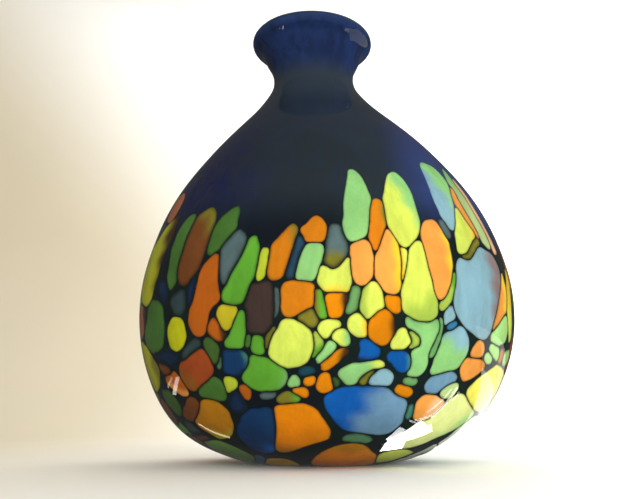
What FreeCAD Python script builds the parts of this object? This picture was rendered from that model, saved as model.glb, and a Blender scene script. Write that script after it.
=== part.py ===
import FreeCAD, Part
import math, os
from FreeCAD import Vector, Base

# Hand blown art glass vase, upright, +Z up, millimetres.
# Origin: on the standing plane, under the axis of the widest ring of the body.
# The wall is laid up the way the maker lays it up: a cobalt glass bubble,
# coloured glass chips pressed flush into its hot outer skin, and one gather of
# clear glass over everything, fused solid. All faces that meet are shared.

os.makedirs("parts", exist_ok=True)

# ---------------------------------------------------------------- dimensions
OUTER = [(31.2, 0.0), (38.2, 1.0), (44.9, 3.0), (57.7, 8.0), (69.1, 15.0),
         (78.4, 25.0), (85.7, 38.0), (90.5, 52.0), (92.8, 68.0), (92.0, 85.0),
         (88.5, 100.0), (83.1, 115.0), (75.2, 130.0), (64.6, 145.0),
         (53.9, 158.0), (42.6, 170.0), (33.2, 180.0), (27.0, 188.0),
         (23.0, 195.0), (21.8, 201.0), (22.7, 207.0), (25.6, 213.0),
         (29.1, 219.0)]                      # outside radius, height
RIM_R = 28.9                                 # centre circle of the rolled rim
RIM_Z = 223.5
RIM_A = 4.03                                 # half thickness of the rim
LEAN = [(0, -2.63), (17, -1.23), (34, -0.54), (52, -0.06), (69, 0.0),
        (86, -0.09), (104, -0.36), (121, -0.86), (138, -1.58), (155, -2.46),
        (173, -4.19), (190, -6.1), (207, -7.16), (223.5, -7.78), (228, -7.9)]
                                             # height, sideways wander of the axis
CASE_T = [(8, 2.3), (40, 2.2), (140, 2.0), (190, 1.4), (215, 1.2), (230, 1.2)]
                                             # height, clear overlay thickness
RIM_CASE = 1.2                               # clear overlay at the rim
BUBBLE_FLOOR = [(12.0, 5.0), (20.0, 5.0), (28.0, 5.05), (36.0, 5.3),
                (43.6, 6.4), (50.2, 8.1)]    # cobalt bubble over the thick clear base
CHIP_T = 1.4                                 # depth of the colour chips
BUBBLE_T = [(0, 3.4), (60, 3.0), (150, 2.8), (240, 2.5), (262, 2.4), (290, 3.6)]
                                             # distance along the skin, cobalt wall
FOOT_R = 31.2                                # standing ring, outer edge
RECESS_R = 19.0                              # ground out pontil mark
RECESS_FLOOR_R = 15.0
RECESS_D = 1.2
NU = 24                                      # poles round each ring
V_SCALE = 23.5                               # mm of skin per unit of surface parameter
BODY_STEP = 6.0                              # spacing of the profile stations
LIP_STEP = 1.5
LIP_FROM = 252.0

# ------------------------------------------------------------- profile maths
def spline(ts, ys):
    n = len(ts)
    h = [ts[i + 1] - ts[i] for i in range(n - 1)]
    a, b, c, d = [0.0] * n, [1.0] * n, [0.0] * n, [0.0] * n
    for i in range(1, n - 1):
        a[i], b[i], c[i] = h[i - 1], 2 * (h[i - 1] + h[i]), h[i]
        d[i] = 6 * ((ys[i + 1] - ys[i]) / h[i] - (ys[i] - ys[i - 1]) / h[i - 1])
    for i in range(1, n):
        w = a[i] / b[i - 1]
        b[i] -= w * c[i - 1]
        d[i] -= w * d[i - 1]
    m = [0.0] * n
    m[-1] = d[-1] / b[-1]
    for i in range(n - 2, -1, -1):
        m[i] = (d[i] - c[i] * m[i + 1]) / b[i]

    def f(t):
        k = 0
        while k < n - 2 and t > ts[k + 1]:
            k += 1
        x, H = t - ts[k], h[k]
        y = H - x
        return ((m[k] * y ** 3 + m[k + 1] * x ** 3) / (6 * H)
                + (ys[k] / H - m[k] * H / 6) * y
                + (ys[k + 1] / H - m[k + 1] * H / 6) * x)
    return f


def densify(pts, dense=24):
    ts = [0.0]
    for i in range(1, len(pts)):
        ts.append(ts[-1] + math.dist(pts[i], pts[i - 1]))
    fr = spline(ts, [p[0] for p in pts])
    fz = spline(ts, [p[1] for p in pts])
    n = (len(pts) - 1) * dense
    q = [(fr(ts[-1] * i / n), fz(ts[-1] * i / n)) for i in range(n + 1)]
    s = [0.0]
    for i in range(1, n + 1):
        s.append(s[-1] + math.dist(q[i], q[i - 1]))
    return q, s


def at(q, s, x):
    lo, hi = 0, len(s) - 2
    while lo < hi:
        k = (lo + hi + 1) // 2
        if s[k] <= x:
            lo = k
        else:
            hi = k - 1
    w = (x - s[lo]) / (s[lo + 1] - s[lo])
    return (q[lo][0] + (q[lo + 1][0] - q[lo][0]) * w,
            q[lo][1] + (q[lo + 1][1] - q[lo][1]) * w)


def table(tab, x):
    if x <= tab[0][0]:
        return tab[0][1]
    for (a, b), (c, d) in zip(tab, tab[1:]):
        if x <= c:
            return b + (d - b) * (x - a) / (c - a)
    return tab[-1][1]


def rim_arc(rad, a0, a1, n):
    out = []
    for i in range(n + 1):
        a = math.radians(a0 + (a1 - a0) * i / n)
        out.append((RIM_R + rad * math.cos(a), RIM_Z + rad * math.sin(a)))
    return out


def inward(q, s, x):
    a = at(q, s, max(0.0, x - 0.6))
    b = at(q, s, min(s[-1], x + 0.6))
    dx, dz = b[0] - a[0], b[1] - a[1]
    l = math.hypot(dx, dz)
    return (-dz / l, dx / l)


lean = spline([p[0] for p in LEAN], [p[1] for p in LEAN])


def stations(total, lip_from):
    n = int(round(lip_from / BODY_STEP))
    m = int(round((total - lip_from) / LIP_STEP))
    return ([lip_from * i / n for i in range(n)]
            + [lip_from + (total - lip_from) * i / m for i in range(m + 1)])


# outside skin
out_q, out_s = densify(OUTER + rim_arc(RIM_A, -20, 90, 6))
out_st = stations(out_s[-1], out_s[-1] - (301.0 - LIP_FROM))
out_rz = [at(out_q, out_s, x) for x in out_st]

# skin of the cobalt bubble: the outside skin moved in by the clear overlay
fine_n = int(round(out_s[-1] / 2.0))
co_pts = []
for i in range(fine_n + 1):
    x = out_s[-1] * i / fine_n
    r, z = at(out_q, out_s, x)
    if 8.5 < z < 221.0:
        a = at(out_q, out_s, out_s[-1] * max(i - 1, 0) / fine_n)
        b = at(out_q, out_s, out_s[-1] * min(i + 1, fine_n) / fine_n)
        dx, dz = b[0] - a[0], b[1] - a[1]
        l = math.hypot(dx, dz)
        t = table(CASE_T, z)
        co_pts.append((r - dz / l * t, z + dx / l * t))
co_pts = BUBBLE_FLOOR + [p for p in co_pts[::3] if p[1] < 220.3] \
    + rim_arc(RIM_A - RIM_CASE, -20, 90, 5)
co_q, co_s = densify(co_pts)
LIP_END = co_s[-1]
co_st = stations(LIP_END, LIP_FROM)
co_rz = [at(co_q, co_s, x) for x in co_st]
co_n = [inward(co_q, co_s, x) for x in co_st]

# inside skin of the vase, from the crest of the rim down to the floor
in_pts = []
for x, (r, z), (nr, nz) in zip(co_st, co_rz, co_n):
    if x < 3.0 or z > 216.0:
        continue
    t = table(BUBBLE_T, x)
    in_pts.append((r + nr * t, z + nz * t))
in_pts = [(12.0, 8.4)] + in_pts[1:]
in_pts = in_pts[:-1:2] + rim_arc(RIM_A, 195, 90, 6)
in_q, in_s = densify(in_pts)
in_st = stations(in_s[-1], in_s[-1] - 49.0)
in_rz = [at(in_q, in_s, x) for x in in_st]


# ------------------------------------------------------------------ surfaces
K = 1.0 / (2.0 / 3.0 + math.cos(2 * math.pi / NU) / 3.0)


def skin(rz, st):
    """Closed ring surface; each ring is a true circle about the wandering axis."""
    pts = [Vector(r, lean(min(max(z, 0.0), 228.0)), z) for r, z in rz]
    c = Part.BSplineCurve()
    c.interpolate(Points=pts, Parameters=[x / V_SCALE for x in st])
    rows = c.getPoles()
    poles = []
    for i in range(NU):
        th = math.radians(-180.0 + 360.0 / NU * (i - 1))
        poles.append([Vector(p.y + p.x * K * math.sin(th),
                             -p.x * K * math.cos(th), p.z) for p in rows])
    s = Part.BSplineSurface()
    s.buildFromPolesMultsKnots(poles, [1] * (NU + 1), c.getMultiplicities(),
                               [float(i) for i in range(NU + 1)], c.getKnots(),
                               True, False, 3, c.Degree)
    return s


def ring_edges(face):
    es = [e for e in face.Edges
          if e.isClosed() and e.BoundBox.ZLength < 1e-5 and e.Length > 60.0]
    es.sort(key=lambda e: e.BoundBox.ZMin)
    return es[0], es[-1]


def solid(faces, name):
    sh = Part.Shell(faces)
    sd = Part.Solid(sh)
    if sd.Volume < 0:
        sd.reverse()
    if not (sh.isClosed() and sd.isValid()):
        raise RuntimeError("bad solid: " + name)
    return sd


S_OUT = skin(out_rz, out_st)
S_CO = skin(co_rz, co_st)
S_CHIP = skin([(r + nr * CHIP_T, z + nz * CHIP_T)
               for (r, z), (nr, nz) in zip(co_rz, co_n)], co_st)
S_IN = skin(in_rz, in_st)

# --------------------------------------------------------------- colour chips
# Outline points of every chip on the skin of the bubble:
# (degrees round from the front, millimetres along the skin from the floor disc)
CHIPS = {
    "chips_amber_lower": [
        [(-53.78, 65.3), (-51.69, 65.12), (-49.65, 65.63), (-47.75, 66.79), (-46.09, 68.47), (-44.54, 70.33), (-43.15, 72.42), (-43.36, 74.65), (-45.34, 75.52), (-47.18, 74.81), (-48.99, 73.4), (-50.73, 71.86), (-52.48, 70.32), (-54.19, 68.73), (-55.51, 66.59)],
        [(-42.07, 53.6), (-39.5, 53.93), (-37.06, 55.06), (-35.17, 57.39), (-33.64, 60.08), (-32.38, 62.99), (-31.99, 66.23), (-32.4, 69.46), (-33.94, 71.93), (-36.23, 73.55), (-38.82, 74.02), (-41.33, 73.18), (-43.04, 70.64), (-44.89, 68.28), (-47.02, 66.32), (-49.28, 64.58), (-49.77, 61.52), (-48.51, 58.71), (-46.62, 56.39), (-44.61, 54.25)],
        [(-61.21, 52.25), (-58.74, 52.07), (-56.24, 52.07), (-53.8, 52.45), (-51.43, 53.23), (-51.11, 54.39), (-53.49, 55.13), (-55.92, 54.71), (-58.42, 54.65), (-60.85, 54.22)],
        [(-68.56, 63.5), (-66.5, 63.56), (-64.94, 65.32), (-64.21, 67.89), (-64.45, 70.64), (-65.11, 73.26), (-66.43, 75.4), (-68.36, 76.32), (-70.29, 75.3), (-72.21, 74.15), (-73.07, 71.83), (-72.61, 69.14), (-71.91, 66.53), (-70.51, 64.51)],
        [(-69.08, 42.35), (-66.56, 42.1), (-65.16, 44.32), (-64.2, 46.83), (-62.8, 49.05), (-63.11, 51.73), (-64.26, 54.1), (-66.55, 55.35), (-69.11, 55.53), (-71.66, 55), (-74.19, 54.36), (-76.58, 53.31), (-78.71, 51.76), (-80.37, 49.72), (-80.79, 47.06), (-79.1, 45.19), (-76.67, 44.23), (-74.14, 43.61), (-71.59, 43.05)],
        [(-84.89, 26.6), (-80.98, 26.35), (-77.04, 26.35), (-73.1, 26.36), (-69.27, 27.03), (-68.02, 29.54), (-69.74, 32.41), (-69.6, 35.43), (-68.05, 38.36), (-69.64, 40.87), (-73.36, 41.89), (-77.15, 42.76), (-80.68, 44.17), (-84.31, 43.72), (-87.43, 41.77), (-89.86, 39.31), (-91, 36.25), (-91.66, 33.1), (-91.23, 29.95), (-88.6, 27.65)],
        [(-95.21, 41.9), (-90.79, 41.7), (-86.89, 44.04), (-82.95, 46.35), (-82.21, 51.14), (-84.81, 55.29), (-86.71, 59.9), (-87.7, 64.89), (-89.68, 68.89), (-93.93, 70.2), (-97.78, 72.48), (-102.19, 72.85), (-105.46, 70.35), (-108.02, 66.22), (-107.82, 61.13), (-107.82, 56.01), (-108.12, 50.91), (-107.84, 45.84), (-103.93, 43.63), (-99.59, 42.59)],
        [(-136.07, 69.35), (-134.61, 69.28), (-133.56, 70.74), (-133.33, 72.7), (-134.48, 73.99), (-135.95, 74.54), (-137.34, 73.89), (-138.08, 72.14), (-137.39, 70.41)],
    ],
    "chips_amber_middle": [
        [(-71.57, 106.25), (-69.91, 106.03), (-68.27, 106.18), (-66.86, 107.56), (-65.69, 109.43), (-64.78, 111.62), (-64.15, 114.04), (-64.18, 116.65), (-65.39, 118.28), (-66.95, 119.18), (-68.6, 119.47), (-70.25, 119.17), (-71.68, 117.99), (-72.38, 115.62), (-72.83, 113.09), (-73.03, 110.53), (-72.68, 107.96)],
        [(-43.86, 79.7), (-42, 79.52), (-40.26, 80.48), (-38.66, 81.91), (-36.94, 83), (-35.34, 84.42), (-33.8, 85.99), (-33.07, 88.5), (-33.51, 91.15), (-34.42, 93.55), (-35.72, 95.54), (-37.47, 95.19), (-39.23, 94.23), (-40.95, 93.15), (-42.67, 92.07), (-44.4, 91.02), (-45.84, 89.26), (-46.32, 86.76), (-46.04, 84.07), (-45.21, 81.65)],
        [(-54.69, 87.35), (-52.94, 87.18), (-51.29, 87.99), (-52.26, 90.16), (-53.92, 91.2), (-55.68, 91.85), (-57.43, 92.46), (-57.41, 90.51), (-56.35, 88.4)],
        [(70.95, 90.5), (72.64, 90.62), (74.29, 91.45), (75.92, 92.37), (77.14, 94.14), (76.68, 96.6), (75.67, 98.75), (74.72, 100.97), (73.57, 102.95), (72.17, 104.51), (70.59, 105.43), (69.35, 103.71), (69, 101.16), (70.09, 99.14), (71.23, 97.15), (70.84, 94.72), (69.96, 92.46)],
        [(136.3, 90.05), (138.01, 89.96), (139.69, 90.56), (141.22, 91.78), (141.76, 94.18), (141.48, 96.76), (140.45, 98.8), (138.86, 99.73), (137.13, 99.84), (135.62, 101.07), (133.93, 101.14), (133.47, 98.84), (133.82, 96.26), (134.16, 93.69), (134.81, 91.26)],
        [(-84.69, 85.55), (-82.84, 85.36), (-81.54, 87.36), (-80.63, 89.88), (-79.67, 92.36), (-79.66, 95.15), (-80.43, 97.77), (-81.36, 100.23), (-83.18, 100.84), (-85.08, 100.84), (-86.95, 101.26), (-88.78, 102.08), (-90.28, 100.79), (-91.13, 98.23), (-91.45, 95.4), (-91.65, 92.55), (-91.35, 89.73), (-90.24, 87.5), (-88.41, 86.77), (-86.55, 86.2)],
        [(-118.63, 77.9), (-117.4, 77.88), (-116.47, 79.19), (-116.05, 80.94), (-116.24, 82.78), (-117.28, 83.62), (-118.44, 82.79), (-119.23, 81.33), (-119.27, 79.48)],
    ],
    "chips_amber_upper": [
        [(-59, 158.45), (-57.18, 159.23), (-55.85, 161.23), (-54.95, 163.66), (-54.57, 166.34), (-54.87, 169.04), (-55.83, 171.38), (-57.26, 173.28), (-59.05, 174.35), (-60.98, 174.91), (-62.88, 174.55), (-64.65, 173.32), (-65.22, 170.85), (-65.16, 168.11), (-64.76, 165.43), (-63.61, 163.22), (-62.45, 161.01), (-60.83, 159.47)],
        [(-41.83, 123.8), (-39.25, 124.16), (-37.42, 127.35), (-35.86, 130.86), (-34.98, 134.85), (-34.49, 138.99), (-34.15, 143.17), (-33.78, 147.36), (-33.22, 151.48), (-33.64, 155.54), (-35.67, 158.06), (-38.21, 157.34), (-40.44, 154.96), (-41.84, 151.4), (-42.76, 147.4), (-43.41, 143.28), (-43.61, 139.05), (-44.04, 134.87), (-44.33, 130.66), (-43.75, 126.64)],
        [(57.83, 141.35), (60.3, 142.77), (59.82, 147.05), (58.73, 151.13), (57.8, 155.27), (57.12, 159.51), (56.52, 163.76), (56.22, 168.09), (56.44, 172.41), (55.92, 176.67), (55.02, 180.82), (53.02, 179.19), (52.59, 175.21), (53.24, 170.96), (53.51, 166.62), (53.88, 162.29), (54.76, 158.12), (55.75, 153.99), (56.58, 149.83), (56.89, 145.5)],
        [(107.77, 135.05), (109.93, 135.85), (111.6, 138.24), (112.08, 141.6), (112.37, 145.06), (112.37, 148.55), (112.13, 152.01), (111.73, 155.45), (111.15, 158.83), (110.5, 162.18), (109.64, 165.42), (108.21, 165.61), (107.49, 162.3), (106.92, 158.91), (106.44, 155.5), (106.16, 152.04), (106.03, 148.56), (106.3, 145.1), (106.55, 141.64), (106.9, 138.2)],
        [(-88.52, 125.6), (-86.44, 128.33), (-85.1, 132.43), (-84.5, 136.91), (-84.43, 141.5), (-84.73, 146.05), (-85.4, 150.51), (-86.61, 154.71), (-88.08, 158.71), (-89.8, 162.48), (-91.79, 165.89), (-93.54, 162.92), (-94.35, 158.5), (-94.96, 154.01), (-95.27, 149.46), (-95.18, 144.88), (-94.52, 140.4), (-92.59, 137.52), (-90.7, 134.07), (-89.58, 129.82)],
    ],
    "chips_grey_blue_lower": [
        [(-57.07, 57.65), (-54.92, 57.92), (-52.72, 58.12), (-52.95, 60.42), (-53.78, 62.91), (-55.47, 64.13), (-57.67, 63.95), (-59.55, 62.58), (-60.51, 60.46), (-59.15, 58.54)],
        [(72.22, 18.05), (78.12, 17.8), (84.05, 17.8), (89.98, 17.8), (95.91, 17.8), (101.84, 17.8), (107.78, 17.82), (110.26, 20.24), (108.81, 24.11), (107.94, 28.05), (104.9, 31.47), (101.5, 34.74), (96.53, 36.77), (90.94, 38.09), (85.26, 38.81), (81.28, 35.9), (78.36, 32.58), (77.81, 28.6), (76.81, 24.67), (73.97, 21.2)],
        [(116.34, 42.8), (120.75, 42.96), (124.88, 44.89), (128.4, 48.03), (129.41, 53.07), (128.53, 58.09), (126.38, 62.65), (123.93, 67), (120.74, 70.61), (118.52, 68.09), (115.74, 64.44), (113.27, 67.86), (112.85, 72.42), (108.63, 72.25), (105.65, 68.41), (105.14, 63.45), (106.41, 58.46), (107.89, 53.55), (109.64, 48.76), (112.18, 44.61)],
    ],
    "chips_grey_blue_middle": [
        [(-13.51, 106.7), (-12.81, 108.9), (-12.48, 111.44), (-12.2, 114), (-12.48, 116.57), (-12.97, 119.01), (-13.32, 117.2), (-13.32, 114.55), (-13.32, 111.9), (-13.29, 109.24)],
        [(-43.59, 111.65), (-41.98, 111.59), (-40.78, 113.37), (-40.24, 115.89), (-40.32, 118.44), (-41.03, 120.38), (-42.67, 120.83), (-44.27, 120.14), (-45.81, 119.13), (-46.73, 116.92), (-46.2, 114.6), (-45.16, 112.61)],
        [(31.2, 105.8), (32.39, 106.96), (33.72, 107.87), (34.27, 109.33), (33.68, 111.44), (33.05, 113.52), (32.07, 112.25), (31.32, 110.34), (31.08, 108.09)],
        [(-43.82, 93.2), (-42.25, 93.41), (-40.73, 94.77), (-39.11, 95.79), (-37.52, 96.97), (-36.08, 98.51), (-36.72, 100.13), (-38.47, 99.96), (-39.98, 98.59), (-41.39, 96.98), (-42.77, 95.32)],
        [(-18.65, 75.2), (-17.44, 75.02), (-16.26, 75.33), (-15.14, 76), (-14.33, 77.19), (-15.29, 77.18), (-16.52, 77.18), (-17.75, 77.15), (-18.92, 76.63)],
        [(11.64, 81.05), (13.52, 80.87), (15.42, 80.87), (17.26, 81.42), (17.71, 83.86), (16.48, 85.84), (14.7, 86.63), (13.04, 85.48), (11.74, 83.48)],
        [(31.41, 77.9), (33.18, 78.2), (34.68, 79.74), (36.15, 81.33), (37.8, 82.56), (39.32, 83.72), (38.1, 85.62), (36.41, 86.19), (34.61, 85.65), (32.86, 84.88), (31.11, 84), (29.42, 82.93), (28.54, 80.65), (29.68, 78.74)],
        [(77.45, 72.5), (79.47, 72.11), (81.52, 72.33), (83.22, 73.71), (83.33, 76.63), (83.63, 79.54), (83.99, 82.43), (82.82, 84.61), (81.29, 86.57), (80.22, 89.07), (79.06, 91.42), (77.09, 91.57), (75.29, 90.16), (76.03, 88.36), (77.48, 86.34), (76.64, 83.98), (75.07, 82.4), (76.15, 80.01), (76.52, 77.38), (77.62, 75.28)],
        [(87.46, 70.7), (89.33, 70.47), (91.09, 71.29), (92.43, 73.13), (93.28, 75.48), (93.55, 78.07), (93.29, 80.69), (93.15, 83.32), (92.12, 85.46), (90.46, 86.7), (88.65, 87.17), (87.18, 85.54), (85.71, 83.9), (84.98, 81.5), (84.6, 78.91), (84.35, 76.3), (84.47, 73.67), (85.78, 71.9)],
        [(99.24, 74.3), (100.86, 75.01), (101.38, 77.56), (102.09, 79.99), (103.37, 81.89), (104.81, 83.55), (104.94, 85.73), (103.39, 87.17), (101.79, 88.49), (99.98, 88.25), (98.2, 87.56), (96.47, 86.6), (94.79, 85.5), (94.22, 83.16), (94.34, 80.52), (94.61, 77.9), (95.72, 75.88), (97.45, 74.95)],
        [(135.27, 72.05), (137.58, 71.8), (139.91, 71.88), (142.19, 72.57), (144.36, 73.72), (145.58, 76.51), (146.58, 79.51), (147.2, 82.68), (145.96, 85.4), (144.6, 88.08), (143.17, 90.69), (141.11, 89.87), (138.93, 88.72), (136.63, 88.42), (134.36, 88.87), (132.56, 86.82), (132.12, 83.72), (132.79, 80.54), (133.17, 77.27), (133.5, 74)],
        [(-173.2, 68.45), (-171.26, 68.88), (-169.62, 70.57), (-168.06, 72.39), (-167.29, 74.87), (-167.73, 77.64), (-167.75, 80.47), (-167.81, 83.3), (-169.23, 85.07), (-171.24, 85.58), (-173.26, 85.95), (-174.54, 84.26), (-175.4, 81.77), (-177.15, 80.35), (-179.04, 79.67), (-179.24, 76.87), (-179.24, 74.04), (-178.87, 71.31), (-177.16, 69.84), (-175.21, 68.98)],
        [(-154.81, 67.1), (-154.39, 69.6), (-154.57, 72.51), (-154.87, 75.4), (-155.39, 78.23), (-156.02, 81.02), (-157.35, 83.2), (-159.3, 84.22), (-161.34, 84.93), (-163.32, 85.9), (-165.33, 85.48), (-166.69, 83.45), (-166.75, 80.53), (-166.67, 77.61), (-166.02, 74.84), (-164.29, 73.31), (-162.35, 72.21), (-160.45, 70.95), (-158.6, 69.56), (-156.75, 68.18)],
        [(-91.19, 70.7), (-89, 70.28), (-86.9, 71.06), (-85.31, 73.19), (-84.16, 75.83), (-83.3, 78.67), (-83.36, 81.68), (-84.55, 82.31), (-85.11, 79.45), (-86.84, 77.56), (-88.81, 78.22), (-89.09, 81.22), (-88.15, 83.99), (-89.61, 85.6), (-91.54, 84.81), (-92.71, 82.19), (-93.73, 79.44), (-94.4, 76.5), (-94.89, 73.5), (-93.32, 71.49)],
        [(127.27, 86.9), (129.05, 86.47), (130.76, 87.05), (131.75, 89.3), (132.42, 91.83), (132.83, 94.48), (132.75, 97.18), (132.21, 99.78), (131.02, 101.79), (129.43, 103), (127.63, 103.09), (125.83, 103.09), (124.1, 102.52), (122.82, 100.62), (122.4, 98.04), (122.4, 95.32), (122.3, 92.6), (122.32, 89.94), (123.87, 88.67), (125.56, 87.73)],
        [(147.72, 85.1), (149.44, 85.62), (151.06, 86.83), (152.73, 87.9), (153.29, 90.36), (153.3, 93.09), (153.25, 95.82), (152.99, 98.52), (152.02, 100.61), (150.23, 100.98), (148.45, 100.72), (146.74, 99.79), (145.16, 98.48), (144.01, 96.4), (143.57, 93.77), (144.24, 91.31), (145.33, 89.13), (146.38, 86.9)],
        [(-109.5, 87.8), (-107.76, 87.51), (-106.27, 88.87), (-105.13, 90.93), (-104.14, 93.14), (-103.8, 95.78), (-103.61, 98.44), (-104.56, 100.64), (-106.11, 101.88), (-107.85, 102.4), (-109.45, 101.39), (-110.63, 99.4), (-111.28, 96.93), (-111.3, 94.24), (-111.47, 91.57), (-111.03, 89.12)],
        [(86.3, 102.2), (88.02, 102.31), (89.39, 103.94), (90.2, 106.3), (90.31, 109.01), (89.88, 111.63), (89.21, 114.14), (88.48, 116.61), (87.15, 117.89), (85.76, 116.29), (84.52, 114.41), (83.49, 112.22), (82.65, 109.84), (82.88, 107.17), (83.51, 104.63), (84.6, 102.69)],
        [(124.27, 104.9), (126.02, 104.46), (127.81, 104.46), (129.61, 104.5), (131.28, 105.49), (132.13, 107.86), (132.39, 110.67), (132.77, 113.44), (132.63, 116.16), (131.57, 118.45), (130.46, 120.67), (128.93, 120.17), (127.75, 118.03), (126.4, 116.15), (124.67, 115.89), (123.08, 117.19), (121.91, 115.37), (122.08, 112.63), (122.78, 110.02), (123.42, 107.37)],
        [(159.4, 101.75), (161.24, 101.33), (163.09, 101.55), (164.27, 103.74), (164.7, 106.59), (165.02, 109.48), (165.11, 112.38), (163.85, 114.38), (162.12, 115.43), (160.7, 117.34), (159.28, 119.2), (157.49, 118.81), (155.81, 117.51), (155.09, 114.99), (154.92, 112.08), (154.4, 109.27), (154, 106.4), (154.04, 103.51), (155.71, 102.61), (157.56, 102.19)],
        [(-150.24, 103.55), (-148.58, 103.12), (-146.9, 103.28), (-145.27, 103.91), (-144.62, 106.3), (-143.69, 108.48), (-144.09, 110.51), (-145.54, 111.86), (-146.89, 113.44), (-148.21, 115.09), (-149.5, 116.79), (-151.05, 116.57), (-152.28, 114.78), (-152.81, 112.32), (-152.6, 109.69), (-152.25, 107.1), (-151.75, 104.6)],
        [(-121.51, 100.85), (-120.09, 101.92), (-118.58, 103.09), (-116.91, 103.55), (-115.22, 103.51), (-113.58, 103.59), (-113.09, 106.09), (-113.18, 108.7), (-113.82, 111.17), (-114.57, 113.55), (-115.66, 115.56), (-117.27, 115.91), (-118.95, 115.59), (-120.63, 115.17), (-122.09, 114.03), (-122.08, 111.39), (-121.83, 108.76), (-121.82, 106.1), (-121.81, 103.43)],
        [(-78.94, 97.25), (-77.45, 98.39), (-76.05, 100.09), (-74.72, 101.91), (-73.75, 104.15), (-73.51, 106.74), (-73.81, 109.46), (-75.07, 111.27), (-76.44, 113.02), (-77.47, 112.26), (-78.06, 109.67), (-79.13, 107.48), (-79.72, 104.91), (-80.12, 102.22), (-79.87, 99.55)],
    ],
    "chips_grey_blue_upper": [
        [(-27.21, 121.1), (-26.25, 123.06), (-25.59, 125.49), (-24.67, 127.7), (-23.84, 130.01), (-23.05, 132.35), (-22.52, 134.85), (-22.08, 137.38), (-22.08, 140.04), (-22.59, 142.51), (-23.99, 143.77), (-25.53, 142.82), (-26.62, 140.82), (-27.73, 138.84), (-28.52, 136.49), (-28.62, 133.86), (-28.62, 131.21), (-28.32, 128.64), (-28.09, 126.06), (-27.83, 123.48)],
        [(-9.91, 122), (-8.61, 122.94), (-8.15, 125.44), (-7.81, 128), (-7.36, 130.53), (-6.8, 133), (-6.2, 135.43), (-6.34, 138), (-7.27, 139.5), (-7.88, 137.09), (-8.3, 134.58), (-8.85, 132.13), (-9.35, 129.66), (-9.72, 127.14), (-10.02, 124.6)],
        [(0.53, 126.5), (2.13, 126.73), (3.33, 128.7), (4.3, 130.92), (4.62, 133.58), (4.27, 136.23), (3.7, 138.79), (3.18, 141.37), (2.59, 143.91), (1.22, 144.24), (0.48, 141.82), (0.18, 139.17), (-0.12, 136.51), (-0.39, 133.85), (-0.47, 131.12), (-0.67, 128.46)],
        [(37.17, 147.2), (39.16, 150.29), (40.28, 154.52), (41.22, 158.81), (42.07, 163.12), (43.2, 167.33), (44.44, 171.5), (45.28, 175.83), (45.22, 180.24), (43.9, 184.21), (40.81, 185.63), (37.6, 185.28), (35.64, 181.71), (34.98, 177.34), (34.49, 172.93), (34.08, 168.5), (33.78, 164.04), (33.79, 159.52), (34.38, 155.14), (35.47, 150.94)],
        [(34.72, 142.7), (35.55, 143.83), (35.53, 145.94), (35.02, 148.01), (34.47, 150.05), (33.54, 150.88), (33.18, 148.76), (33.44, 146.6), (34, 144.55)],
        [(44.01, 102.65), (47.87, 102.47), (50.46, 106.73), (52.05, 112.31), (53.71, 117.83), (55.27, 123.41), (56.79, 129.01), (57.42, 134.98), (55.2, 139.27), (51.47, 140.57), (47.65, 140.94), (44.59, 137.25), (41.5, 133.61), (37.74, 133.9), (35.9, 129.75), (35.28, 123.78), (34.15, 117.96), (34.6, 112.26), (37.17, 107.99), (40.47, 104.85)],
        [(-67.1, 150.8), (-65.51, 151.51), (-63.99, 153), (-62.53, 154.63), (-62.42, 157.05), (-63.58, 159.1), (-65.09, 158.07), (-66.12, 155.84), (-66.91, 153.41)],
        [(90.52, 113.9), (91.87, 115.18), (92.99, 117.33), (94.07, 119.54), (94.65, 122.16), (94.98, 124.89), (94.99, 127.68), (94.91, 130.47), (94.61, 133.21), (94.14, 135.9), (92.84, 137.46), (91.31, 136.17), (90.14, 134.08), (88.87, 132.14), (88.18, 129.68), (88.18, 126.89), (88.18, 124.1), (88.19, 121.31), (88.78, 118.72), (89.65, 116.3)],
        [(154.05, 118.85), (155.79, 119.17), (157.43, 120.39), (158.65, 122.37), (158.55, 125.18), (158.09, 127.95), (157.48, 130.63), (156.75, 133.25), (155.92, 135.8), (155.18, 138.41), (154.29, 140.9), (153.05, 141.05), (152.49, 138.34), (151.97, 135.6), (151.43, 132.87), (150.86, 130.16), (150.38, 127.4), (150.29, 124.55), (151.07, 122.06), (152.49, 120.3)],
        [(79.77, 129.65), (81.82, 131.64), (84.01, 133.57), (86.48, 134.12), (86.52, 137.95), (86.24, 141.82), (85.85, 145.68), (85.46, 149.53), (85.12, 153.4), (84.9, 157.27), (84.54, 161.1), (82.62, 162.3), (81.16, 159.1), (79.9, 155.71), (78.78, 152.2), (78.02, 148.49), (77.7, 144.62), (77.43, 140.75), (78.12, 137), (78.86, 133.27)],
        [(130.15, 126.95), (131.41, 130.65), (132.72, 134.54), (134.48, 137.96), (136.98, 139.49), (137.26, 143.8), (136.89, 148.13), (136.27, 152.4), (135.45, 156.59), (134.46, 160.69), (133.33, 164.7), (131.42, 164.98), (130.37, 160.91), (129.49, 156.76), (128.74, 152.54), (128.25, 148.24), (127.93, 143.9), (128.23, 139.57), (128.54, 135.23), (129.14, 130.96)],
        [(149.62, 132.35), (150.66, 134.29), (151.29, 137.11), (151.79, 139.99), (152.33, 142.85), (152.29, 145.8), (151.77, 148.67), (151.04, 151.43), (150.27, 154.16), (149.33, 156.78), (148.21, 159.22), (147.1, 157.81), (146.75, 154.88), (146.43, 151.95), (146.15, 149), (145.91, 146.05), (146.51, 143.25), (147.29, 140.52), (148.04, 137.77), (148.72, 134.98)],
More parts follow.
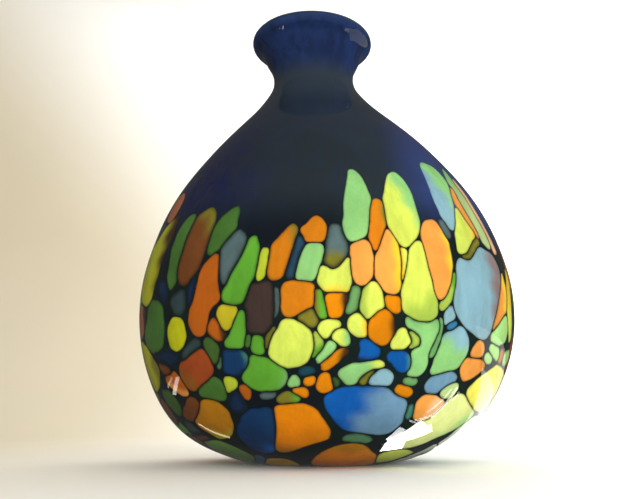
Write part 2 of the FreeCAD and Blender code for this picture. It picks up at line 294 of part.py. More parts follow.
        [(-114.43, 128.75), (-112.99, 131.49), (-112.26, 135.21), (-111.8, 139.02), (-112.08, 142.88), (-112.42, 146.72), (-112.84, 150.55), (-113.54, 154.28), (-114.51, 157.88), (-115.55, 161.43), (-116.83, 164.79), (-118.02, 162.51), (-118.36, 158.66), (-118.64, 154.81), (-118.67, 150.92), (-118.63, 147.04), (-117.79, 143.38), (-116.88, 139.75), (-116.06, 136.06), (-115.26, 132.37)],
    ],
    "chips_leaf_green_lower": [
        [(-57.28, 25.25), (-52.95, 25.9), (-49.14, 28.18), (-45.33, 30.47), (-42.21, 33.38), (-40.28, 37.04), (-39.51, 40.98), (-40.19, 44.94), (-42.38, 48.47), (-45.84, 50.99), (-50.44, 51.41), (-55.01, 50.86), (-59.34, 49.73), (-62.52, 46.8), (-64.46, 43.19), (-66.39, 39.53), (-68.06, 35.78), (-68.03, 32.06), (-65.6, 28.69), (-61.56, 26.74)],
        [(138.05, 39.65), (141.6, 40.02), (144.73, 42.23), (147.45, 45.04), (147.7, 48.84), (146.37, 52.7), (145.59, 56.75), (145.13, 60.85), (144.59, 64.95), (143.52, 68.89), (140.12, 70.05), (136.52, 69.31), (134.01, 66.33), (132.5, 62.55), (131.48, 58.57), (130.74, 54.52), (130.4, 50.41), (129.89, 46.32), (131.15, 42.49), (134.47, 40.73)],
        [(-81.46, 52.7), (-78.17, 54.01), (-74.75, 55.74), (-71.12, 56.64), (-67.45, 57.13), (-63.85, 56.1), (-62.82, 60.28), (-64.23, 63.64), (-67.53, 61.75), (-71.04, 63.16), (-73.27, 66.72), (-74.2, 71.2), (-76.66, 73.91), (-79.77, 76.35), (-82.47, 77.02), (-84.08, 72.86), (-86.52, 69.38), (-86.42, 64.86), (-85.5, 60.38), (-83.82, 56.26)],
    ],
    "chips_leaf_green_middle": [
        [(-2.15, 106.7), (-0.57, 106.8), (-0.78, 109.47), (-1.16, 112.13), (-1.74, 114.72), (-2.43, 117.24), (-3.12, 117.22), (-3.24, 114.47), (-3.36, 111.74), (-3.05, 109.07)],
        [(-25.89, 96.35), (-24.2, 96.17), (-22.57, 96.6), (-21.87, 98.99), (-21.61, 101.58), (-21.48, 104.2), (-21.29, 106.78), (-21.48, 109.38), (-22.58, 110.1), (-23.39, 107.76), (-24.06, 105.34), (-24.84, 102.98), (-25.85, 100.86), (-27.12, 99.24), (-27.46, 97.36)],
        [(-58.17, 97.25), (-55.89, 97.44), (-53.75, 98.73), (-52, 100.96), (-51.04, 104.23), (-50.5, 107.72), (-50.3, 111.3), (-50.93, 114.73), (-52.51, 117.3), (-54.58, 118.88), (-56.82, 119.47), (-59.07, 118.85), (-60.72, 116.4), (-61.61, 113.08), (-62.78, 110), (-64.4, 107.45), (-65.49, 104.41), (-64.36, 101.56), (-62.41, 99.63), (-60.43, 97.87)],
        [(-17.79, 93.2), (-16.69, 94.12), (-16.74, 96.37), (-16.7, 98.68), (-17.66, 100.13), (-19.16, 99.99), (-19.66, 97.88), (-19.92, 95.64), (-19.22, 93.85)],
        [(-21.43, 96.35), (-20.76, 96.62), (-20.38, 97.62), (-20.28, 98.77), (-20.29, 99.95), (-20.81, 100.62), (-21.14, 99.78), (-21.4, 98.69), (-21.42, 97.52)],
        [(-18.68, 78.35), (-16.79, 78.17), (-14.91, 78.36), (-13.21, 79.62), (-11.85, 81.57), (-11.28, 84.13), (-11.75, 86.68), (-13.25, 88.35), (-14.82, 89.91), (-16.51, 91.13), (-18.32, 91.92), (-20.12, 92.23), (-20.74, 89.63), (-21.68, 87.24), (-23.02, 85.36), (-23.26, 82.94), (-22.04, 80.88), (-20.42, 79.45)],
        [(-31.85, 90.05), (-30.55, 91.4), (-30.15, 93.85), (-30.19, 96.37), (-31.22, 98.34), (-32.56, 99.86), (-33.95, 99.5), (-33.97, 96.95), (-33.22, 94.66), (-32.52, 92.33)],
        [(-59.08, 67.55), (-57.21, 68.25), (-55.46, 69.47), (-54.25, 71.55), (-54.01, 74.16), (-54.67, 76.68), (-55.95, 78.69), (-57.68, 79.96), (-59.61, 80.32), (-61.56, 80.09), (-63.1, 78.56), (-63.52, 76.01), (-62.86, 73.48), (-61.83, 71.2), (-60.7, 69)],
        [(-32.75, 74.75), (-30.97, 75.45), (-30.48, 77.99), (-30.79, 80.63), (-31.75, 82.93), (-33.39, 83.96), (-35.08, 82.69), (-36.78, 81.42), (-38.48, 80.15), (-40.18, 78.88), (-40.15, 77.14), (-38.33, 76.38), (-36.46, 75.91), (-34.59, 75.39)],
        [(2.36, 79.7), (2.77, 80.36), (2.81, 81.38), (2.56, 82.3), (2.06, 83.05), (1.47, 83.36), (1.41, 82.34), (1.64, 81.38), (1.85, 80.42)],
        [(168.1, 70.7), (169.99, 70.33), (171.89, 70.86), (173.79, 71.45), (175.64, 72.24), (177.45, 73.22), (178.51, 75.36), (178.48, 78.04), (178.46, 80.73), (178.49, 83.4), (177.11, 85.2), (175.23, 85.79), (173.29, 85.76), (171.39, 85.2), (170.05, 83.32), (169.12, 80.95), (168.59, 78.35), (168.2, 75.69), (167.65, 73.1)],
        [(-150.05, 89.6), (-148.33, 89.63), (-146.65, 90.36), (-145.42, 92.16), (-144.62, 94.54), (-143.83, 96.92), (-143.16, 99.37), (-144.2, 101.33), (-145.82, 102.1), (-147.55, 101.75), (-149.3, 101.78), (-151.01, 102.3), (-152.43, 101.36), (-152.37, 98.71), (-151.98, 96.11), (-151.8, 93.46), (-151.56, 90.86)],
        [(-131.93, 86.9), (-130.15, 86.75), (-128.43, 87.73), (-126.95, 89.36), (-125.52, 91.1), (-124.1, 92.85), (-123.23, 95.17), (-124.13, 97.45), (-125.88, 98.28), (-127.64, 99.07), (-129.43, 99.65), (-131.26, 99.93), (-132.93, 99.08), (-133.93, 96.76), (-134.1, 94.02), (-133.91, 91.27), (-133.33, 88.65)],
        [(77.65, 97.25), (79.34, 97.3), (80.88, 98.74), (82.13, 100.76), (82.77, 103.25), (82.17, 105.9), (81.63, 108.57), (80.75, 111.02), (79.69, 113.29), (78.24, 114.8), (77.37, 112.81), (77.08, 110.06), (75.88, 108.05), (74.13, 107.83), (72.61, 109.32), (71.65, 107.47), (72.9, 105.56), (74.35, 103.88), (75.52, 101.76), (76.52, 99.42)],
        [(103.57, 102.2), (105.2, 101.76), (106.86, 102.02), (108.47, 102.73), (109.67, 104.5), (110.01, 107.05), (109.37, 109.42), (108.15, 111.14), (106.59, 110.32), (105.11, 111.04), (105.1, 113.55), (105.94, 115.6), (104.58, 116.08), (103.23, 114.54), (102.6, 112.2), (102.6, 109.57), (102.85, 106.97), (102.78, 104.35)],
        [(120.56, 101.3), (122.2, 101.81), (123.15, 104.01), (122.6, 106.59), (121.99, 109.15), (121.32, 111.67), (120.32, 113.84), (118.62, 114.33), (116.89, 114.5), (115.17, 114.84), (114.28, 112.65), (114.55, 109.99), (115.32, 107.54), (116.25, 105.23), (117.32, 103.07), (118.86, 101.86)],
        [(141.28, 99.95), (142.55, 101.45), (142.97, 104.05), (142.77, 106.71), (142.42, 109.35), (141.9, 111.9), (141.03, 114.22), (139.67, 115.79), (138, 116.37), (136.31, 115.9), (134.7, 115.02), (133.66, 112.96), (133.28, 110.33), (133.05, 107.66), (132.83, 105), (133.71, 102.94), (135.42, 102.91), (137.06, 103.66), (138.75, 103.42), (139.9, 101.48)],
        [(-137.1, 102.65), (-135.47, 102.87), (-134.33, 104.75), (-133.92, 107.3), (-133.57, 109.87), (-133.21, 112.44), (-133.54, 114.89), (-135.08, 115.65), (-136.74, 115.21), (-138.29, 114.27), (-139.57, 112.58), (-140.51, 110.46), (-140.22, 107.92), (-139.67, 105.44), (-138.69, 103.44)],
        [(-92.45, 99.95), (-91.16, 101.42), (-90.47, 103.88), (-90.49, 106.57), (-90.66, 109.25), (-91, 111.9), (-92.12, 113.79), (-93.84, 113.9), (-95.51, 114.48), (-97.14, 115.22), (-97.82, 113.07), (-97.85, 110.37), (-98.57, 107.96), (-99.59, 105.79), (-98.88, 103.66), (-97.37, 102.37), (-95.76, 101.46), (-94.09, 100.75)],
    ],
    "chips_leaf_green_upper": [
        [(-46.85, 122.9), (-44.95, 125.17), (-44.77, 128.99), (-44.77, 132.89), (-44.45, 136.72), (-43.87, 140.47), (-43.66, 144.32), (-43.15, 148.1), (-42.65, 151.87), (-42.49, 155.54), (-44.38, 156.85), (-46.59, 155.28), (-48.09, 152.19), (-49.02, 148.67), (-49.42, 144.87), (-49.92, 141.11), (-49.62, 137.29), (-49.33, 133.47), (-49.01, 129.65), (-48.4, 125.92)],
        [(-32.75, 135.05), (-31.27, 135.67), (-29.88, 137.32), (-28.78, 139.41), (-27.69, 141.5), (-26.59, 143.6), (-25.62, 145.84), (-25.33, 148.46), (-25.08, 151.08), (-25.13, 153.78), (-25.85, 156.05), (-27.45, 155.73), (-28.95, 154.33), (-30.22, 152.51), (-31.14, 150.22), (-31.89, 147.83), (-32.46, 145.3), (-32.83, 142.69), (-33.12, 140.07), (-33.42, 137.45)],
        [(-25.59, 113.45), (-23.46, 113.27), (-21.7, 114.83), (-20.58, 117.67), (-19.8, 120.82), (-19.07, 123.94), (-18.62, 127.21), (-18.27, 130.51), (-18.18, 133.9), (-18.25, 137.3), (-18.87, 140.51), (-20.31, 139.47), (-21.19, 136.39), (-22.07, 133.3), (-23.08, 130.3), (-24.29, 127.51), (-25.34, 124.55), (-26.23, 121.46), (-27.13, 118.51), (-27.19, 115.26)],
        [(72.83, 114.8), (74.72, 115.39), (76.49, 116.55), (77.75, 118.86), (78.34, 121.76), (78.63, 124.79), (78.76, 127.82), (78.34, 130.82), (77.75, 133.74), (77.19, 136.68), (76.08, 138.89), (74.55, 137.1), (73.3, 134.75), (72.1, 132.34), (70.9, 129.94), (69.88, 127.34), (69.04, 124.58), (69.27, 121.56), (70.03, 118.75), (71.15, 116.25)],
        [(110.7, 109.85), (112.51, 111.15), (113.51, 113.93), (114.26, 116.96), (114.32, 120.23), (114.32, 123.49), (114.38, 126.76), (114.54, 129.99), (113.69, 132.95), (112.48, 135.59), (110.7, 134.88), (108.86, 133.46), (106.93, 132.5), (106.03, 129.61), (105.88, 126.36), (105.65, 123.13), (105.6, 119.86), (106.59, 117.08), (107.89, 114.55), (109.19, 112.02)],
        [(124.65, 117.5), (126.24, 117.78), (127.47, 119.61), (128.46, 121.78), (128.88, 124.34), (128.82, 127.02), (128.44, 129.63), (128.06, 132.24), (127.63, 134.84), (126.69, 136.74), (125.68, 134.66), (124.88, 132.29), (124.12, 129.9), (123.55, 127.37), (123.28, 124.74), (123.28, 122.06), (123.52, 119.43)],
        [(142.2, 117.05), (144.05, 117.5), (145.68, 119.47), (147.31, 121.45), (149.01, 123.26), (149.41, 126.34), (148.97, 129.51), (148.3, 132.58), (147.54, 135.59), (146.77, 138.6), (145.86, 141.5), (144.4, 140.83), (143.14, 138.27), (141.46, 136.5), (139.72, 135.18), (139.32, 132.03), (139.31, 128.79), (139.53, 125.57), (140, 122.42), (140.85, 119.47)],
        [(-140.83, 113.9), (-139.27, 114.98), (-137.64, 116.37), (-135.81, 116.96), (-133.95, 116.98), (-132.56, 118.16), (-132.43, 121.08), (-132.81, 123.97), (-133.51, 126.69), (-134.5, 129.19), (-135.61, 131.56), (-136.82, 133.8), (-138.32, 135.47), (-139.64, 133.62), (-140.57, 131.06), (-141.31, 128.35), (-141.62, 125.46), (-141.62, 122.51), (-141.56, 119.57), (-141.32, 116.65)],
        [(-94.88, 115.7), (-93.2, 115.27), (-91.66, 116.16), (-90.84, 118.53), (-90.26, 121.08), (-89.81, 123.68), (-89.94, 126.37), (-90.39, 128.98), (-90.97, 131.52), (-91.73, 133.95), (-92.82, 135.97), (-94.32, 135.17), (-95.26, 132.91), (-96.04, 130.5), (-96.52, 127.91), (-96.62, 125.21), (-96.62, 122.5), (-96.65, 119.79), (-96.27, 117.16)],
        [(140.56, 138.2), (142.81, 139.99), (144.23, 143.51), (145.05, 147.41), (145.45, 151.46), (145.83, 155.52), (146.31, 159.55), (146.84, 163.57), (146.6, 167.64), (146.26, 171.7), (145.73, 175.71), (144.07, 173.92), (142.98, 170.15), (142.07, 166.27), (141.26, 162.35), (140.6, 158.37), (140.23, 154.32), (139.94, 150.25), (139.94, 146.15), (139.94, 142.05)],
        [(-175.23, 126.95), (-173.87, 128.96), (-173.27, 132.46), (-172.82, 136.01), (-172.57, 139.6), (-172.6, 143.21), (-172.8, 146.81), (-172.79, 150.43), (-172.89, 154.02), (-173.37, 157.56), (-174.19, 160.86), (-175.46, 158.15), (-176.26, 154.74), (-177.01, 151.31), (-177.61, 147.81), (-178.02, 144.24), (-178.07, 140.63), (-177.63, 137.08), (-177.05, 133.58), (-176.33, 130.13)],
        [(-132.65, 136.4), (-130.56, 138.42), (-129.6, 142.16), (-129.07, 146.09), (-128.77, 150.08), (-128.54, 154.06), (-128.84, 158.04), (-129.41, 161.96), (-130.29, 165.76), (-131.3, 169.48), (-132.64, 172.96), (-134.23, 170.58), (-135.17, 166.81), (-135.85, 162.93), (-136.35, 158.98), (-136.63, 155), (-136.34, 151.02), (-135.9, 147.06), (-135.31, 143.14), (-134.35, 139.39)],
    ],
    "chips_lime_lower": [
        [(31.73, 45.5), (36.17, 45.77), (40.57, 46.68), (44.48, 49.07), (47.32, 53.23), (51.06, 56.25), (54.23, 60.09), (57.55, 63.74), (59.44, 67.35), (55.54, 70.08), (51.55, 72.6), (47.64, 75.31), (43.47, 77), (40.11, 73.42), (37.85, 68.74), (35.21, 64.59), (31.37, 62.05), (28.73, 57.7), (26.91, 52.75), (27.57, 47.45)],
        [(39.53, 26.6), (42.76, 26.56), (45.96, 27.1), (47.81, 29.18), (48.73, 31.75), (48.73, 34.42), (48.96, 37.09), (48.8, 39.76), (46.45, 41.45), (43.37, 42.35), (40.19, 42.94), (36.92, 42.94), (33.71, 42.46), (30.65, 41.55), (28.93, 39.45), (29.86, 36.89), (31.1, 34.41), (32.68, 32.07), (34.42, 29.8), (36.69, 27.91)],
        [(82.43, 47.3), (85.08, 48.37), (86.44, 51.63), (87.13, 55.19), (87.37, 58.83), (85.74, 61.86), (85.37, 65.4), (86.5, 68.76), (84.37, 71.13), (81.4, 70.78), (78.37, 70.69), (75.32, 70.67), (72.94, 68.75), (71.77, 65.38), (71.46, 61.78), (71.7, 58.13), (71.98, 54.49), (74.37, 52.41), (77.16, 50.95), (79.83, 49.18)],
        [(114.92, 18.05), (120.7, 17.8), (126.53, 17.8), (132.35, 17.8), (138.17, 17.8), (144, 17.81), (147.21, 20.45), (144.44, 23.95), (142.27, 27.71), (141.08, 31.68), (139.76, 35.63), (136.23, 38.56), (131.1, 40.45), (125.66, 41.52), (120.58, 39.64), (116.82, 36.56), (113.9, 33.05), (111.28, 29.42), (110.88, 25.47), (112.12, 21.51)],
    ],
    "chips_lime_middle": [
        [(-46.29, 96.8), (-44.71, 97.41), (-43.18, 98.47), (-41.95, 100.31), (-40.98, 102.46), (-41.22, 104.95), (-41.63, 107.49), (-42.88, 109.02), (-44.51, 109.58), (-46.21, 109.46), (-47.57, 107.9), (-48.41, 105.61), (-48.72, 103.07), (-48.51, 100.49), (-47.74, 98.13)],
        [(-11.79, 88.25), (-10.01, 88.07), (-8.26, 88.57), (-6.59, 89.53), (-5.16, 91.07), (-4.26, 93.36), (-3.78, 95.97), (-4.02, 98.64), (-4.59, 101.21), (-5.77, 103.22), (-7.32, 104.56), (-8.99, 105.52), (-10.79, 105.52), (-12.11, 103.79), (-13.26, 101.7), (-14.19, 99.37), (-14.82, 96.82), (-15.12, 94.16), (-14.61, 91.58), (-13.32, 89.66)],
        [(-4.05, 91.4), (-2.71, 93.02), (-1.63, 95.11), (-1.43, 97.6), (-2.29, 99.89), (-3.53, 101.67), (-3.42, 99.27), (-3.42, 96.59), (-3.54, 93.94)],
        [(-1.26, 99.05), (0.1, 100.12), (1.3, 102.19), (2.82, 103.66), (1.91, 105.55), (0.16, 105.98), (-1.54, 105.16), (-2.57, 103.28), (-2.4, 101.21)],
        [(3.51, 96.35), (4.91, 96.32), (4.87, 98.46), (4.37, 100.49), (3.49, 102.05), (2.16, 102.07), (1.21, 100.56), (1.09, 98.61), (2.23, 97.32)],
        [(9.24, 106.7), (10.76, 107.82), (12.04, 109.73), (13.52, 111.22), (13.53, 113.96), (12.95, 116.57), (12.25, 119.1), (10.89, 120.51), (9.42, 119.17), (8.47, 116.84), (7.95, 114.22), (7.68, 111.52), (8.22, 108.94)],
        [(7.71, 99.95), (9.34, 100.09), (9.42, 102.86), (9.09, 105.55), (7.91, 107.6), (6.41, 108.35), (5.28, 106.27), (5.19, 103.64), (6.18, 101.36)],
        [(16.73, 95.45), (18.45, 95.71), (20.18, 96.2), (21.39, 98.05), (20.69, 100.53), (19.59, 102.68), (18.26, 102.3), (17.25, 100.06), (16.37, 97.78)],
        [(21.17, 95.9), (22.59, 96.1), (23.81, 97.25), (23.92, 99.31), (22.95, 100.98), (21.63, 101.99), (20.63, 101.96), (21.39, 100.03), (21.77, 97.89)],
        [(-70.82, 81.05), (-68.4, 80.98), (-65.99, 81.35), (-63.72, 82.48), (-61.59, 84.23), (-59.82, 86.67), (-59.12, 90), (-60.39, 93.02), (-62.14, 95.53), (-63.96, 97.92), (-65.93, 100.04), (-68.07, 101.72), (-70.37, 102.9), (-72.71, 103.25), (-73.69, 99.99), (-74.24, 96.52), (-74.72, 93.01), (-74.65, 89.51), (-74.32, 85.94), (-72.59, 83.44)],
        [(-29.44, 77.9), (-28.37, 78.79), (-27.16, 79.79), (-26.2, 81.24), (-26.47, 83.04), (-27.69, 83.92), (-29.05, 83.6), (-29.52, 81.9), (-29.52, 79.9)],
        [(125.32, 68.9), (127.48, 68.46), (129.63, 68.95), (131.4, 70.69), (132.39, 73.33), (132.22, 76.38), (131.89, 79.4), (131.3, 82.34), (130.19, 84.85), (128.03, 85.16), (125.92, 85.94), (123.89, 87.08), (121.79, 87.77), (120.25, 85.7), (120.05, 82.68), (119.96, 79.63), (119.55, 76.62), (119.81, 73.7), (121.53, 71.81), (123.3, 70.02)],
        [(164.65, 72.95), (166.4, 73.24), (167.11, 75.73), (167.51, 78.37), (167.99, 80.98), (168.81, 83.41), (169.63, 85.8), (168.19, 87.28), (166.38, 88.08), (164.58, 87.74), (162.87, 86.57), (161.1, 85.58), (159.31, 84.68), (157.92, 83.07), (158.11, 80.39), (158.17, 77.69), (159.29, 75.64), (161.01, 74.49), (162.82, 73.69)],
        [(83.78, 85.55), (85.52, 85.65), (87, 87.25), (88.18, 89.33), (88.49, 92.04), (88.66, 94.78), (88.34, 97.48), (87.53, 99.93), (85.86, 100.85), (84.05, 101.06), (82.63, 99.39), (81.46, 97.29), (80.92, 94.66), (80.64, 91.94), (81.25, 89.36), (82.29, 87.11)],
        [(117.69, 87.35), (119.38, 87.1), (120.69, 88.78), (121.2, 91.22), (121.46, 93.81), (121.49, 96.42), (121.27, 98.99), (119.74, 100.04), (118.03, 100.53), (116.61, 99.23), (115.63, 97.07), (114.79, 94.78), (114.15, 92.35), (114.72, 89.97), (116.1, 88.42)],
        [(156.84, 85.55), (158.57, 85.89), (160.26, 86.73), (161.94, 87.61), (163.58, 88.63), (164.78, 90.49), (164.53, 93.13), (163.98, 95.69), (163.41, 98.23), (162.19, 99.89), (160.41, 100.01), (158.66, 100.45), (156.9, 100.85), (155.14, 101.21), (153.95, 99.58), (154.11, 96.92), (154.2, 94.25), (154.2, 91.56), (154.25, 88.88), (155.28, 86.83)],
        [(-178.92, 90.5), (-177.18, 90.51), (-175.92, 92.14), (-175.35, 94.69), (-175.15, 97.37), (-174.81, 100.02), (-174.55, 102.64), (-176.2, 102.87), (-177.92, 102.24), (-179.42, 101.01), (-179.58, 98.34), (-179.58, 95.65), (-179.55, 92.95)],
        [(-160.13, 86), (-158.4, 85.65), (-156.75, 86.51), (-155.18, 87.69), (-153.7, 89.1), (-152.75, 91.24), (-152.72, 93.88), (-153.03, 96.48), (-153.35, 99.08), (-154.27, 101.11), (-156.01, 100.79), (-157.72, 100.18), (-159.42, 99.58), (-161.18, 99.47), (-162.68, 98.34), (-163.32, 95.89), (-163.49, 93.26), (-163.49, 90.62), (-163.29, 88.02), (-161.82, 86.67)],
        [(-115.45, 89.15), (-113.69, 88.85), (-112.53, 90.72), (-112.23, 93.44), (-112.2, 96.21), (-112.35, 98.94), (-113.42, 101.13), (-115.13, 102.02), (-116.93, 102.13), (-118.69, 101.48), (-120.09, 99.78), (-120.08, 97.23), (-118.4, 96.87), (-116.61, 97.25), (-115.05, 96.28), (-115.01, 93.55), (-115.97, 91.24)],
        [(-162.04, 101.3), (-160.38, 100.88), (-158.69, 101.33), (-157.02, 101.95), (-155.34, 102.46), (-153.66, 103.01), (-152.97, 105.28), (-153.3, 107.92), (-153.6, 110.57), (-154.06, 113.14), (-155.2, 115.07), (-156.67, 116.47), (-158.2, 116.46), (-158.97, 114.07), (-160.06, 112.01), (-161.48, 110.54), (-162.8, 108.92), (-162.92, 106.25), (-162.91, 103.56)],
    ],
    "chips_lime_upper": [
        [(-63.23, 119.3), (-59.33, 119.57), (-57.12, 124.47), (-55.27, 129.87), (-54.21, 135.76), (-53.12, 141.64), (-51.99, 147.5), (-51.46, 153.56), (-51.79, 159.58), (-54.95, 157.97), (-58.63, 155.75), (-62.25, 153.32), (-65.52, 149.91), (-68.91, 146.83), (-69.99, 141.06), (-72.92, 137.08), (-71.61, 132.47), (-73, 128.57), (-70.17, 124.42), (-67.02, 121.03)],
        [(-17.6, 121.55), (-16.41, 123.14), (-15.95, 125.76), (-15.48, 128.37), (-15.48, 131.12), (-15.48, 133.87), (-16.29, 134.62), (-17.04, 132.19), (-17.22, 129.5), (-17.47, 126.83), (-17.76, 124.16)],
        [(-0.37, 117.05), (1.3, 116.87), (2.98, 116.87), (4.67, 116.97), (5.22, 119.36), (5.22, 122.04), (5.22, 124.72), (5.22, 127.39), (5.19, 130.07), (4.45, 129.76), (3.39, 127.7), (2.25, 125.76), (0.7, 124.98), (-0.76, 126.25), (-1.87, 126.34), (-2.24, 123.76), (-2.34, 121.23), (-1.62, 118.86)],
        [(19.65, 135.95), (22.04, 138.27), (23.75, 141.81), (24.93, 145.81), (25.64, 150.02), (25.92, 154.33), (25.92, 158.56), (25.92, 162.94), (25.36, 167.17), (24.43, 171.22), (22.45, 174.31), (20.03, 172.45), (18.52, 168.71), (17.5, 164.69), (16.68, 160.53), (16.38, 156.22), (16.08, 151.92), (16.08, 147.53), (16.66, 143.33), (17.89, 139.35)],
        [(18.59, 122), (19.01, 124.01), (19.52, 126.53), (19.92, 129.12), (20.22, 131.73), (20.17, 134.41), (18.85, 135.41), (18.78, 132.72), (18.78, 130.03), (18.78, 127.34), (18.52, 124.69)],
        [(22.7, 106.7), (25.24, 106.52), (27.56, 107.95), (28.62, 111.41), (28.3, 115.36), (27.38, 119.09), (26.81, 122.96), (26.25, 126.83), (25.92, 130.79), (25.52, 134.73), (25.01, 138.66), (22.98, 137.73), (21.47, 134.57), (20.58, 130.83), (19.97, 126.95), (19.37, 123.07), (18.79, 119.17), (18.48, 115.21), (18.77, 111.26), (20.36, 108.29)],
        [(29.38, 111.65), (31, 112.13), (32.25, 113.96), (33.19, 116.18), (33.87, 118.64), (34.4, 121.19), (34.62, 123.84), (34.82, 126.45), (34.44, 127.46), (34.07, 124.88), (33.52, 122.38), (32.84, 119.92), (31.96, 117.63), (30.95, 115.49), (29.59, 113.9)],
        [(37.79, 136.85), (39.69, 136.85), (41.36, 138.44), (42.78, 140.55), (44.19, 142.67), (45.7, 144.59), (47.28, 146.4), (47.29, 148.98), (46.2, 151.46), (45.07, 153.9), (44.23, 156.6), (43.6, 159.43), (42.63, 159.06), (41.61, 156.5), (40.65, 153.88), (39.86, 151.16), (39.09, 148.4), (38.42, 145.59), (37.97, 142.7), (37.56, 139.81)],
        [(102.09, 116.15), (103.87, 117.2), (104.71, 119.89), (104.74, 123.04), (105.02, 126.16), (105.06, 129.31), (104.83, 132.4), (104.06, 135.31), (103.14, 138.1), (102.13, 140.83), (100.83, 143.12), (99.64, 140.86), (98.89, 137.93), (98.33, 134.91), (97.87, 131.84), (97.61, 128.72), (97.62, 125.57), (97.88, 122.45), (98.85, 119.82), (100.44, 117.9)],
        [(119.33, 115.7), (120.95, 116.13), (121.82, 118.47), (122.4, 121.01), (122.42, 123.73), (122.24, 126.43), (121.5, 128.88), (120.58, 131.18), (119.6, 133.41), (118.42, 135.35), (116.99, 134.33), (116.09, 132.02), (115.51, 129.48), (115.31, 126.78), (115.18, 124.08), (115.18, 121.36), (115.19, 118.63), (115.94, 116.42), (117.61, 115.77)],
        [(163.45, 116.15), (165.34, 117.37), (166.46, 120.43), (167.23, 123.75), (167.49, 127.24), (167.72, 130.75), (167.72, 134.29), (167.73, 137.83), (167.37, 141.31), (166.79, 144.72), (165.51, 147.18), (164.23, 144.39), (163.43, 141.09), (162.65, 137.77), (161.91, 134.43), (161.25, 131.05), (160.68, 127.63), (160.13, 124.2), (160.13, 120.68), (161.57, 118.01)],
        [(159.21, 128.75), (160.35, 131.6), (161.09, 135.29), (161.9, 138.96), (162.79, 142.58), (163.41, 146.3), (163.05, 150.11), (162.36, 153.83), (161.54, 157.49), (160.54, 161.04), (158.99, 163.82), (157.5, 160.82), (156.36, 157.36), (155.42, 153.76), (154.65, 150.08), (154.11, 146.31), (154.83, 142.68), (155.98, 139.23), (157.01, 135.7), (158.1, 132.21)],
        [(177.59, 134.6), (178.67, 137.11), (179.22, 140.05), (179.55, 143.06), (179.27, 146.08), (178.89, 149.08), (178.4, 152.04), (177.81, 154.97), (177.16, 157.87), (176.43, 160.72), (175.44, 163.33), (174.75, 160.85), (174.44, 157.83), (174.43, 154.78), (174.17, 151.75), (174.21, 148.7), (174.78, 145.77), (175.34, 142.83), (175.97, 139.92), (176.55, 136.99)],
        [(-168.75, 133.7), (-167.29, 135.42), (-166.58, 138.57), (-165.88, 141.72), (-165.24, 144.9), (-165.18, 148.21), (-165.61, 151.47), (-166.22, 154.66), (-166.93, 157.81), (-167.8, 160.86), (-169.09, 163.3), (-170.19, 160.58), (-170.95, 157.46), (-171.51, 154.24), (-171.86, 150.97), (-171.9, 147.64), (-171.78, 144.33), (-171.6, 141.02), (-171.62, 137.71), (-170.81, 134.75)],
        [(-123.63, 137.3), (-122.08, 139.33), (-121.32, 142.57), (-120.96, 145.93), (-121.05, 149.36), (-121.35, 152.76), (-121.85, 156.1), (-122.58, 159.36), (-123.44, 162.55), (-124.46, 165.63), (-125.59, 168.62), (-126.75, 166.99), (-127.06, 163.6), (-127.33, 160.2), (-127.37, 156.76), (-127.34, 153.33), (-126.99, 149.94), (-126.52, 146.58), (-125.75, 143.35), (-124.82, 140.21)],
        [(-74, 139.1), (-71.9, 140.07), (-70.44, 142.48), (-70.09, 145.72), (-69.24, 148.64), (-69.18, 151.88), (-69.69, 155.12), (-70.34, 158.3), (-71.11, 161.42), (-71.99, 164.47), (-72.92, 167.49), (-74.46, 167.41), (-75.04, 164.2), (-75.52, 160.96), (-75.91, 157.68), (-76.11, 154.38), (-76.37, 151.09), (-76.24, 147.77), (-75.92, 144.49), (-75.52, 141.22)],
    ],
    "chips_maroon": [
        [(-18.39, 101.3), (-16.7, 101.31), (-15.19, 102.47), (-14.36, 104.87), (-13.98, 107.47), (-13.71, 110.12), (-13.68, 112.85), (-13.68, 115.59), (-13.98, 118.23), (-14.9, 120.34), (-16.54, 121.14), (-18.01, 120.56), (-19.38, 120.42), (-20.05, 117.92), (-20.52, 115.33), (-20.82, 112.69), (-20.82, 109.95), (-20.82, 107.22), (-20.82, 104.48), (-20.02, 102.11)],
        [(93.69, 87.35), (95.42, 87.59), (97.13, 88.6), (98.89, 89.36), (100.53, 90.46), (100.79, 93.16), (100.79, 95.92), (100.77, 98.68), (99.67, 100.59), (98.17, 99.73), (97.48, 97.18), (96.26, 95.13), (94.68, 93.75), (93.08, 92.41), (92.9, 89.77)],
        [(96.15, 102.65), (97.91, 102.28), (99.66, 102.63), (101.31, 103.58), (101.97, 106.09), (101.74, 108.84), (101.72, 111.63), (101.57, 114.39), (100.27, 116.25), (98.87, 117.94), (97.37, 119.35), (95.63, 118.95), (94.23, 117.34), (93.09, 115.2), (92.02, 112.98), (91.26, 110.48), (91.18, 107.7), (91.45, 104.98), (92.63, 102.98), (94.38, 102.66)],
        [(149.32, 102.65), (151.13, 102.26), (152.81, 103.13), (153.04, 105.95), (153.37, 108.78), (153.84, 111.57), (154.21, 114.37), (153.83, 117.11), (152.33, 118.73), (150.85, 120.42), (149.27, 121.5), (147.68, 120.09), (146.24, 118.33), (144.79, 116.58), (143.36, 114.79), (142.96, 112.07), (143.55, 109.36), (144.65, 107.07), (146.12, 105.36), (147.66, 103.8)],
        [(-165.96, 103.1), (-164.32, 103.9), (-163.79, 106.53), (-163.91, 109.32), (-164.73, 111.82), (-165.05, 114.57), (-165.29, 117.35), (-166.2, 119.59), (-167.69, 118.65), (-168.96, 116.67), (-170.47, 115.2), (-172.22, 114.93), (-173.88, 115.33), (-173.98, 112.63), (-173.63, 109.87), (-173.56, 107.06), (-172.89, 104.52), (-171.31, 103.35), (-169.54, 103.11), (-167.75, 103.11)],
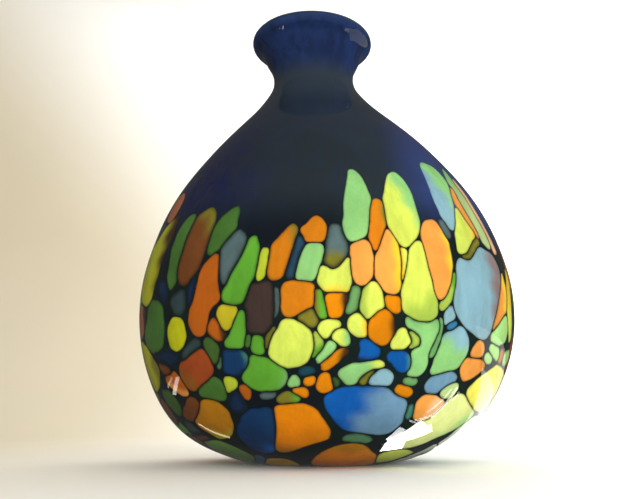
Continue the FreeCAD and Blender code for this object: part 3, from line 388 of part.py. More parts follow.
        [(-86.64, 102.65), (-84.93, 102.22), (-83.21, 102.21), (-81.5, 102.4), (-80.69, 104.67), (-80.63, 107.32), (-81.88, 109.18), (-82.49, 111.66), (-83.5, 113.65), (-85.13, 114.55), (-86.71, 115.65), (-88.35, 115.34), (-89.48, 113.33), (-89.87, 110.73), (-89.71, 108.04), (-89.42, 105.37), (-88.28, 103.46)],
    ],
    "chips_mint_lower": [
        [(16.15, 50.9), (17.71, 52.24), (16.07, 54.19), (13.86, 55.24), (11.57, 56.03), (9.15, 56.01), (6.89, 55.09), (6.75, 52.65), (9.06, 52.07), (11.43, 51.76), (13.83, 51.57)],
        [(26.35, 65.75), (27.38, 65.82), (27.33, 67.57), (27.05, 69.28), (26.64, 70.95), (25.87, 72.13), (25.39, 70.61), (25.38, 68.84), (25.47, 67.09)],
        [(-177.6, 18.05), (-172.53, 17.8), (-167.43, 17.8), (-162.38, 18.12), (-158.29, 20.29), (-155.25, 23.26), (-153.19, 26.65), (-151.92, 30.24), (-151.86, 33.94), (-153.32, 37.47), (-156.16, 40.54), (-160.26, 42.68), (-165.15, 43.67), (-169.44, 41.83), (-172.72, 38.99), (-175.69, 35.98), (-177.61, 32.54), (-178.61, 28.95), (-178.61, 25.24), (-178.61, 21.52)],
        [(100.25, 37.4), (104.93, 37.98), (108.72, 40.99), (109.26, 45.92), (107.45, 50.69), (105.81, 55.52), (104.43, 60.46), (103.07, 65.38), (98.99, 67.77), (94.24, 67.35), (92.21, 63.42), (89.55, 59.26), (90.84, 56.61), (94.67, 54.23), (92.85, 50.18), (88.18, 50.88), (85.77, 46.5), (86.58, 41.54), (90.91, 39.66), (95.6, 38.61)],
    ],
    "chips_mint_middle": [
        [(54.62, 100.85), (56.37, 100.77), (58.07, 101.44), (59.79, 102.01), (61.36, 103.09), (61.79, 105.73), (61.73, 108.45), (61.25, 111.08), (60.03, 112.99), (58.38, 112.86), (56.94, 111.28), (55.56, 109.58), (54.15, 107.96), (52.72, 106.36), (51.37, 104.63), (51.26, 102.21), (52.89, 101.28)],
        [(-2.76, 89.6), (-1.49, 90.8), (-0.28, 92.62), (0.93, 94.44), (1.89, 96.46), (0.54, 97.74), (-0.63, 96.01), (-1.54, 93.84), (-2.7, 91.96)],
        [(4.49, 108.5), (6.03, 108.83), (6.98, 110.93), (7.33, 113.45), (7.62, 115.98), (7.23, 118.45), (5.85, 118.47), (5.33, 116.04), (4.97, 113.52), (4.39, 111.09)],
        [(22.11, 85.1), (24.51, 84.92), (26.54, 86.51), (27.15, 89.9), (27.13, 93.52), (27.84, 97.02), (28.74, 100.43), (29.49, 103.92), (28.84, 107.39), (26.75, 105.98), (24.42, 105.93), (22.05, 106.4), (19.84, 107.76), (20.38, 104.39), (22.34, 102.31), (24.18, 99.97), (24.4, 96.67), (22.45, 94.57), (22.47, 91.35), (22.6, 87.74)],
        [(29.39, 86.45), (31.26, 86.64), (33.13, 87.22), (34.97, 88.02), (36.84, 88.6), (38.61, 89.71), (39.79, 91.88), (40.32, 94.57), (40.62, 97.42), (40.35, 100.2), (39.12, 102.39), (37.62, 104.19), (35.87, 105.2), (34.24, 103.65), (32.49, 102.41), (31.21, 100.57), (31.07, 97.67), (30.47, 94.91), (29.93, 92.13), (29.57, 89.28)],
        [(27.88, 92.3), (28.81, 93.98), (29.22, 96.64), (29.77, 99.23), (30.2, 101.87), (30.43, 104.49), (30.31, 107.24), (29.39, 108.07), (29.88, 105.45), (29.7, 102.74), (29.12, 100.14), (28.45, 97.59), (27.78, 95.04)],
        [(-31, 88.25), (-30.24, 88.19), (-29.65, 89.21), (-29.49, 90.54), (-29.31, 91.85), (-29.67, 92.9), (-30.03, 91.72), (-30.4, 90.52), (-30.98, 89.49)],
        [(57.51, 94.1), (58.32, 95.71), (57.3, 97.86), (55.71, 98.82), (53.97, 99.25), (52.22, 99.68), (51.14, 98.71), (52.51, 96.98), (54.16, 95.94), (55.81, 94.92)],
        [(52.41, 92.3), (53.49, 92.33), (53.75, 93.67), (52.84, 94.66), (51.81, 95.22), (50.73, 95.62), (49.83, 94.69), (50.31, 93.44), (51.32, 92.67)],
        [(64.01, 93.2), (65.7, 93.02), (67.41, 93.06), (69.04, 93.71), (70.18, 95.6), (69.81, 97.93), (68.36, 99.16), (66.67, 98.98), (64.97, 98.74), (63.46, 97.78), (63.2, 95.26)],
        [(-9.66, 79.7), (-8.72, 79.95), (-7.79, 80.21), (-7.92, 81.53), (-8.23, 82.84), (-8.93, 83.73), (-9.48, 82.86), (-10.1, 81.78), (-10.35, 80.47)],
        [(5.64, 81.05), (7.44, 81.34), (8.56, 83.37), (9.87, 85.33), (11.44, 86.8), (13.17, 87.72), (14.79, 88.48), (13.32, 89.78), (11.45, 89.78), (9.63, 89.35), (7.8, 88.89), (6, 88.32), (4.31, 87.19), (3.24, 85.19), (4.31, 82.98)],
        [(22.14, 81.5), (23.09, 81.32), (24.06, 81.32), (24.96, 81.76), (24.96, 82.83), (24.02, 83.04), (23.1, 83.47), (22.15, 83.32), (21.52, 82.54)],
        [(37.45, 76.1), (39.23, 76.38), (40.63, 77.94), (41.22, 80.24), (40.19, 81.68), (38.36, 81.65), (36.74, 80.48), (35.48, 78.62), (35.72, 76.93)],
        [(-140.71, 72.5), (-139.11, 73.22), (-137.86, 75.28), (-136.07, 76.07), (-134.19, 75.47), (-132.54, 75.9), (-132.54, 78.57), (-132.97, 81.23), (-133.88, 83.63), (-135.25, 85.45), (-137.14, 85.96), (-139.07, 85.98), (-140.98, 85.6), (-142.9, 85.78), (-144.76, 85.72), (-145.47, 83.26), (-145.18, 80.58), (-144.71, 77.94), (-143.83, 75.52), (-142.46, 73.66)],
        [(169.55, 88.25), (171.25, 88.58), (172.86, 89.59), (174.34, 90.95), (175.03, 93.35), (175.36, 95.95), (175.27, 98.58), (173.89, 99.96), (172.18, 100.51), (170.46, 100.83), (168.71, 100.84), (166.99, 101.1), (165.29, 101.66), (164.19, 100), (164.62, 97.45), (165.18, 94.94), (165.62, 92.39), (166.29, 89.99), (167.88, 88.99)],
        [(-167.75, 86), (-165.95, 86.68), (-164.51, 88.39), (-164.4, 91.24), (-164.4, 94.11), (-164.13, 96.94), (-164.08, 99.71), (-165.48, 101.54), (-167.36, 101.74), (-169.26, 101.74), (-171.15, 101.83), (-173, 101.94), (-173.9, 99.51), (-174.26, 96.69), (-174.5, 93.86), (-175.12, 91.15), (-175.05, 88.52), (-173.34, 87.42), (-171.46, 87.1), (-169.58, 86.72)],
        [(92.17, 94.55), (93.85, 94.78), (95.44, 96.04), (96.66, 98.01), (96.92, 100.59), (95.25, 101.28), (93.46, 101.19), (92, 99.73), (91.63, 97.1)],
        [(-163.5, 111.65), (-161.86, 111.92), (-160.42, 113.45), (-159.52, 115.81), (-159.61, 118.3), (-161.31, 118.83), (-163.05, 118.54), (-164.32, 116.93), (-164.12, 114.18)],
        [(-178.3, 81.95), (-176.8, 82.18), (-175.7, 83.71), (-175.55, 85.95), (-176.19, 87.96), (-177.56, 88.88), (-178.97, 88.07), (-179.26, 85.89), (-179.21, 83.63)],
        [(172.27, 114.35), (173.64, 113.98), (174.93, 114.81), (175.64, 116.69), (175.14, 118.57), (173.76, 118.84), (172.35, 118.73), (171.16, 117.66), (171.13, 115.6)],
    ],
    "chips_mint_upper": [
        [(-7.59, 121.55), (-5.93, 121.37), (-4.24, 121.38), (-3.2, 123.22), (-2.57, 125.66), (-2.22, 128.22), (-1.94, 130.79), (-1.44, 133.29), (-1.95, 135.6), (-3.57, 136.12), (-5.2, 135.64), (-6.19, 133.64), (-6.8, 131.17), (-7.27, 128.62), (-7.66, 126.04), (-8.04, 123.47)],
        [(5.9, 137.75), (8.28, 138.95), (10.02, 142.04), (10.85, 145.87), (11.22, 149.87), (11.52, 153.88), (11.82, 157.88), (11.82, 161.96), (11.35, 165.92), (10.53, 169.76), (8.96, 173.08), (7.12, 173.1), (6.47, 169.19), (5.87, 165.26), (5.28, 161.34), (4.73, 157.41), (4.44, 153.4), (4.38, 149.33), (4.38, 145.25), (4.63, 141.24)],
        [(54.22, 143.15), (56.22, 145.84), (55.55, 150.77), (54.55, 155.57), (53.52, 160.36), (53.21, 165.37), (52.79, 170.37), (52.03, 175.28), (52.02, 180.28), (52.58, 185.22), (52.17, 187.5), (49.66, 184.03), (48.08, 179.49), (47.28, 174.6), (47.51, 169.76), (47.33, 164.76), (47.93, 159.81), (49.01, 154.99), (50.09, 150.19), (51.13, 145.5)],
        [(81.6, 112.1), (82.85, 113.4), (83.88, 115.49), (85.08, 117.3), (86.37, 118.99), (87.29, 121.07), (87.32, 123.71), (87.32, 126.35), (87.32, 129), (86.85, 131.45), (85.27, 132.25), (83.65, 131.82), (82.27, 130.35), (81.06, 128.54), (79.94, 126.59), (79.48, 124.07), (79.21, 121.46), (79.17, 118.83), (79.58, 116.28), (80.49, 114.07)],
        [(-179.13, 115.7), (-177.46, 115.61), (-175.96, 116.69), (-175.41, 119.21), (-175.12, 121.85), (-175.46, 124.38), (-176.37, 126.65), (-177.09, 129.07), (-177.68, 131.58), (-178.16, 134.15), (-178.67, 136.7), (-179.43, 136.91), (-179.53, 134.24), (-179.57, 131.56), (-179.58, 128.88), (-179.59, 126.2), (-179.59, 123.52), (-179.59, 120.84), (-179.58, 118.16)],
        [(-165.04, 120.2), (-162.98, 120.06), (-160.84, 120.21), (-158.74, 120.24), (-158.38, 123.48), (-158.63, 126.82), (-158.63, 130.19), (-158.38, 133.53), (-158.38, 136.9), (-159.04, 140.03), (-160.42, 142.61), (-161.98, 144.94), (-163.94, 145.05), (-164.81, 142.01), (-165.52, 138.83), (-166.22, 135.64), (-167, 132.5), (-167.26, 129.22), (-166.88, 125.9), (-166.48, 122.59)],
        [(-143.13, 111.65), (-142.11, 113.88), (-142.2, 117), (-142.47, 120.08), (-142.48, 123.2), (-142.48, 126.32), (-142.93, 129.33), (-143.74, 132.17), (-144.66, 134.93), (-145.64, 137.63), (-147.1, 137.06), (-147.91, 134.22), (-148.57, 131.28), (-149.07, 128.26), (-149.5, 125.22), (-149.59, 122.11), (-149.33, 119.04), (-148.04, 116.72), (-146.49, 114.8), (-144.91, 112.94)],
        [(-77.03, 117.5), (-75.53, 118.1), (-73.75, 118.4), (-72.15, 119.36), (-70.56, 120.56), (-70.28, 122.64), (-71.57, 124.61), (-73.01, 126.32), (-73.97, 128.67), (-74.77, 131.2), (-73.81, 133.43), (-74.14, 136.04), (-75.22, 137.94), (-76.6, 136.39), (-77.62, 134.04), (-78.34, 131.44), (-78.29, 128.64), (-77.84, 125.88), (-77.53, 123.08), (-77.42, 120.24)],
        [(87.83, 134.15), (89.96, 135.98), (92.06, 138.74), (94.45, 140.23), (95.04, 144.34), (95.27, 148.53), (95.27, 152.74), (94.71, 156.87), (93.75, 160.83), (92.59, 164.68), (91.18, 168.34), (89.08, 170.59), (87.59, 167.06), (86.33, 163.28), (85.8, 159.21), (85.89, 155), (86.27, 150.82), (86.73, 146.67), (87.14, 142.5), (87.45, 138.31)],
        [(-106.29, 132.35), (-104.64, 135.26), (-104.08, 139.52), (-103.64, 143.81), (-103.34, 148.12), (-103.36, 152.46), (-103.79, 156.76), (-104.42, 160.99), (-105.26, 165.15), (-106.2, 169.26), (-107.93, 171.74), (-109.16, 167.83), (-110.15, 163.75), (-110.97, 159.58), (-111.62, 155.35), (-111.89, 151.03), (-111.43, 146.74), (-111.05, 142.45), (-110.44, 138.24), (-108.59, 134.92)],
    ],
    "chips_olive": [
        [(38.93, 134.15), (40.56, 134.58), (42.1, 135.48), (43.33, 137.3), (44.67, 138.88), (45.89, 140.71), (47.23, 142.28), (48.45, 144.12), (48.14, 145.91), (46.67, 144.69), (45.26, 143.25), (44.04, 141.42), (42.82, 139.59), (41.73, 137.6), (40.27, 136.3), (38.79, 135.17)],
        [(-4.87, 103.55), (-3.27, 103.59), (-2.58, 105.86), (-3.23, 108.18), (-4.12, 110.11), (-5.65, 109.22), (-7.09, 107.96), (-7.5, 106.63), (-6.1, 105.3)],
        [(-15.95, 95), (-15.46, 96.72), (-14.83, 98.96), (-14.09, 101.14), (-13.13, 103.08), (-13.63, 103.48), (-14.79, 101.76), (-15.7, 99.76), (-16.13, 97.42)],
        [(-13.87, 72.95), (-12.07, 72.77), (-10.3, 73.22), (-8.53, 73.61), (-7.65, 74.66), (-9.14, 76.07), (-10.75, 77.14), (-12.41, 76.29), (-13.87, 74.81)],
        [(9, 81.05), (10.35, 80.97), (10.81, 82.73), (11.51, 84.43), (12.42, 85.87), (12.08, 86.51), (10.91, 85.47), (9.83, 84.26), (8.88, 82.82)],
        [(146.34, 72.5), (148.24, 72.06), (150.19, 72.09), (152.05, 72.79), (153.74, 74.14), (154.75, 76.31), (153.91, 78.74), (154.25, 81.36), (155.73, 83.09), (155.15, 85.18), (153.41, 86.32), (151.57, 85.53), (149.85, 84.25), (148.41, 82.5), (147.83, 79.9), (147.05, 77.41), (146.23, 74.93)],
        [(-102.1, 74.3), (-99.99, 73.88), (-97.86, 73.86), (-95.96, 74.83), (-95.24, 77.7), (-94.54, 80.59), (-93.49, 83.24), (-92.39, 85.86), (-92.98, 88.48), (-95.07, 88.69), (-97.19, 88.9), (-99.24, 89.74), (-101.28, 90.63), (-103.33, 91.26), (-104.8, 89.14), (-106.08, 86.71), (-105.93, 83.74), (-105.44, 80.76), (-104.94, 77.79), (-104.13, 75.03)],
        [(-75.94, 75.2), (-74.06, 74.87), (-72.27, 75.78), (-70.52, 76.85), (-69.45, 78.82), (-71.18, 79.76), (-72.59, 81.56), (-73.93, 83.49), (-75.25, 85.41), (-75.46, 88.1), (-76.25, 90.44), (-78.07, 91.21), (-79.52, 89.77), (-80.37, 87.33), (-81.28, 84.94), (-81.22, 82.25), (-80.52, 79.76), (-79.26, 77.74), (-77.71, 76.16)],
    ],
    "chips_opal": [
        [(61.22, 47.75), (63.65, 47.54), (65.79, 49.05), (67.85, 50.69), (69.76, 52.57), (70.62, 55.2), (70.41, 58.09), (70.26, 60.99), (69.61, 63.77), (67.87, 65.84), (65.55, 66.83), (63.05, 66.88), (60.87, 65.64), (59.04, 63.66), (57.47, 61.45), (56.8, 58.65), (56.46, 55.77), (56.33, 52.87), (56.69, 50.04), (58.83, 48.6)],
        [(75.89, 36.05), (78.62, 36.24), (80.92, 37.82), (82.41, 40.06), (82.33, 42.77), (81.65, 45.4), (79.74, 47.37), (77.46, 48.99), (75.02, 50.39), (72.49, 51.61), (70.05, 50.66), (67.96, 48.82), (65.74, 47.13), (64.48, 44.86), (64.88, 42.17), (65.43, 39.51), (67.62, 37.99), (70.41, 37.46), (73.18, 36.87)],
        [(54.69, 34.25), (57.42, 34.43), (60.15, 35.55), (62.69, 36.99), (63.63, 39.4), (63.22, 42.11), (62.61, 44.77), (60.36, 46.43), (57.59, 47.47), (54.83, 47.77), (54.35, 45.13), (54.35, 42.4), (54.35, 39.67), (54.35, 36.94)],
        [(61.47, 20.3), (65.34, 20.05), (69.15, 20.45), (72.13, 22.19), (74.22, 24.47), (75.23, 27.09), (75.62, 29.79), (75.97, 32.5), (74.42, 34.8), (70.82, 35.83), (67.04, 36.5), (63.6, 35.51), (60.46, 33.92), (57.12, 32.5), (54.65, 30.54), (54.52, 27.83), (54.52, 25.11), (54.73, 22.4), (57.63, 20.78)],
    ],
    "chips_orange_lower": [
        [(-18.96, 41.45), (-15.23, 42.16), (-11.86, 44.2), (-8.69, 46.8), (-5.35, 49.08), (-1.91, 51.13), (1.28, 53.66), (1.58, 57.97), (0.04, 62.12), (-1.85, 66.05), (-3.69, 70), (-7.04, 71.78), (-10.92, 71.76), (-14.66, 70.75), (-15.41, 66.62), (-15.71, 62.14), (-16.5, 57.75), (-17.64, 53.43), (-19.04, 49.21), (-20.21, 44.92)],
        [(14.62, 17.6), (21.46, 17.79), (27.95, 19.62), (34.7, 20.83), (36.12, 24.21), (32.38, 28.54), (28.95, 33.02), (25.51, 37.49), (22.04, 41.96), (18.06, 46.16), (12.44, 49.02), (5.75, 48.23), (1.13, 44.45), (-1.91, 39.81), (-4.35, 34.98), (-6.25, 30.03), (-7.56, 24.97), (-5.66, 20.43), (0.84, 18.61), (7.7, 17.9)],
        [(31.12, 65.3), (33.07, 65.3), (34.96, 65.91), (35.96, 68.17), (37.06, 70.36), (38.04, 72.66), (36.89, 74.03), (35.03, 74.95), (33.17, 75.82), (31.22, 76.14), (29.32, 75.65), (28.13, 73.67), (28.08, 71.02), (28.46, 68.45), (29.26, 66.07)],
        [(-160.05, 44.15), (-156.58, 44.25), (-153.38, 45.89), (-150.84, 48.63), (-150.3, 52.61), (-151.2, 56.56), (-152.67, 60.28), (-154.29, 63.91), (-156.91, 66.54), (-159.86, 68.75), (-162.87, 70.86), (-166.13, 72.23), (-168.73, 69.55), (-170.92, 66.47), (-170.41, 62.43), (-169.66, 58.43), (-169.27, 54.36), (-168.52, 50.4), (-166.42, 47.16), (-163.47, 45.07)],
        [(-129.88, 36.95), (-125.4, 36.97), (-120.87, 37.54), (-116.37, 38.29), (-112.41, 40.4), (-109.78, 44.43), (-109.42, 49.35), (-109.24, 54.31), (-109.12, 59.27), (-109.39, 64.23), (-112.58, 67.18), (-116.53, 69.62), (-120.55, 69.67), (-123.92, 66.34), (-126.68, 62.39), (-129.14, 58.2), (-129.95, 53.37), (-130.65, 48.47), (-132.66, 44.02), (-133.64, 39.69)],
    ],
    "chips_orange_middle": [
        [(0.53, 106.7), (2.18, 107.16), (3.3, 109.29), (4.1, 111.76), (4.62, 114.38), (3.9, 115.88), (2.13, 115.88), (0.36, 115.88), (-0.55, 114.54), (-0.42, 111.79), (-0.15, 109.09)],
        [(-10.33, 108.05), (-8.71, 107.88), (-7.09, 108.72), (-5.59, 109.95), (-4.05, 111.06), (-3.68, 113.59), (-3.67, 116.3), (-3.82, 119), (-5.29, 120.18), (-6.93, 120.83), (-8.61, 120.86), (-10.23, 120.32), (-11.19, 118.13), (-11.48, 115.5), (-11.52, 112.79), (-11.23, 110.16)],
        [(-29.79, 99.95), (-28.03, 99.79), (-26.94, 101.67), (-28.36, 103.32), (-29.23, 105.82), (-30.38, 107.74), (-31.78, 105.99), (-32.32, 103.63), (-31.33, 101.33)],
        [(-1.58, 87.35), (0.21, 87.59), (1.75, 89.04), (3.1, 90.94), (4.42, 92.91), (5.03, 95), (3.3, 94.27), (1.87, 92.54), (0.55, 90.58), (-1.02, 89.13)],
        [(16.41, 109.4), (17.67, 110.15), (17.82, 112.45), (17.71, 114.79), (16.25, 114.98), (14.81, 115.49), (13.98, 114.55), (14.25, 112.28), (15.11, 110.43)],
        [(12.51, 97.25), (14.15, 97.22), (15.42, 98.83), (16.19, 101.13), (16.32, 103.7), (16.03, 106.22), (15.38, 108.55), (14.09, 110.02), (12.54, 109.18), (11.27, 107.57), (10.34, 105.5), (9.84, 103.05), (10.08, 100.54), (11.07, 98.55)],
        [(42.89, 94.1), (44.6, 93.92), (46.28, 94.36), (47.77, 95.39), (48.04, 97.75), (46.87, 99.57), (45.31, 100.14), (43.87, 98.88), (42.97, 96.66)],
        [(60.53, 93.2), (61.31, 94.14), (61.54, 95.89), (61.31, 97.65), (60.51, 98.34), (59.31, 98.31), (58.93, 97.18), (59.27, 95.45), (59.39, 93.66)],
        [(-49.58, 77.45), (-47.76, 77.57), (-46.11, 78.28), (-46.54, 80.84), (-47.34, 83.27), (-48.24, 85.62), (-49.6, 87.45), (-51.42, 87.08), (-53.22, 86.42), (-55, 85.69), (-55.67, 83.48), (-54.27, 81.74), (-52.83, 80.03), (-51.29, 78.52)],
        [(-23.73, 74.75), (-22.81, 75.47), (-22.38, 76.87), (-22.5, 78.43), (-23.26, 79.6), (-24.26, 80.27), (-24.72, 79.06), (-24.71, 77.48), (-24.4, 75.97)],
        [(-5.7, 81.05), (-4.88, 80.87), (-4.14, 81.22), (-3.8, 82.3), (-3.59, 83.44), (-4.23, 83.92), (-5.03, 83.64), (-5.8, 83.23), (-5.96, 82.18)],
        [(-1.58, 77.9), (0.02, 77.72), (1.34, 78.87), (1.12, 80.96), (0.73, 83.18), (-0.27, 84.79), (-1.61, 83.77), (-2.12, 81.59), (-2.52, 79.39)],
        [(-6.96, 75.65), (-5.88, 75.74), (-5.62, 77.2), (-6.28, 78.47), (-7.31, 78.98), (-8.46, 78.98), (-9.5, 78.42), (-8.9, 77.32), (-7.89, 76.55)],
        [(22.42, 76.1), (23.82, 76.13), (24.71, 77.4), (23.78, 78.8), (22.45, 79.58), (21.04, 79.97), (19.68, 79.78), (20.02, 78.11), (21.08, 76.75)],
        [(42.8, 83.75), (44.49, 83.99), (46.15, 85.24), (47.73, 86.65), (49.26, 88.18), (50.7, 89.89), (49.97, 91.34), (48.19, 92.02), (46.39, 92.52), (44.58, 92.93), (42.72, 92.93), (40.96, 92.26), (39.91, 90.2), (40.34, 87.73), (41.35, 85.46)],
        [(111.7, 74.3), (113.52, 73.87), (115.37, 73.87), (117.19, 74.27), (118.42, 75.94), (118.75, 78.53), (119.05, 81.14), (119.04, 83.77), (117.95, 85.62), (116.26, 86.68), (114.66, 87.99), (113.29, 89.75), (111.77, 88.58), (110.34, 86.91), (108.87, 85.3), (108.3, 82.87), (108.94, 80.4), (109.46, 77.87), (110.05, 75.41)],
        [(-152.21, 67.1), (-150.24, 66.95), (-148.5, 68.25), (-147.05, 70.12), (-145.81, 72.28), (-145.38, 74.93), (-145.73, 77.65), (-146.2, 80.33), (-146.77, 82.98), (-148.07, 85.01), (-149.94, 85.87), (-151.93, 85.76), (-153.81, 84.91), (-155.05, 82.85), (-154.69, 80.16), (-154.1, 77.51), (-153.76, 74.8), (-153.54, 72.06), (-153.23, 69.33)],
        [(-110.59, 68), (-108.63, 68.12), (-107.08, 69.9), (-105.99, 72.27), (-105.56, 74.93), (-106, 77.67), (-106.46, 80.41), (-106.91, 83.14), (-107.85, 85.55), (-109.76, 86.45), (-111.77, 86.68), (-113.69, 85.91), (-115.02, 83.89), (-114.93, 81.11), (-115.53, 78.47), (-116.81, 76.3), (-117.12, 73.57), (-116.15, 71.22), (-114.43, 69.76), (-112.54, 68.75)],
        [(106.3, 86.45), (108.03, 86.51), (109.54, 87.9), (110.97, 89.46), (112.2, 91.37), (112.49, 93.9), (112.18, 96.52), (111.34, 98.86), (109.94, 100.45), (108.22, 100.92), (106.48, 100.44), (104.72, 100.39), (102.95, 100.38), (101.75, 98.71), (101.7, 96.04), (101.7, 93.37), (101.87, 90.73), (103.21, 89.05), (104.76, 87.76)],
        [(-143.15, 87.35), (-141.41, 86.98), (-139.67, 87.35), (-137.91, 87.36), (-136.15, 87.24), (-134.58, 87.79), (-134.77, 90.39), (-135, 93.01), (-135.09, 95.66), (-135.71, 98.14), (-136.65, 100.39), (-138.18, 101.59), (-139.89, 101.9), (-141.3, 100.33), (-142.31, 98.19), (-143.1, 95.81), (-143.9, 93.44), (-144.67, 91.05), (-144.67, 88.51)],
        [(173.04, 101.75), (174.71, 101.33), (175.18, 103.26), (174.57, 105.73), (174.18, 108.31), (173.71, 110.86), (172.54, 112.61), (171.01, 113.73), (169.52, 114.86), (167.91, 114.1), (166.54, 112.57), (166.01, 110.07), (165.72, 107.46), (165.47, 104.83), (166.33, 102.89), (167.98, 102.28), (169.67, 102.21), (171.37, 102.19)],
        [(-125.19, 99.5), (-123.47, 99.22), (-122.69, 101.48), (-122.68, 104.25), (-122.68, 107.01), (-122.83, 109.76), (-123.31, 112.39), (-125.04, 112.55), (-126.78, 112.86), (-128.42, 113.91), (-130.04, 114.88), (-131.6, 113.72), (-132.43, 111.32), (-132.81, 108.62), (-133.17, 105.92), (-133.29, 103.17), (-132.12, 101.37), (-130.36, 101.3), (-128.61, 100.88), (-126.88, 100.3)],
        [(-104.79, 102.65), (-103.11, 102.67), (-101.65, 104.02), (-101.41, 106.42), (-102.11, 108.87), (-102.25, 111.53), (-101.64, 114.02), (-102.44, 115.98), (-103.94, 117.28), (-105.5, 117.65), (-106.64, 115.68), (-107.55, 113.41), (-108.35, 111.03), (-109.14, 108.64), (-109.29, 106.09), (-108.04, 104.31), (-106.41, 103.53)],
        [(103.02, 72.5), (105.01, 72.32), (106.93, 73.14), (108.43, 74.88), (108.42, 77.63), (107.83, 80.31), (106.69, 82.51), (104.87, 81.69), (103.35, 79.87), (102.44, 77.4), (102.02, 74.66)],
    ],
    "chips_orange_upper": [
        [(-36.39, 102.2), (-34.18, 103.02), (-33.21, 106.56), (-32.4, 110.17), (-30.87, 113.17), (-29.06, 115.67), (-29.28, 119.45), (-29.76, 123.2), (-29.88, 127.06), (-29.88, 130.95), (-30.26, 134.27), (-32.32, 132.23), (-34.05, 129.59), (-35.12, 126.13), (-36.01, 122.55), (-36.65, 118.85), (-37.34, 115.16), (-38.43, 111.7), (-39.1, 108), (-38.29, 104.47)],
        [(-13.89, 122.45), (-12.24, 122.69), (-11.29, 124.88), (-10.62, 127.36), (-10.08, 129.9), (-9.66, 132.49), (-9.18, 135.06), (-8.87, 137.69), (-8.42, 140.27), (-8.28, 142.94), (-9.11, 145.06), (-10.52, 143.74), (-11.63, 141.69), (-12.7, 139.58), (-13.66, 137.36), (-14.22, 134.83), (-14.55, 132.21), (-14.91, 129.6), (-15.13, 126.95), (-14.96, 124.45)],
        [(-5.47, 137.3), (-3.67, 137.12), (-1.84, 137.13), (-1.08, 139.38), (-0.78, 142.1), (-1.08, 144.81), (-1.68, 147.42), (-3.14, 148.68), (-4.58, 147.09), (-5.52, 144.72), (-6.55, 142.43), (-6.16, 139.82)],
        [(7.43, 119.75), (9.08, 119.93), (10.1, 122.17), (10.62, 124.76), (10.73, 127.51), (10.92, 130.23), (10.62, 132.92), (10.59, 135.69), (9.35, 137.33), (7.66, 136.81), (6.22, 135.25), (5.79, 132.74), (5.58, 130.04), (5.58, 127.26), (5.88, 124.57), (6.43, 121.98)],
        [(11.93, 133.7), (12.84, 135.74), (13.42, 138.3), (14.11, 140.79), (14.79, 143.29), (15.35, 145.84), (15.42, 148.56), (15.42, 151.28), (15.41, 154.01), (14.86, 156.55), (13.57, 156.94), (12.66, 154.61), (11.89, 152.17), (11.57, 149.53), (11.28, 146.87), (11.01, 144.23), (10.98, 141.5), (10.98, 138.77), (11.25, 136.13)],
        [(15.52, 116.6), (17.2, 117.74), (17.97, 120.43), (18.12, 123.44), (18.33, 126.45), (18.42, 129.48), (18.42, 132.53), (18.12, 135.48), (17.68, 138.39), (16.82, 141.09), (15.64, 143.16), (14.68, 140.55), (13.93, 137.77), (13.09, 135.04), (12.45, 132.19), (11.98, 129.3), (11.88, 126.28), (11.98, 123.26), (12.74, 120.48), (13.87, 118.12)],
        [(29.03, 115.7), (31, 117.22), (32.18, 120.74), (33.14, 124.39), (33.77, 128.2), (34.02, 132.1), (34.32, 136), (34.02, 139.9), (33.18, 143.59), (32.21, 147.21), (30.51, 150.01), (28.24, 149.11), (26.83, 145.88), (25.97, 142.17), (25.64, 138.44), (25.95, 134.51), (26.28, 130.6), (26.72, 126.74), (27.46, 122.98), (27.82, 119.09)],
        [(49.47, 146.3), (49.7, 148.76), (49.3, 151.61), (48.56, 154.33), (47.94, 157.12), (47.33, 159.91), (47, 162.78), (46.7, 165.65), (46.92, 168.53), (47.25, 171.39), (46.35, 172.42), (45.33, 169.9), (44.45, 167.25), (44.01, 164.43), (43.78, 161.56), (44.31, 158.75), (45.15, 156.09), (46.04, 153.45), (47.16, 151.04), (48.24, 148.58)],
        [(51.22, 106.25), (52.88, 107.41), (54.61, 109.26), (56.26, 111.26), (57.95, 113.18), (59.52, 115.25), (60.31, 118.28), (60.72, 121.47), (60.95, 124.69), (60.49, 127.85), (60.13, 131.06), (59.59, 132.49), (58.71, 129.53), (57.61, 126.73), (56.55, 123.91), (55.45, 121.11), (54.61, 118.11), (53.64, 115.18), (52.8, 112.22), (51.74, 109.39)],
        [(133.58, 117.5), (135.11, 118.51), (136.13, 120.73), (136.82, 123.25), (137.25, 125.92), (137.57, 128.63), (137.59, 131.38), (137.37, 134.11), (136.55, 136.46), (134.93, 136.55), (133.79, 134.48), (132.95, 132.06), (132.16, 129.61), (131.62, 126.99), (131.34, 124.28), (131.34, 121.61), (132.31, 119.33)],
        [(170.4, 119.75), (172.46, 120.19), (174.52, 120.63), (175.23, 123.69), (175.61, 126.96), (176.03, 130.21), (176.19, 133.49), (175.59, 136.67), (174.98, 139.85), (174.29, 142.98), (173.71, 146.17), (172.14, 147.09), (170.82, 144.5), (169.71, 141.68), (168.77, 138.71), (168.58, 135.42), (168.58, 132.1), (168.57, 128.78), (168.42, 125.5), (169.17, 122.4)],
        [(-172.35, 116.6), (-170.67, 116.67), (-169.23, 118.22), (-168.07, 120.29), (-167.48, 122.79), (-167.76, 125.53), (-168.07, 128.25), (-168.61, 130.88), (-169.85, 132.76), (-171.35, 131.8), (-172.19, 129.37), (-172.88, 126.82), (-173.33, 124.15), (-173.58, 121.42), (-173.45, 118.67)],
        [(-154.96, 116.6), (-153.35, 117.32), (-152.55, 119.96), (-152.2, 122.83), (-151.93, 125.72), (-151.95, 128.65), (-152.31, 131.53), (-152.9, 134.3), (-153.72, 136.93), (-154.66, 139.46), (-155.79, 141.78), (-157.12, 140.89), (-157.52, 138.04), (-157.52, 135.11), (-157.53, 132.18), (-157.8, 129.29), (-157.65, 126.38), (-157.52, 123.46), (-157.48, 120.53), (-156.55, 118.13)],
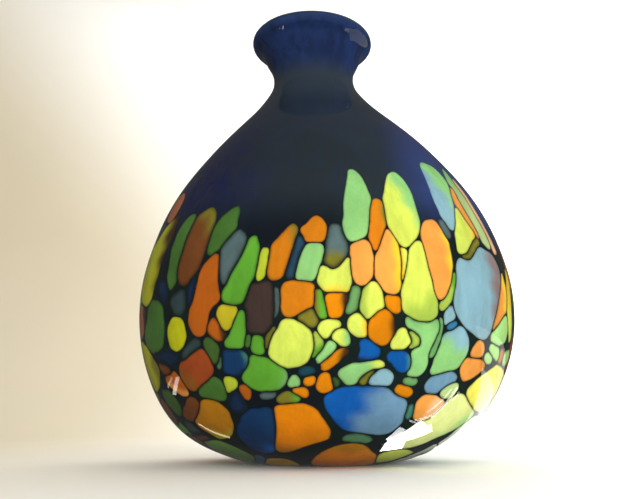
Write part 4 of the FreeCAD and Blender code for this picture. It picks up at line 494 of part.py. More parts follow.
        [(-126.68, 114.35), (-124.64, 114.02), (-123.04, 115.73), (-123.21, 118.98), (-123.31, 122.27), (-123.58, 125.52), (-123.8, 128.78), (-123.94, 132.06), (-124.34, 135.29), (-125.26, 138.23), (-126.19, 141.18), (-127.6, 140.72), (-128.45, 137.72), (-129.23, 134.67), (-129.79, 131.5), (-130.14, 128.27), (-130.17, 125.02), (-129.97, 121.75), (-129.59, 118.52), (-128.55, 115.78)],
        [(-121.43, 116.6), (-119.35, 116.95), (-117.29, 117.44), (-116.09, 119.82), (-115.77, 123.08), (-115.49, 126.35), (-115.81, 129.6), (-116.35, 132.79), (-117.04, 135.91), (-117.73, 139.03), (-118.52, 142.08), (-119.75, 144.15), (-120.59, 141.17), (-121.38, 138.12), (-122.6, 135.45), (-123.06, 132.45), (-122.92, 129.16), (-122.72, 125.88), (-122.44, 122.62), (-122.33, 119.32)],
        [(-111.09, 108.05), (-109.68, 110.2), (-108.7, 113.16), (-107.61, 116.02), (-106.28, 118.59), (-105.58, 121.61), (-105.58, 124.95), (-105.58, 128.29), (-106.62, 130.85), (-108.39, 132.64), (-109.94, 134.89), (-111.42, 134.2), (-112.07, 131.03), (-112.95, 128), (-114.37, 125.53), (-114.93, 122.33), (-115.24, 119.03), (-114.6, 116), (-113.37, 113.29), (-112.54, 110.22)],
        [(-100.43, 116.15), (-98.8, 116.05), (-97.89, 118.24), (-97.52, 120.84), (-97.48, 123.52), (-97.48, 126.19), (-97.71, 128.83), (-98.4, 131.28), (-99.17, 133.65), (-100.03, 135.95), (-101.4, 137.24), (-102.65, 135.47), (-103.66, 133.34), (-104.55, 131.07), (-104.72, 128.43), (-104.72, 125.75), (-104.72, 123.08), (-104.6, 120.42), (-103.45, 118.55), (-101.96, 117.28)],
        [(-82.75, 114.8), (-81.03, 114.59), (-79.28, 114.84), (-78.07, 116.44), (-78.27, 119.2), (-78.32, 121.98), (-78.62, 124.72), (-79.04, 127.42), (-79.58, 130.07), (-80.53, 132.41), (-81.71, 134.44), (-83.28, 133.84), (-84.29, 131.58), (-85.09, 129.1), (-85.98, 126.7), (-86.87, 124.3), (-87.19, 121.59), (-87.13, 118.81), (-86.02, 116.81), (-84.41, 115.71)],
        [(68.39, 127.85), (70.27, 131.08), (72.07, 134.67), (73.92, 138.2), (76.16, 141.12), (76.81, 145.47), (77.22, 149.92), (77.07, 154.39), (76.66, 158.84), (76.03, 163.24), (75.21, 167.55), (73.13, 166.15), (71.54, 162.34), (70.14, 158.37), (68.95, 154.25), (68.01, 149.98), (67.49, 145.56), (67.33, 141.08), (67.33, 136.58), (67.56, 132.11)],
    ],
    "chips_royal_blue_lower": [
        [(-27.95, 40.55), (-24.61, 40.96), (-22.42, 43.84), (-20.89, 47.33), (-19.61, 50.96), (-18.47, 54.64), (-17.55, 58.4), (-17, 62.23), (-16.69, 66.1), (-17.15, 69.84), (-20.44, 70.1), (-23.72, 69.04), (-26.35, 66.54), (-28.56, 63.56), (-30.46, 60.38), (-32.05, 56.92), (-33.09, 53.25), (-33.41, 49.46), (-33.04, 45.6), (-30.86, 42.61)],
        [(-49.78, 24.35), (-46.07, 24.68), (-42.95, 26.29), (-39.9, 27.97), (-37.18, 29.9), (-35.63, 32.44), (-34.21, 35.02), (-35.26, 36.85), (-38.02, 34.95), (-40.32, 32.72), (-42.61, 30.49), (-45.28, 28.5), (-48.07, 26.6)],
        [(20.02, 56.3), (23.19, 57.82), (24.76, 61.99), (24.85, 66.45), (24.41, 71.03), (22.49, 74.46), (19.14, 75.99), (16.29, 78.78), (12.78, 79.43), (9.29, 79.43), (5.74, 79.12), (2.33, 77.91), (-0.29, 74.97), (-0.11, 70.69), (1.67, 66.69), (3.65, 62.82), (6.09, 59.71), (9.57, 58.82), (13.07, 58.13), (16.57, 57.31)],
        [(148.99, 22.55), (154.6, 22.3), (160.24, 22.34), (165.83, 22.84), (171.39, 23.57), (175.84, 26.13), (178.66, 29.96), (178.97, 34.48), (178.97, 39.02), (177.07, 42.88), (171.75, 44.41), (166.56, 46.17), (161.23, 47.04), (155.67, 46.39), (150.17, 45.55), (146.79, 41.94), (142.72, 38.81), (142.38, 34.67), (143.64, 30.25), (145.39, 25.95)],
        [(176.6, 44.6), (179.12, 45.73), (179.17, 49.58), (179.17, 53.43), (179.17, 57.27), (179.17, 61.12), (179.17, 64.97), (179.17, 68.81), (177.85, 71.62), (174.77, 70.26), (171.59, 69.25), (168.52, 68.15), (167.2, 64.63), (166.08, 61.01), (165.4, 57.25), (164.94, 53.45), (164.48, 49.64), (167.07, 47.63), (170.22, 46.52), (173.4, 45.51)],
        [(-136.89, 41.9), (-134.24, 44.05), (-132.53, 47.45), (-131.46, 51.18), (-131.11, 55.09), (-131.74, 58.87), (-133.38, 62.33), (-135, 65.79), (-137.36, 68.54), (-140.28, 70.54), (-143.3, 72.35), (-145.66, 69.93), (-147.87, 66.94), (-148.87, 63.35), (-148.58, 59.43), (-147.69, 55.63), (-146.47, 51.95), (-144.95, 48.43), (-142.88, 45.31), (-140.12, 43.03)],
        [(87.83, 61.25), (89.41, 61.14), (90.55, 62.69), (90.93, 64.71), (90.16, 66.56), (88.72, 67.59), (87.23, 66.83), (86.56, 64.91), (86.74, 62.83)],
    ],
    "chips_royal_blue_middle": [
        [(32.21, 104.45), (33, 104.18), (33.86, 104.36), (34.63, 104.97), (35.24, 105.92), (34.91, 106.83), (34.04, 106.88), (33.26, 106.37), (32.54, 105.66)],
        [(8.04, 90.5), (9.68, 90.76), (11.35, 91.23), (12.73, 92.4), (12.74, 94.85), (11.53, 96.53), (10.06, 97.86), (8.42, 98.17), (8.28, 95.62), (8.28, 93.02)],
        [(20.01, 86.45), (21.71, 87.04), (22.32, 89.49), (21.62, 91.98), (20.06, 93.39), (18.26, 93.83), (16.42, 93.65), (15.78, 91.65), (17.13, 89.84), (18.44, 87.88)],
        [(-27.69, 85.55), (-25.95, 85.37), (-24.27, 85.95), (-22.89, 87.53), (-21.97, 89.74), (-21.69, 92.2), (-22.92, 93.96), (-24.57, 94.73), (-26.33, 94.73), (-28.04, 94.44), (-28.87, 92.16), (-29.2, 89.6), (-29.13, 86.99)],
        [(-51.09, 90.5), (-49.31, 90.58), (-47.62, 91.6), (-46.09, 93), (-46.03, 94.88), (-47.63, 96.08), (-49.41, 96.53), (-51.19, 96.98), (-53.02, 96.98), (-54.86, 96.98), (-56.66, 96.58), (-58.48, 96.35), (-57.85, 93.84), (-56.32, 92.69), (-54.51, 92.32), (-52.81, 91.35)],
        [(-28.58, 68.45), (-26.81, 68.98), (-25.19, 70.31), (-25.08, 72.87), (-25.41, 75.38), (-26.64, 77.15), (-28.25, 76.63), (-29.52, 74.71), (-30.14, 72.31), (-30.04, 69.79)],
        [(-6.9, 84.65), (-5.96, 84.27), (-4.99, 84.52), (-4.06, 85), (-3.7, 86.18), (-4.44, 87.05), (-5.42, 87.08), (-6.39, 86.89), (-7.15, 86.03)],
        [(-124.21, 71.15), (-121.9, 71.58), (-119.96, 73.43), (-119.17, 76.26), (-120.29, 79.15), (-120.07, 82.45), (-118.35, 84.7), (-117.41, 87.18), (-118.91, 89.74), (-120.85, 91.63), (-123.04, 92.18), (-124.85, 90.04), (-126.63, 87.84), (-128.57, 85.97), (-130.77, 84.8), (-131.77, 81.86), (-131.51, 78.54), (-130.43, 75.6), (-128.55, 73.59), (-126.49, 71.98)],
        [(-97.43, 90.5), (-95.64, 90.07), (-93.85, 90.44), (-92.75, 92.56), (-92.4, 95.25), (-92.52, 97.93), (-94.11, 99.2), (-95.85, 99.98), (-97.57, 100.87), (-99.17, 102.17), (-100.83, 102.98), (-102.1, 101.08), (-102.62, 98.46), (-102.87, 95.72), (-102.59, 93.09), (-100.92, 92.01), (-99.17, 91.26)],
        [(-142.62, 101.75), (-141.39, 102.1), (-140.62, 103.68), (-140.69, 105.68), (-141.24, 107.5), (-142.43, 107.87), (-143.44, 106.63), (-143.92, 104.76), (-143.71, 102.81)],
        [(-100.8, 108.05), (-99.78, 108.11), (-99.01, 109.53), (-98.7, 111.32), (-98.81, 113.17), (-99.71, 114.11), (-100.71, 113.2), (-101.31, 111.6), (-101.29, 109.75)],
    ],
    "chips_royal_blue_upper": [
        [(-39.06, 114.8), (-37.87, 116.36), (-37.14, 118.91), (-36.76, 121.64), (-36.52, 124.39), (-37.9, 125.28), (-38.78, 122.81), (-39.35, 120.17), (-39.63, 117.45)],
        [(-49.25, 117.05), (-48.62, 119.1), (-48.48, 121.77), (-49.08, 124.26), (-50, 126.46), (-51.62, 127.15), (-53.17, 127.4), (-53.5, 124.78), (-53.06, 122.26), (-51.85, 120.35), (-50.73, 118.35)],
    ],
    "chips_yellow_lower": [
        [(-32.37, 17.6), (-28.27, 17.78), (-24.2, 18.67), (-20.08, 19.46), (-17.42, 21.35), (-17.14, 24.07), (-17.49, 26.78), (-18.63, 29.41), (-20.5, 31.86), (-24.16, 33.05), (-28.4, 32.73), (-32.25, 31.51), (-35.61, 29.83), (-38.27, 27.68), (-41.01, 25.57), (-43.57, 23.39), (-41.92, 21.12), (-39.41, 18.93), (-36.24, 17.8)],
        [(-141.03, 18.05), (-134.39, 17.8), (-127.69, 17.8), (-121, 17.8), (-114.31, 17.8), (-107.62, 17.8), (-100.93, 17.8), (-94.24, 17.81), (-91.45, 20.76), (-93.18, 25.01), (-96.2, 28.93), (-100.49, 32.29), (-105.81, 34.93), (-111.89, 36.75), (-118.46, 36.43), (-125, 35.54), (-130.63, 33.44), (-134.29, 29.76), (-137.75, 25.99), (-140.93, 22.12)],
        [(149.82, 47.75), (153.44, 47.74), (157.15, 47.86), (160.82, 48.48), (163.33, 51.24), (163.94, 55.69), (164.56, 60.14), (165.75, 64.4), (167.03, 68.63), (164.54, 71.42), (161.02, 72.86), (157.82, 75.11), (154.78, 73.35), (151.65, 70.98), (147.97, 70.69), (145.05, 69.32), (145.91, 64.94), (146.49, 60.48), (147.04, 56.02), (148.08, 51.7)],
    ],
    "chips_yellow_middle": [
        [(-27.08, 103.1), (-25.87, 104.59), (-25.11, 106.98), (-24.11, 109.06), (-23.49, 111.27), (-25, 112.28), (-26.66, 112.61), (-28.3, 112.06), (-29.17, 109.79), (-28.91, 107.34), (-28.25, 104.89)],
        [(60.05, 70.7), (63.83, 70.52), (67.61, 70.67), (71.29, 71.93), (75, 72.99), (74.97, 76.95), (73.82, 81.16), (75.52, 85.04), (73.88, 87.75), (70.22, 89.11), (66.47, 89.85), (62.73, 90.67), (58.97, 91.11), (55.48, 89.19), (52.17, 86.58), (49.05, 83.55), (46.72, 79.55), (49.33, 75.82), (52.75, 73.56), (56.37, 71.95)],
        [(176.8, 102.2), (178.55, 102.03), (179.57, 103.96), (179.58, 106.74), (179.58, 109.53), (179.58, 112.31), (179.07, 114.83), (177.41, 115.8), (176.03, 114.48), (174.76, 112.55), (174.89, 109.85), (175.28, 107.14), (175.9, 104.54)],
    ],
    "chips_yellow_upper": [
        [(65.21, 103.1), (67.09, 104.58), (67.34, 107.98), (67.19, 111.53), (66.53, 114.94), (66.18, 118.46), (66.14, 122.03), (66.24, 125.57), (66.35, 129.1), (66.26, 132.62), (65.39, 135.75), (63.9, 133.19), (63.05, 129.89), (62.41, 126.47), (62.02, 122.96), (61.67, 119.43), (61.48, 115.9), (62.02, 112.44), (63.05, 109.27), (64.03, 106.07)],
    ],
}

def patch(surface, pts):
    """The piece of a skin that lies under one outline."""
    us = [p.x for p in pts]
    vs = [p.y for p in pts]
    s = surface.copy()
    s.segment(max(0.0, min(us) - 0.05), min(float(NU), max(us) + 0.05),
              min(vs) - 0.05, max(vs) + 0.05)
    return s


pocket_wires, pocket_faces = [], []
for node in sorted(CHIPS):
    solids = []
    for k, outline in enumerate(CHIPS[node]):
        pts = [Base.Vector2d((a + 180.0) / (360.0 / NU), s / V_SCALE)
               for a, s in outline]
        c2 = Part.Geom2d.BSplineCurve2d()
        c2.interpolate(Points=pts, PeriodicFlag=True)
        e_top = c2.toShape(patch(S_CO, pts))
        e_bot = c2.toShape(patch(S_CHIP, pts))
        solids.append(solid([Part.Face(Part.Wire([e_top])),
                             Part.makeRuledSurface(e_top, e_bot),
                             Part.Face(Part.Wire([e_bot]))],
                            "%s %d" % (node, k)))
        e_skin = c2.toShape(S_CO)
        pocket_wires.append(Part.Wire([e_skin]))
        pocket_faces += [Part.makeRuledSurface(e_skin, e_bot),
                         Part.Face(Part.Wire([e_bot]))]
    Part.makeCompound(solids).exportStep("parts/%s.step" % node)

# -------------------------------------------------------------- cobalt bubble
co_face = Part.Face(S_CO, pocket_wires)
co_face.validate()
in_face = S_IN.toShape()
co_lo, co_hi = ring_edges(co_face)
in_lo, in_hi = ring_edges(in_face)
bubble = solid([co_face, in_face,
                Part.Face(Part.Wire([co_lo])), Part.Face(Part.Wire([in_lo])),
                Part.makeRuledSurface(co_hi, in_hi)] + pocket_faces,
               "cobalt_bubble")
bubble.exportStep("parts/cobalt_bubble.step")

# --------------------------------------------------------------- clear casing
out_face = S_OUT.toShape()
skin_face = S_CO.toShape()
out_lo, out_hi = ring_edges(out_face)
sk_lo, sk_hi = ring_edges(skin_face)
x0 = lean(0.0)
foot_in = Part.makeCircle(RECESS_R, Vector(x0, 0, 0))
dish = Part.makeCircle(RECESS_FLOOR_R, Vector(x0, 0, RECESS_D))
foot = Part.Face([Part.Wire([out_lo]), Part.Wire([foot_in])])
foot.validate()
casing = solid([out_face, skin_face, foot,
                Part.makeRuledSurface(foot_in, dish),
                Part.Face(Part.Wire([dish])), Part.Face(Part.Wire([sk_lo])),
                Part.makeRuledSurface(out_hi, sk_hi)], "clear_casing")
casing.exportStep("parts/clear_casing.step")
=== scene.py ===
import math
import random
import bpy
import numpy as np
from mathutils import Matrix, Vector
from mathutils.geometry import delaunay_2d_cdt


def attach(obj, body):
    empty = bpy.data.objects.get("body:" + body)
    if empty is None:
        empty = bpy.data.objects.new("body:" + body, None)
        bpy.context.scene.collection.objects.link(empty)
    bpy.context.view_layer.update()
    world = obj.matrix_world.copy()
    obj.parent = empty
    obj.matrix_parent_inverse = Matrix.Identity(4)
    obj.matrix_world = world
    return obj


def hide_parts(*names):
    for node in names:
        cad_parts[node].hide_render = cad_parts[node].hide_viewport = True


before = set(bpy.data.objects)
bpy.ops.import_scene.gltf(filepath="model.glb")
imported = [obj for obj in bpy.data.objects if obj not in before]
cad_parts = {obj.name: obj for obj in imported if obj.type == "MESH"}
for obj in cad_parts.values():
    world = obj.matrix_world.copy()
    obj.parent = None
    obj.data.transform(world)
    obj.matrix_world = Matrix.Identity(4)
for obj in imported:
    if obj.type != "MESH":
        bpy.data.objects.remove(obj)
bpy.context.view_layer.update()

MM = 0.001

# ------------------------------------------------------------------ dimensions
OUTER = [(31.2, 0.0), (38.2, 1.0), (44.9, 3.0), (57.7, 8.0), (69.1, 15.0),
         (78.4, 25.0), (85.7, 38.0), (90.5, 52.0), (92.8, 68.0), (92.0, 85.0),
         (88.5, 100.0), (83.1, 115.0), (75.2, 130.0), (64.6, 145.0),
         (53.9, 158.0), (42.6, 170.0), (33.2, 180.0), (27.0, 188.0),
         (23.0, 195.0), (21.8, 201.0), (22.7, 207.0), (25.6, 213.0),
         (29.1, 219.0)]
RIM_R, RIM_Z, RIM_A = 28.9, 223.5, 4.03
LEAN = [(0, -2.63), (17, -1.23), (34, -0.54), (52, -0.06), (69, 0.0),
        (86, -0.09), (104, -0.36), (121, -0.86), (138, -1.58), (155, -2.46),
        (173, -4.19), (190, -6.1), (207, -7.16), (223.5, -7.78), (228, -7.9)]
CASE_T = [(8, 2.3), (40, 2.2), (140, 2.0), (190, 1.4), (215, 1.2), (230, 1.2)]
RIM_CASE = 1.2
BUBBLE_FLOOR = [(12.0, 5.0), (20.0, 5.0), (28.0, 5.05), (36.0, 5.3),
                (43.6, 6.4), (50.2, 8.1)]
BUBBLE_T = [(0, 3.4), (60, 3.0), (150, 2.8), (240, 2.5), (262, 2.4), (290, 3.6)]


def spline(ts, ys):
    n = len(ts)
    h = [ts[i + 1] - ts[i] for i in range(n - 1)]
    a, b, c, d = [0.0] * n, [1.0] * n, [0.0] * n, [0.0] * n
    for i in range(1, n - 1):
        a[i], b[i], c[i] = h[i - 1], 2 * (h[i - 1] + h[i]), h[i]
        d[i] = 6 * ((ys[i + 1] - ys[i]) / h[i] - (ys[i] - ys[i - 1]) / h[i - 1])
    for i in range(1, n):
        w = a[i] / b[i - 1]
        b[i] -= w * c[i - 1]
        d[i] -= w * d[i - 1]
    m = [0.0] * n
    m[-1] = d[-1] / b[-1]
    for i in range(n - 2, -1, -1):
        m[i] = (d[i] - c[i] * m[i + 1]) / b[i]

    def f(t):
        k = 0
        while k < n - 2 and t > ts[k + 1]:
            k += 1
        x, H = t - ts[k], h[k]
        y = H - x
        return ((m[k] * y ** 3 + m[k + 1] * x ** 3) / (6 * H)
                + (ys[k] / H - m[k] * H / 6) * y
                + (ys[k + 1] / H - m[k + 1] * H / 6) * x)
    return f


def densify(pts, dense=24):
    ts = [0.0]
    for i in range(1, len(pts)):
        ts.append(ts[-1] + math.dist(pts[i], pts[i - 1]))
    fr = spline(ts, [p[0] for p in pts])
    fz = spline(ts, [p[1] for p in pts])
    n = (len(pts) - 1) * dense
    q = np.array([(fr(ts[-1] * i / n), fz(ts[-1] * i / n)) for i in range(n + 1)])
    s = np.r_[0, np.cumsum(np.hypot(*np.diff(q, axis=0).T))]
    return q, s


def rim_arc(rad, a0, a1, n):
    return [(RIM_R + rad * math.cos(math.radians(a0 + (a1 - a0) * i / n)),
             RIM_Z + rad * math.sin(math.radians(a0 + (a1 - a0) * i / n)))
            for i in range(n + 1)]


def tab(t, x):
    return np.interp(x, [p[0] for p in t], [p[1] for p in t])


def at(q, s, x):
    return np.stack([np.interp(x, s, q[:, 0]), np.interp(x, s, q[:, 1])], -1)


def inward(q, s, x, e=0.6):
    a = at(q, s, np.clip(x - e, 0, s[-1]))
    b = at(q, s, np.clip(x + e, 0, s[-1]))
    d = b - a
    d /= np.linalg.norm(d, axis=-1, keepdims=True)
    return np.stack([-d[..., 1], d[..., 0]], -1)


_lean = spline([p[0] for p in LEAN], [p[1] for p in LEAN])
_LZ = np.linspace(0, 228, 457)
_LX = np.array([_lean(z) for z in _LZ])


def lean(z):
    return np.interp(z, _LZ, _LX)


out_q, out_s = densify(OUTER + rim_arc(RIM_A, -20, 90, 6))
fine_n = int(round(out_s[-1] / 2.0))
_p = []
for i in range(fine_n + 1):
    x = out_s[-1] * i / fine_n
    r, z = at(out_q, out_s, x)
    if 8.5 < z < 221.0:
        n = inward(out_q, out_s, x, out_s[-1] / fine_n)
        t = float(tab(CASE_T, z))
        _p.append((r + n[0] * t, z + n[1] * t))
co_q, co_s = densify(BUBBLE_FLOOR + [p for p in _p[::3] if p[1] < 220.3]
                     + rim_arc(RIM_A - RIM_CASE, -20, 90, 5))
LEN = co_s[-1]
_st = np.arange(0, LEN, 6.0)
_rz = at(co_q, co_s, _st)
_n = inward(co_q, co_s, _st)
_in = [(12.0, 8.4)]
for x, p, n in list(zip(_st, _rz, _n))[1:]:
    if p[1] > 214.0:
        continue
    _in.append(tuple(p + n * tab(BUBBLE_T, x)))
in_q, in_s = densify(_in + rim_arc(RIM_A, 195, 90, 6))


def skin(deg, s, off):
    """Points on the skin of the cobalt bubble, off mm outside it, in metres."""
    p = at(co_q, co_s, s)
    n = inward(co_q, co_s, s)
    z0 = p[..., 1]
    p = p - n * np.asarray(off)[..., None]
    a = np.radians(deg)
    return np.stack([(lean(z0) + p[..., 0] * np.sin(a)) * MM,
                     -p[..., 0] * np.cos(a) * MM, p[..., 1] * MM], -1)


def link(name, verts, faces, mats=(), face_mat=None, sharp=None):
    me = bpy.data.meshes.new(name)
    me.from_pydata([tuple(v) for v in verts], [], faces)
    me.update()
    for m in mats:
        me.materials.append(m)
    if face_mat is not None:
        me.polygons.foreach_set("material_index", face_mat)
    me.polygons.foreach_set("use_smooth", [True] * len(me.polygons))
    o = bpy.data.objects.new(name, me)
    bpy.context.scene.collection.objects.link(o)
    return o


def turned(name, rz, seg, mats, band_mat=None, sharp_rows=()):
    """A closed turned shape about the wandering axis. rz runs from axis to axis."""
    rz = [tuple(map(float, p)) for p in rz]
    verts, rows = [], []
    for r, z in rz:
        cx = float(lean(min(max(z, 0), 228)))
        if r < 1e-6:
            rows.append([len(verts)])
            verts.append((cx * MM, 0, z * MM))
        else:
            rows.append(list(range(len(verts), len(verts) + seg)))
            for k in range(seg):
                a = 2 * math.pi * k / seg
                verts.append(((cx + r * math.sin(a)) * MM, -r * math.cos(a) * MM, z * MM))
    faces, fm = [], []
    for i in range(len(rows) - 1):
        a, b = rows[i], rows[i + 1]
        for k in range(seg):
            j = (k + 1) % seg
            if len(a) == 1:
                faces.append((a[0], b[j], b[k]))
            elif len(b) == 1:
                faces.append((a[k], a[j], b[0]))
            else:
                faces.append((a[k], a[j], b[j], b[k]))
            fm.append(0 if band_mat is None else band_mat[i])
    o = link(name, verts, faces, mats, fm)
    me = o.data
    if sharp_rows:
        rowof = {}
        for ri in sharp_rows:
            for v in rows[ri]:
                rowof[v] = ri
        for e in me.edges:
            a, b = e.vertices
            if a in rowof and rowof.get(b) == rowof[a]:
                e.use_edge_sharp = True
    return o


# ------------------------------------------------------------------- materials
def new_mat(name):
    m = bpy.data.materials.new(name)
    m.use_nodes = True
    nt = m.node_tree
    nt.nodes.clear()
    out = nt.nodes.new("ShaderNodeOutputMaterial")
    return m, nt, out


def node(nt, kind, **kw):
    n = nt.nodes.new(kind)
    for k, v in kw.items():
        if k in ("operation", "blend_type", "data_type", "interpolation_type",
                 "attribute_name", "feature", "noise_dimensions", "clamp"):
            setattr(n, k, v)
        else:
            n.inputs[k].default_value = v
    return n


def math_node(nt, op, a, b=None, clamp=False):
    n = nt.nodes.new("ShaderNodeMath")
    n.operation = op
    n.use_clamp = clamp
    for i, v in enumerate((a, b)):
        if v is None:
            continue
        if isinstance(v, (int, float)):
            n.inputs[i].default_value = v
        else:
            nt.links.new(v, n.inputs[i])
    return n.outputs[0]


def map_range(nt, v, a, b, c, d, smooth=True):
    n = nt.nodes.new("ShaderNodeMapRange")
    n.interpolation_type = "SMOOTHSTEP" if smooth else "LINEAR"
    nt.links.new(v, n.inputs[0])
    for i, x in enumerate((a, b, c, d)):
        if isinstance(x, (int, float)):
            n.inputs[i + 1].default_value = x
        else:
            nt.links.new(x, n.inputs[i + 1])
    return n.outputs[0]


def mix_col(nt, fac, a, b, mode="MIX"):
    n = nt.nodes.new("ShaderNodeMix")
    n.data_type = "RGBA"
    n.blend_type = mode
    n.clamp_factor = True
    for sock, v in ((n.inputs[0], fac), (n.inputs[6], a), (n.inputs[7], b)):
        if isinstance(v, (int, float)):
            sock.default_value = v
        elif isinstance(v, (tuple, list)):
            sock.default_value = (*v[:3], 1.0)
        else:
            nt.links.new(v, sock)
    return n.outputs[2]


def noise(nt, vec, scale, detail=3.0, rough=0.5, dist=0.0):
    n = nt.nodes.new("ShaderNodeTexNoise")
    n.inputs["Scale"].default_value = scale
    n.inputs["Detail"].default_value = detail
    n.inputs["Roughness"].default_value = rough
    n.inputs["Distortion"].default_value = dist
    nt.links.new(vec, n.inputs["Vector"])
    return n.outputs[0]


def obj_coords(nt, scale=(1, 1, 1), loc=(0, 0, 0)):
    tc = nt.nodes.new("ShaderNodeTexCoord")
    mp = nt.nodes.new("ShaderNodeMapping")
    mp.inputs["Scale"].default_value = scale
    mp.inputs["Location"].default_value = loc
    nt.links.new(tc.outputs["Object"], mp.inputs["Vector"])
    return mp.outputs[0]


def chip_material(name, seed, cloud=0.16, streak=0.10, speck=0.5):
    m, nt, out = new_mat(name)
    L = nt.links
    col = nt.nodes.new("ShaderNodeAttribute")
    col.attribute_name = "chipcol"
    edge = nt.nodes.new("ShaderNodeAttribute")
    edge.attribute_name = "edge"
    soft = nt.nodes.new("ShaderNodeAttribute")
    soft.attribute_name = "soft"
    v = obj_coords(nt, loc=(seed * 0.37, seed * 0.11, seed * 0.73))
    c1 = noise(nt, v, 45.0, 3.0, 0.55, 0.4)
    vs = obj_coords(nt, scale=(1, 1, 0.28), loc=(seed * 0.21, 0.3, seed * 0.5))
    c2 = noise(nt, vs, 150.0, 4.0, 0.6, 1.2)
    c3 = noise(nt, v, 1400.0, 2.0, 0.6)
    tone = math_node(nt, "ADD", map_range(nt, c1, 0.3, 0.7, 1.0 - cloud, 1.0 + cloud * 0.5),
                     map_range(nt, c2, 0.3, 0.7, -streak, streak * 0.6))
    tone = math_node(nt, "ADD", tone, map_range(nt, c3, 0.35, 0.65, -0.025, 0.02))
    # seed bubbles and stones in the glass
    vo = nt.nodes.new("ShaderNodeTexVoronoi")
    vo.inputs["Scale"].default_value = 210.0
    L.new(v, vo.inputs["Vector"])
    spot = map_range(nt, vo.outputs["Distance"], 0.035, 0.075, 1.0, 0.0)
    gate = math_node(nt, "GREATER_THAN", noise(nt, v, 95.0, 1.0), 0.66)
    spot = math_node(nt, "MULTIPLY", math_node(nt, "MULTIPLY", spot, gate), speck)
    tone3 = nt.nodes.new("ShaderNodeCombineColor")
    for i in range(3):
        L.new(tone, tone3.inputs[i])
    c = mix_col(nt, 1.0, col.outputs["Color"], tone3.outputs[0], "MULTIPLY")
    deep = mix_col(nt, 1.0, c, (0.34, 0.27, 0.22), "MULTIPLY")
    c = mix_col(nt, spot, c, deep)
    # the outline of every chip sinks into the cobalt: wobbling, soft dark rim of cobalt at the very edge, and inside
    # it a wider brownish darkening that is partly the chip thinning over the cobalt and partly painted shade of the
    # chip's depth
    wob = map_range(nt, noise(nt, v, 420.0, 2.0), 0.3, 0.7, -0.12, 0.12, False)
    e = math_node(nt, "ADD", edge.outputs["Fac"], wob)
    w1 = math_node(nt, "MULTIPLY", math_node(nt, "SUBTRACT", soft.outputs["Fac"], 0.62), 0.62)
    f1 = map_range(nt, e, -0.16, w1, 0.0, 1.0)
    painted_rim_shade = map_range(nt, e, -0.2, soft.outputs["Fac"], 0.0, 1.0)
    # painted shade: a brownish darkening in a band just inside each chip's outline
    c = mix_col(nt, painted_rim_shade, mix_col(nt, 1.0, c, (0.40, 0.38, 0.30), "MULTIPLY"), c)
    c = mix_col(nt, f1, (0.012, 0.024, 0.028), c)
    b = nt.nodes.new("ShaderNodeBsdfPrincipled")
    b.inputs["Roughness"].default_value = 0.62
    b.inputs["Specular IOR Level"].default_value = 0.0
    L.new(c, b.inputs["Base Color"])
    L.new(b.outputs[0], out.inputs[0])
    return m


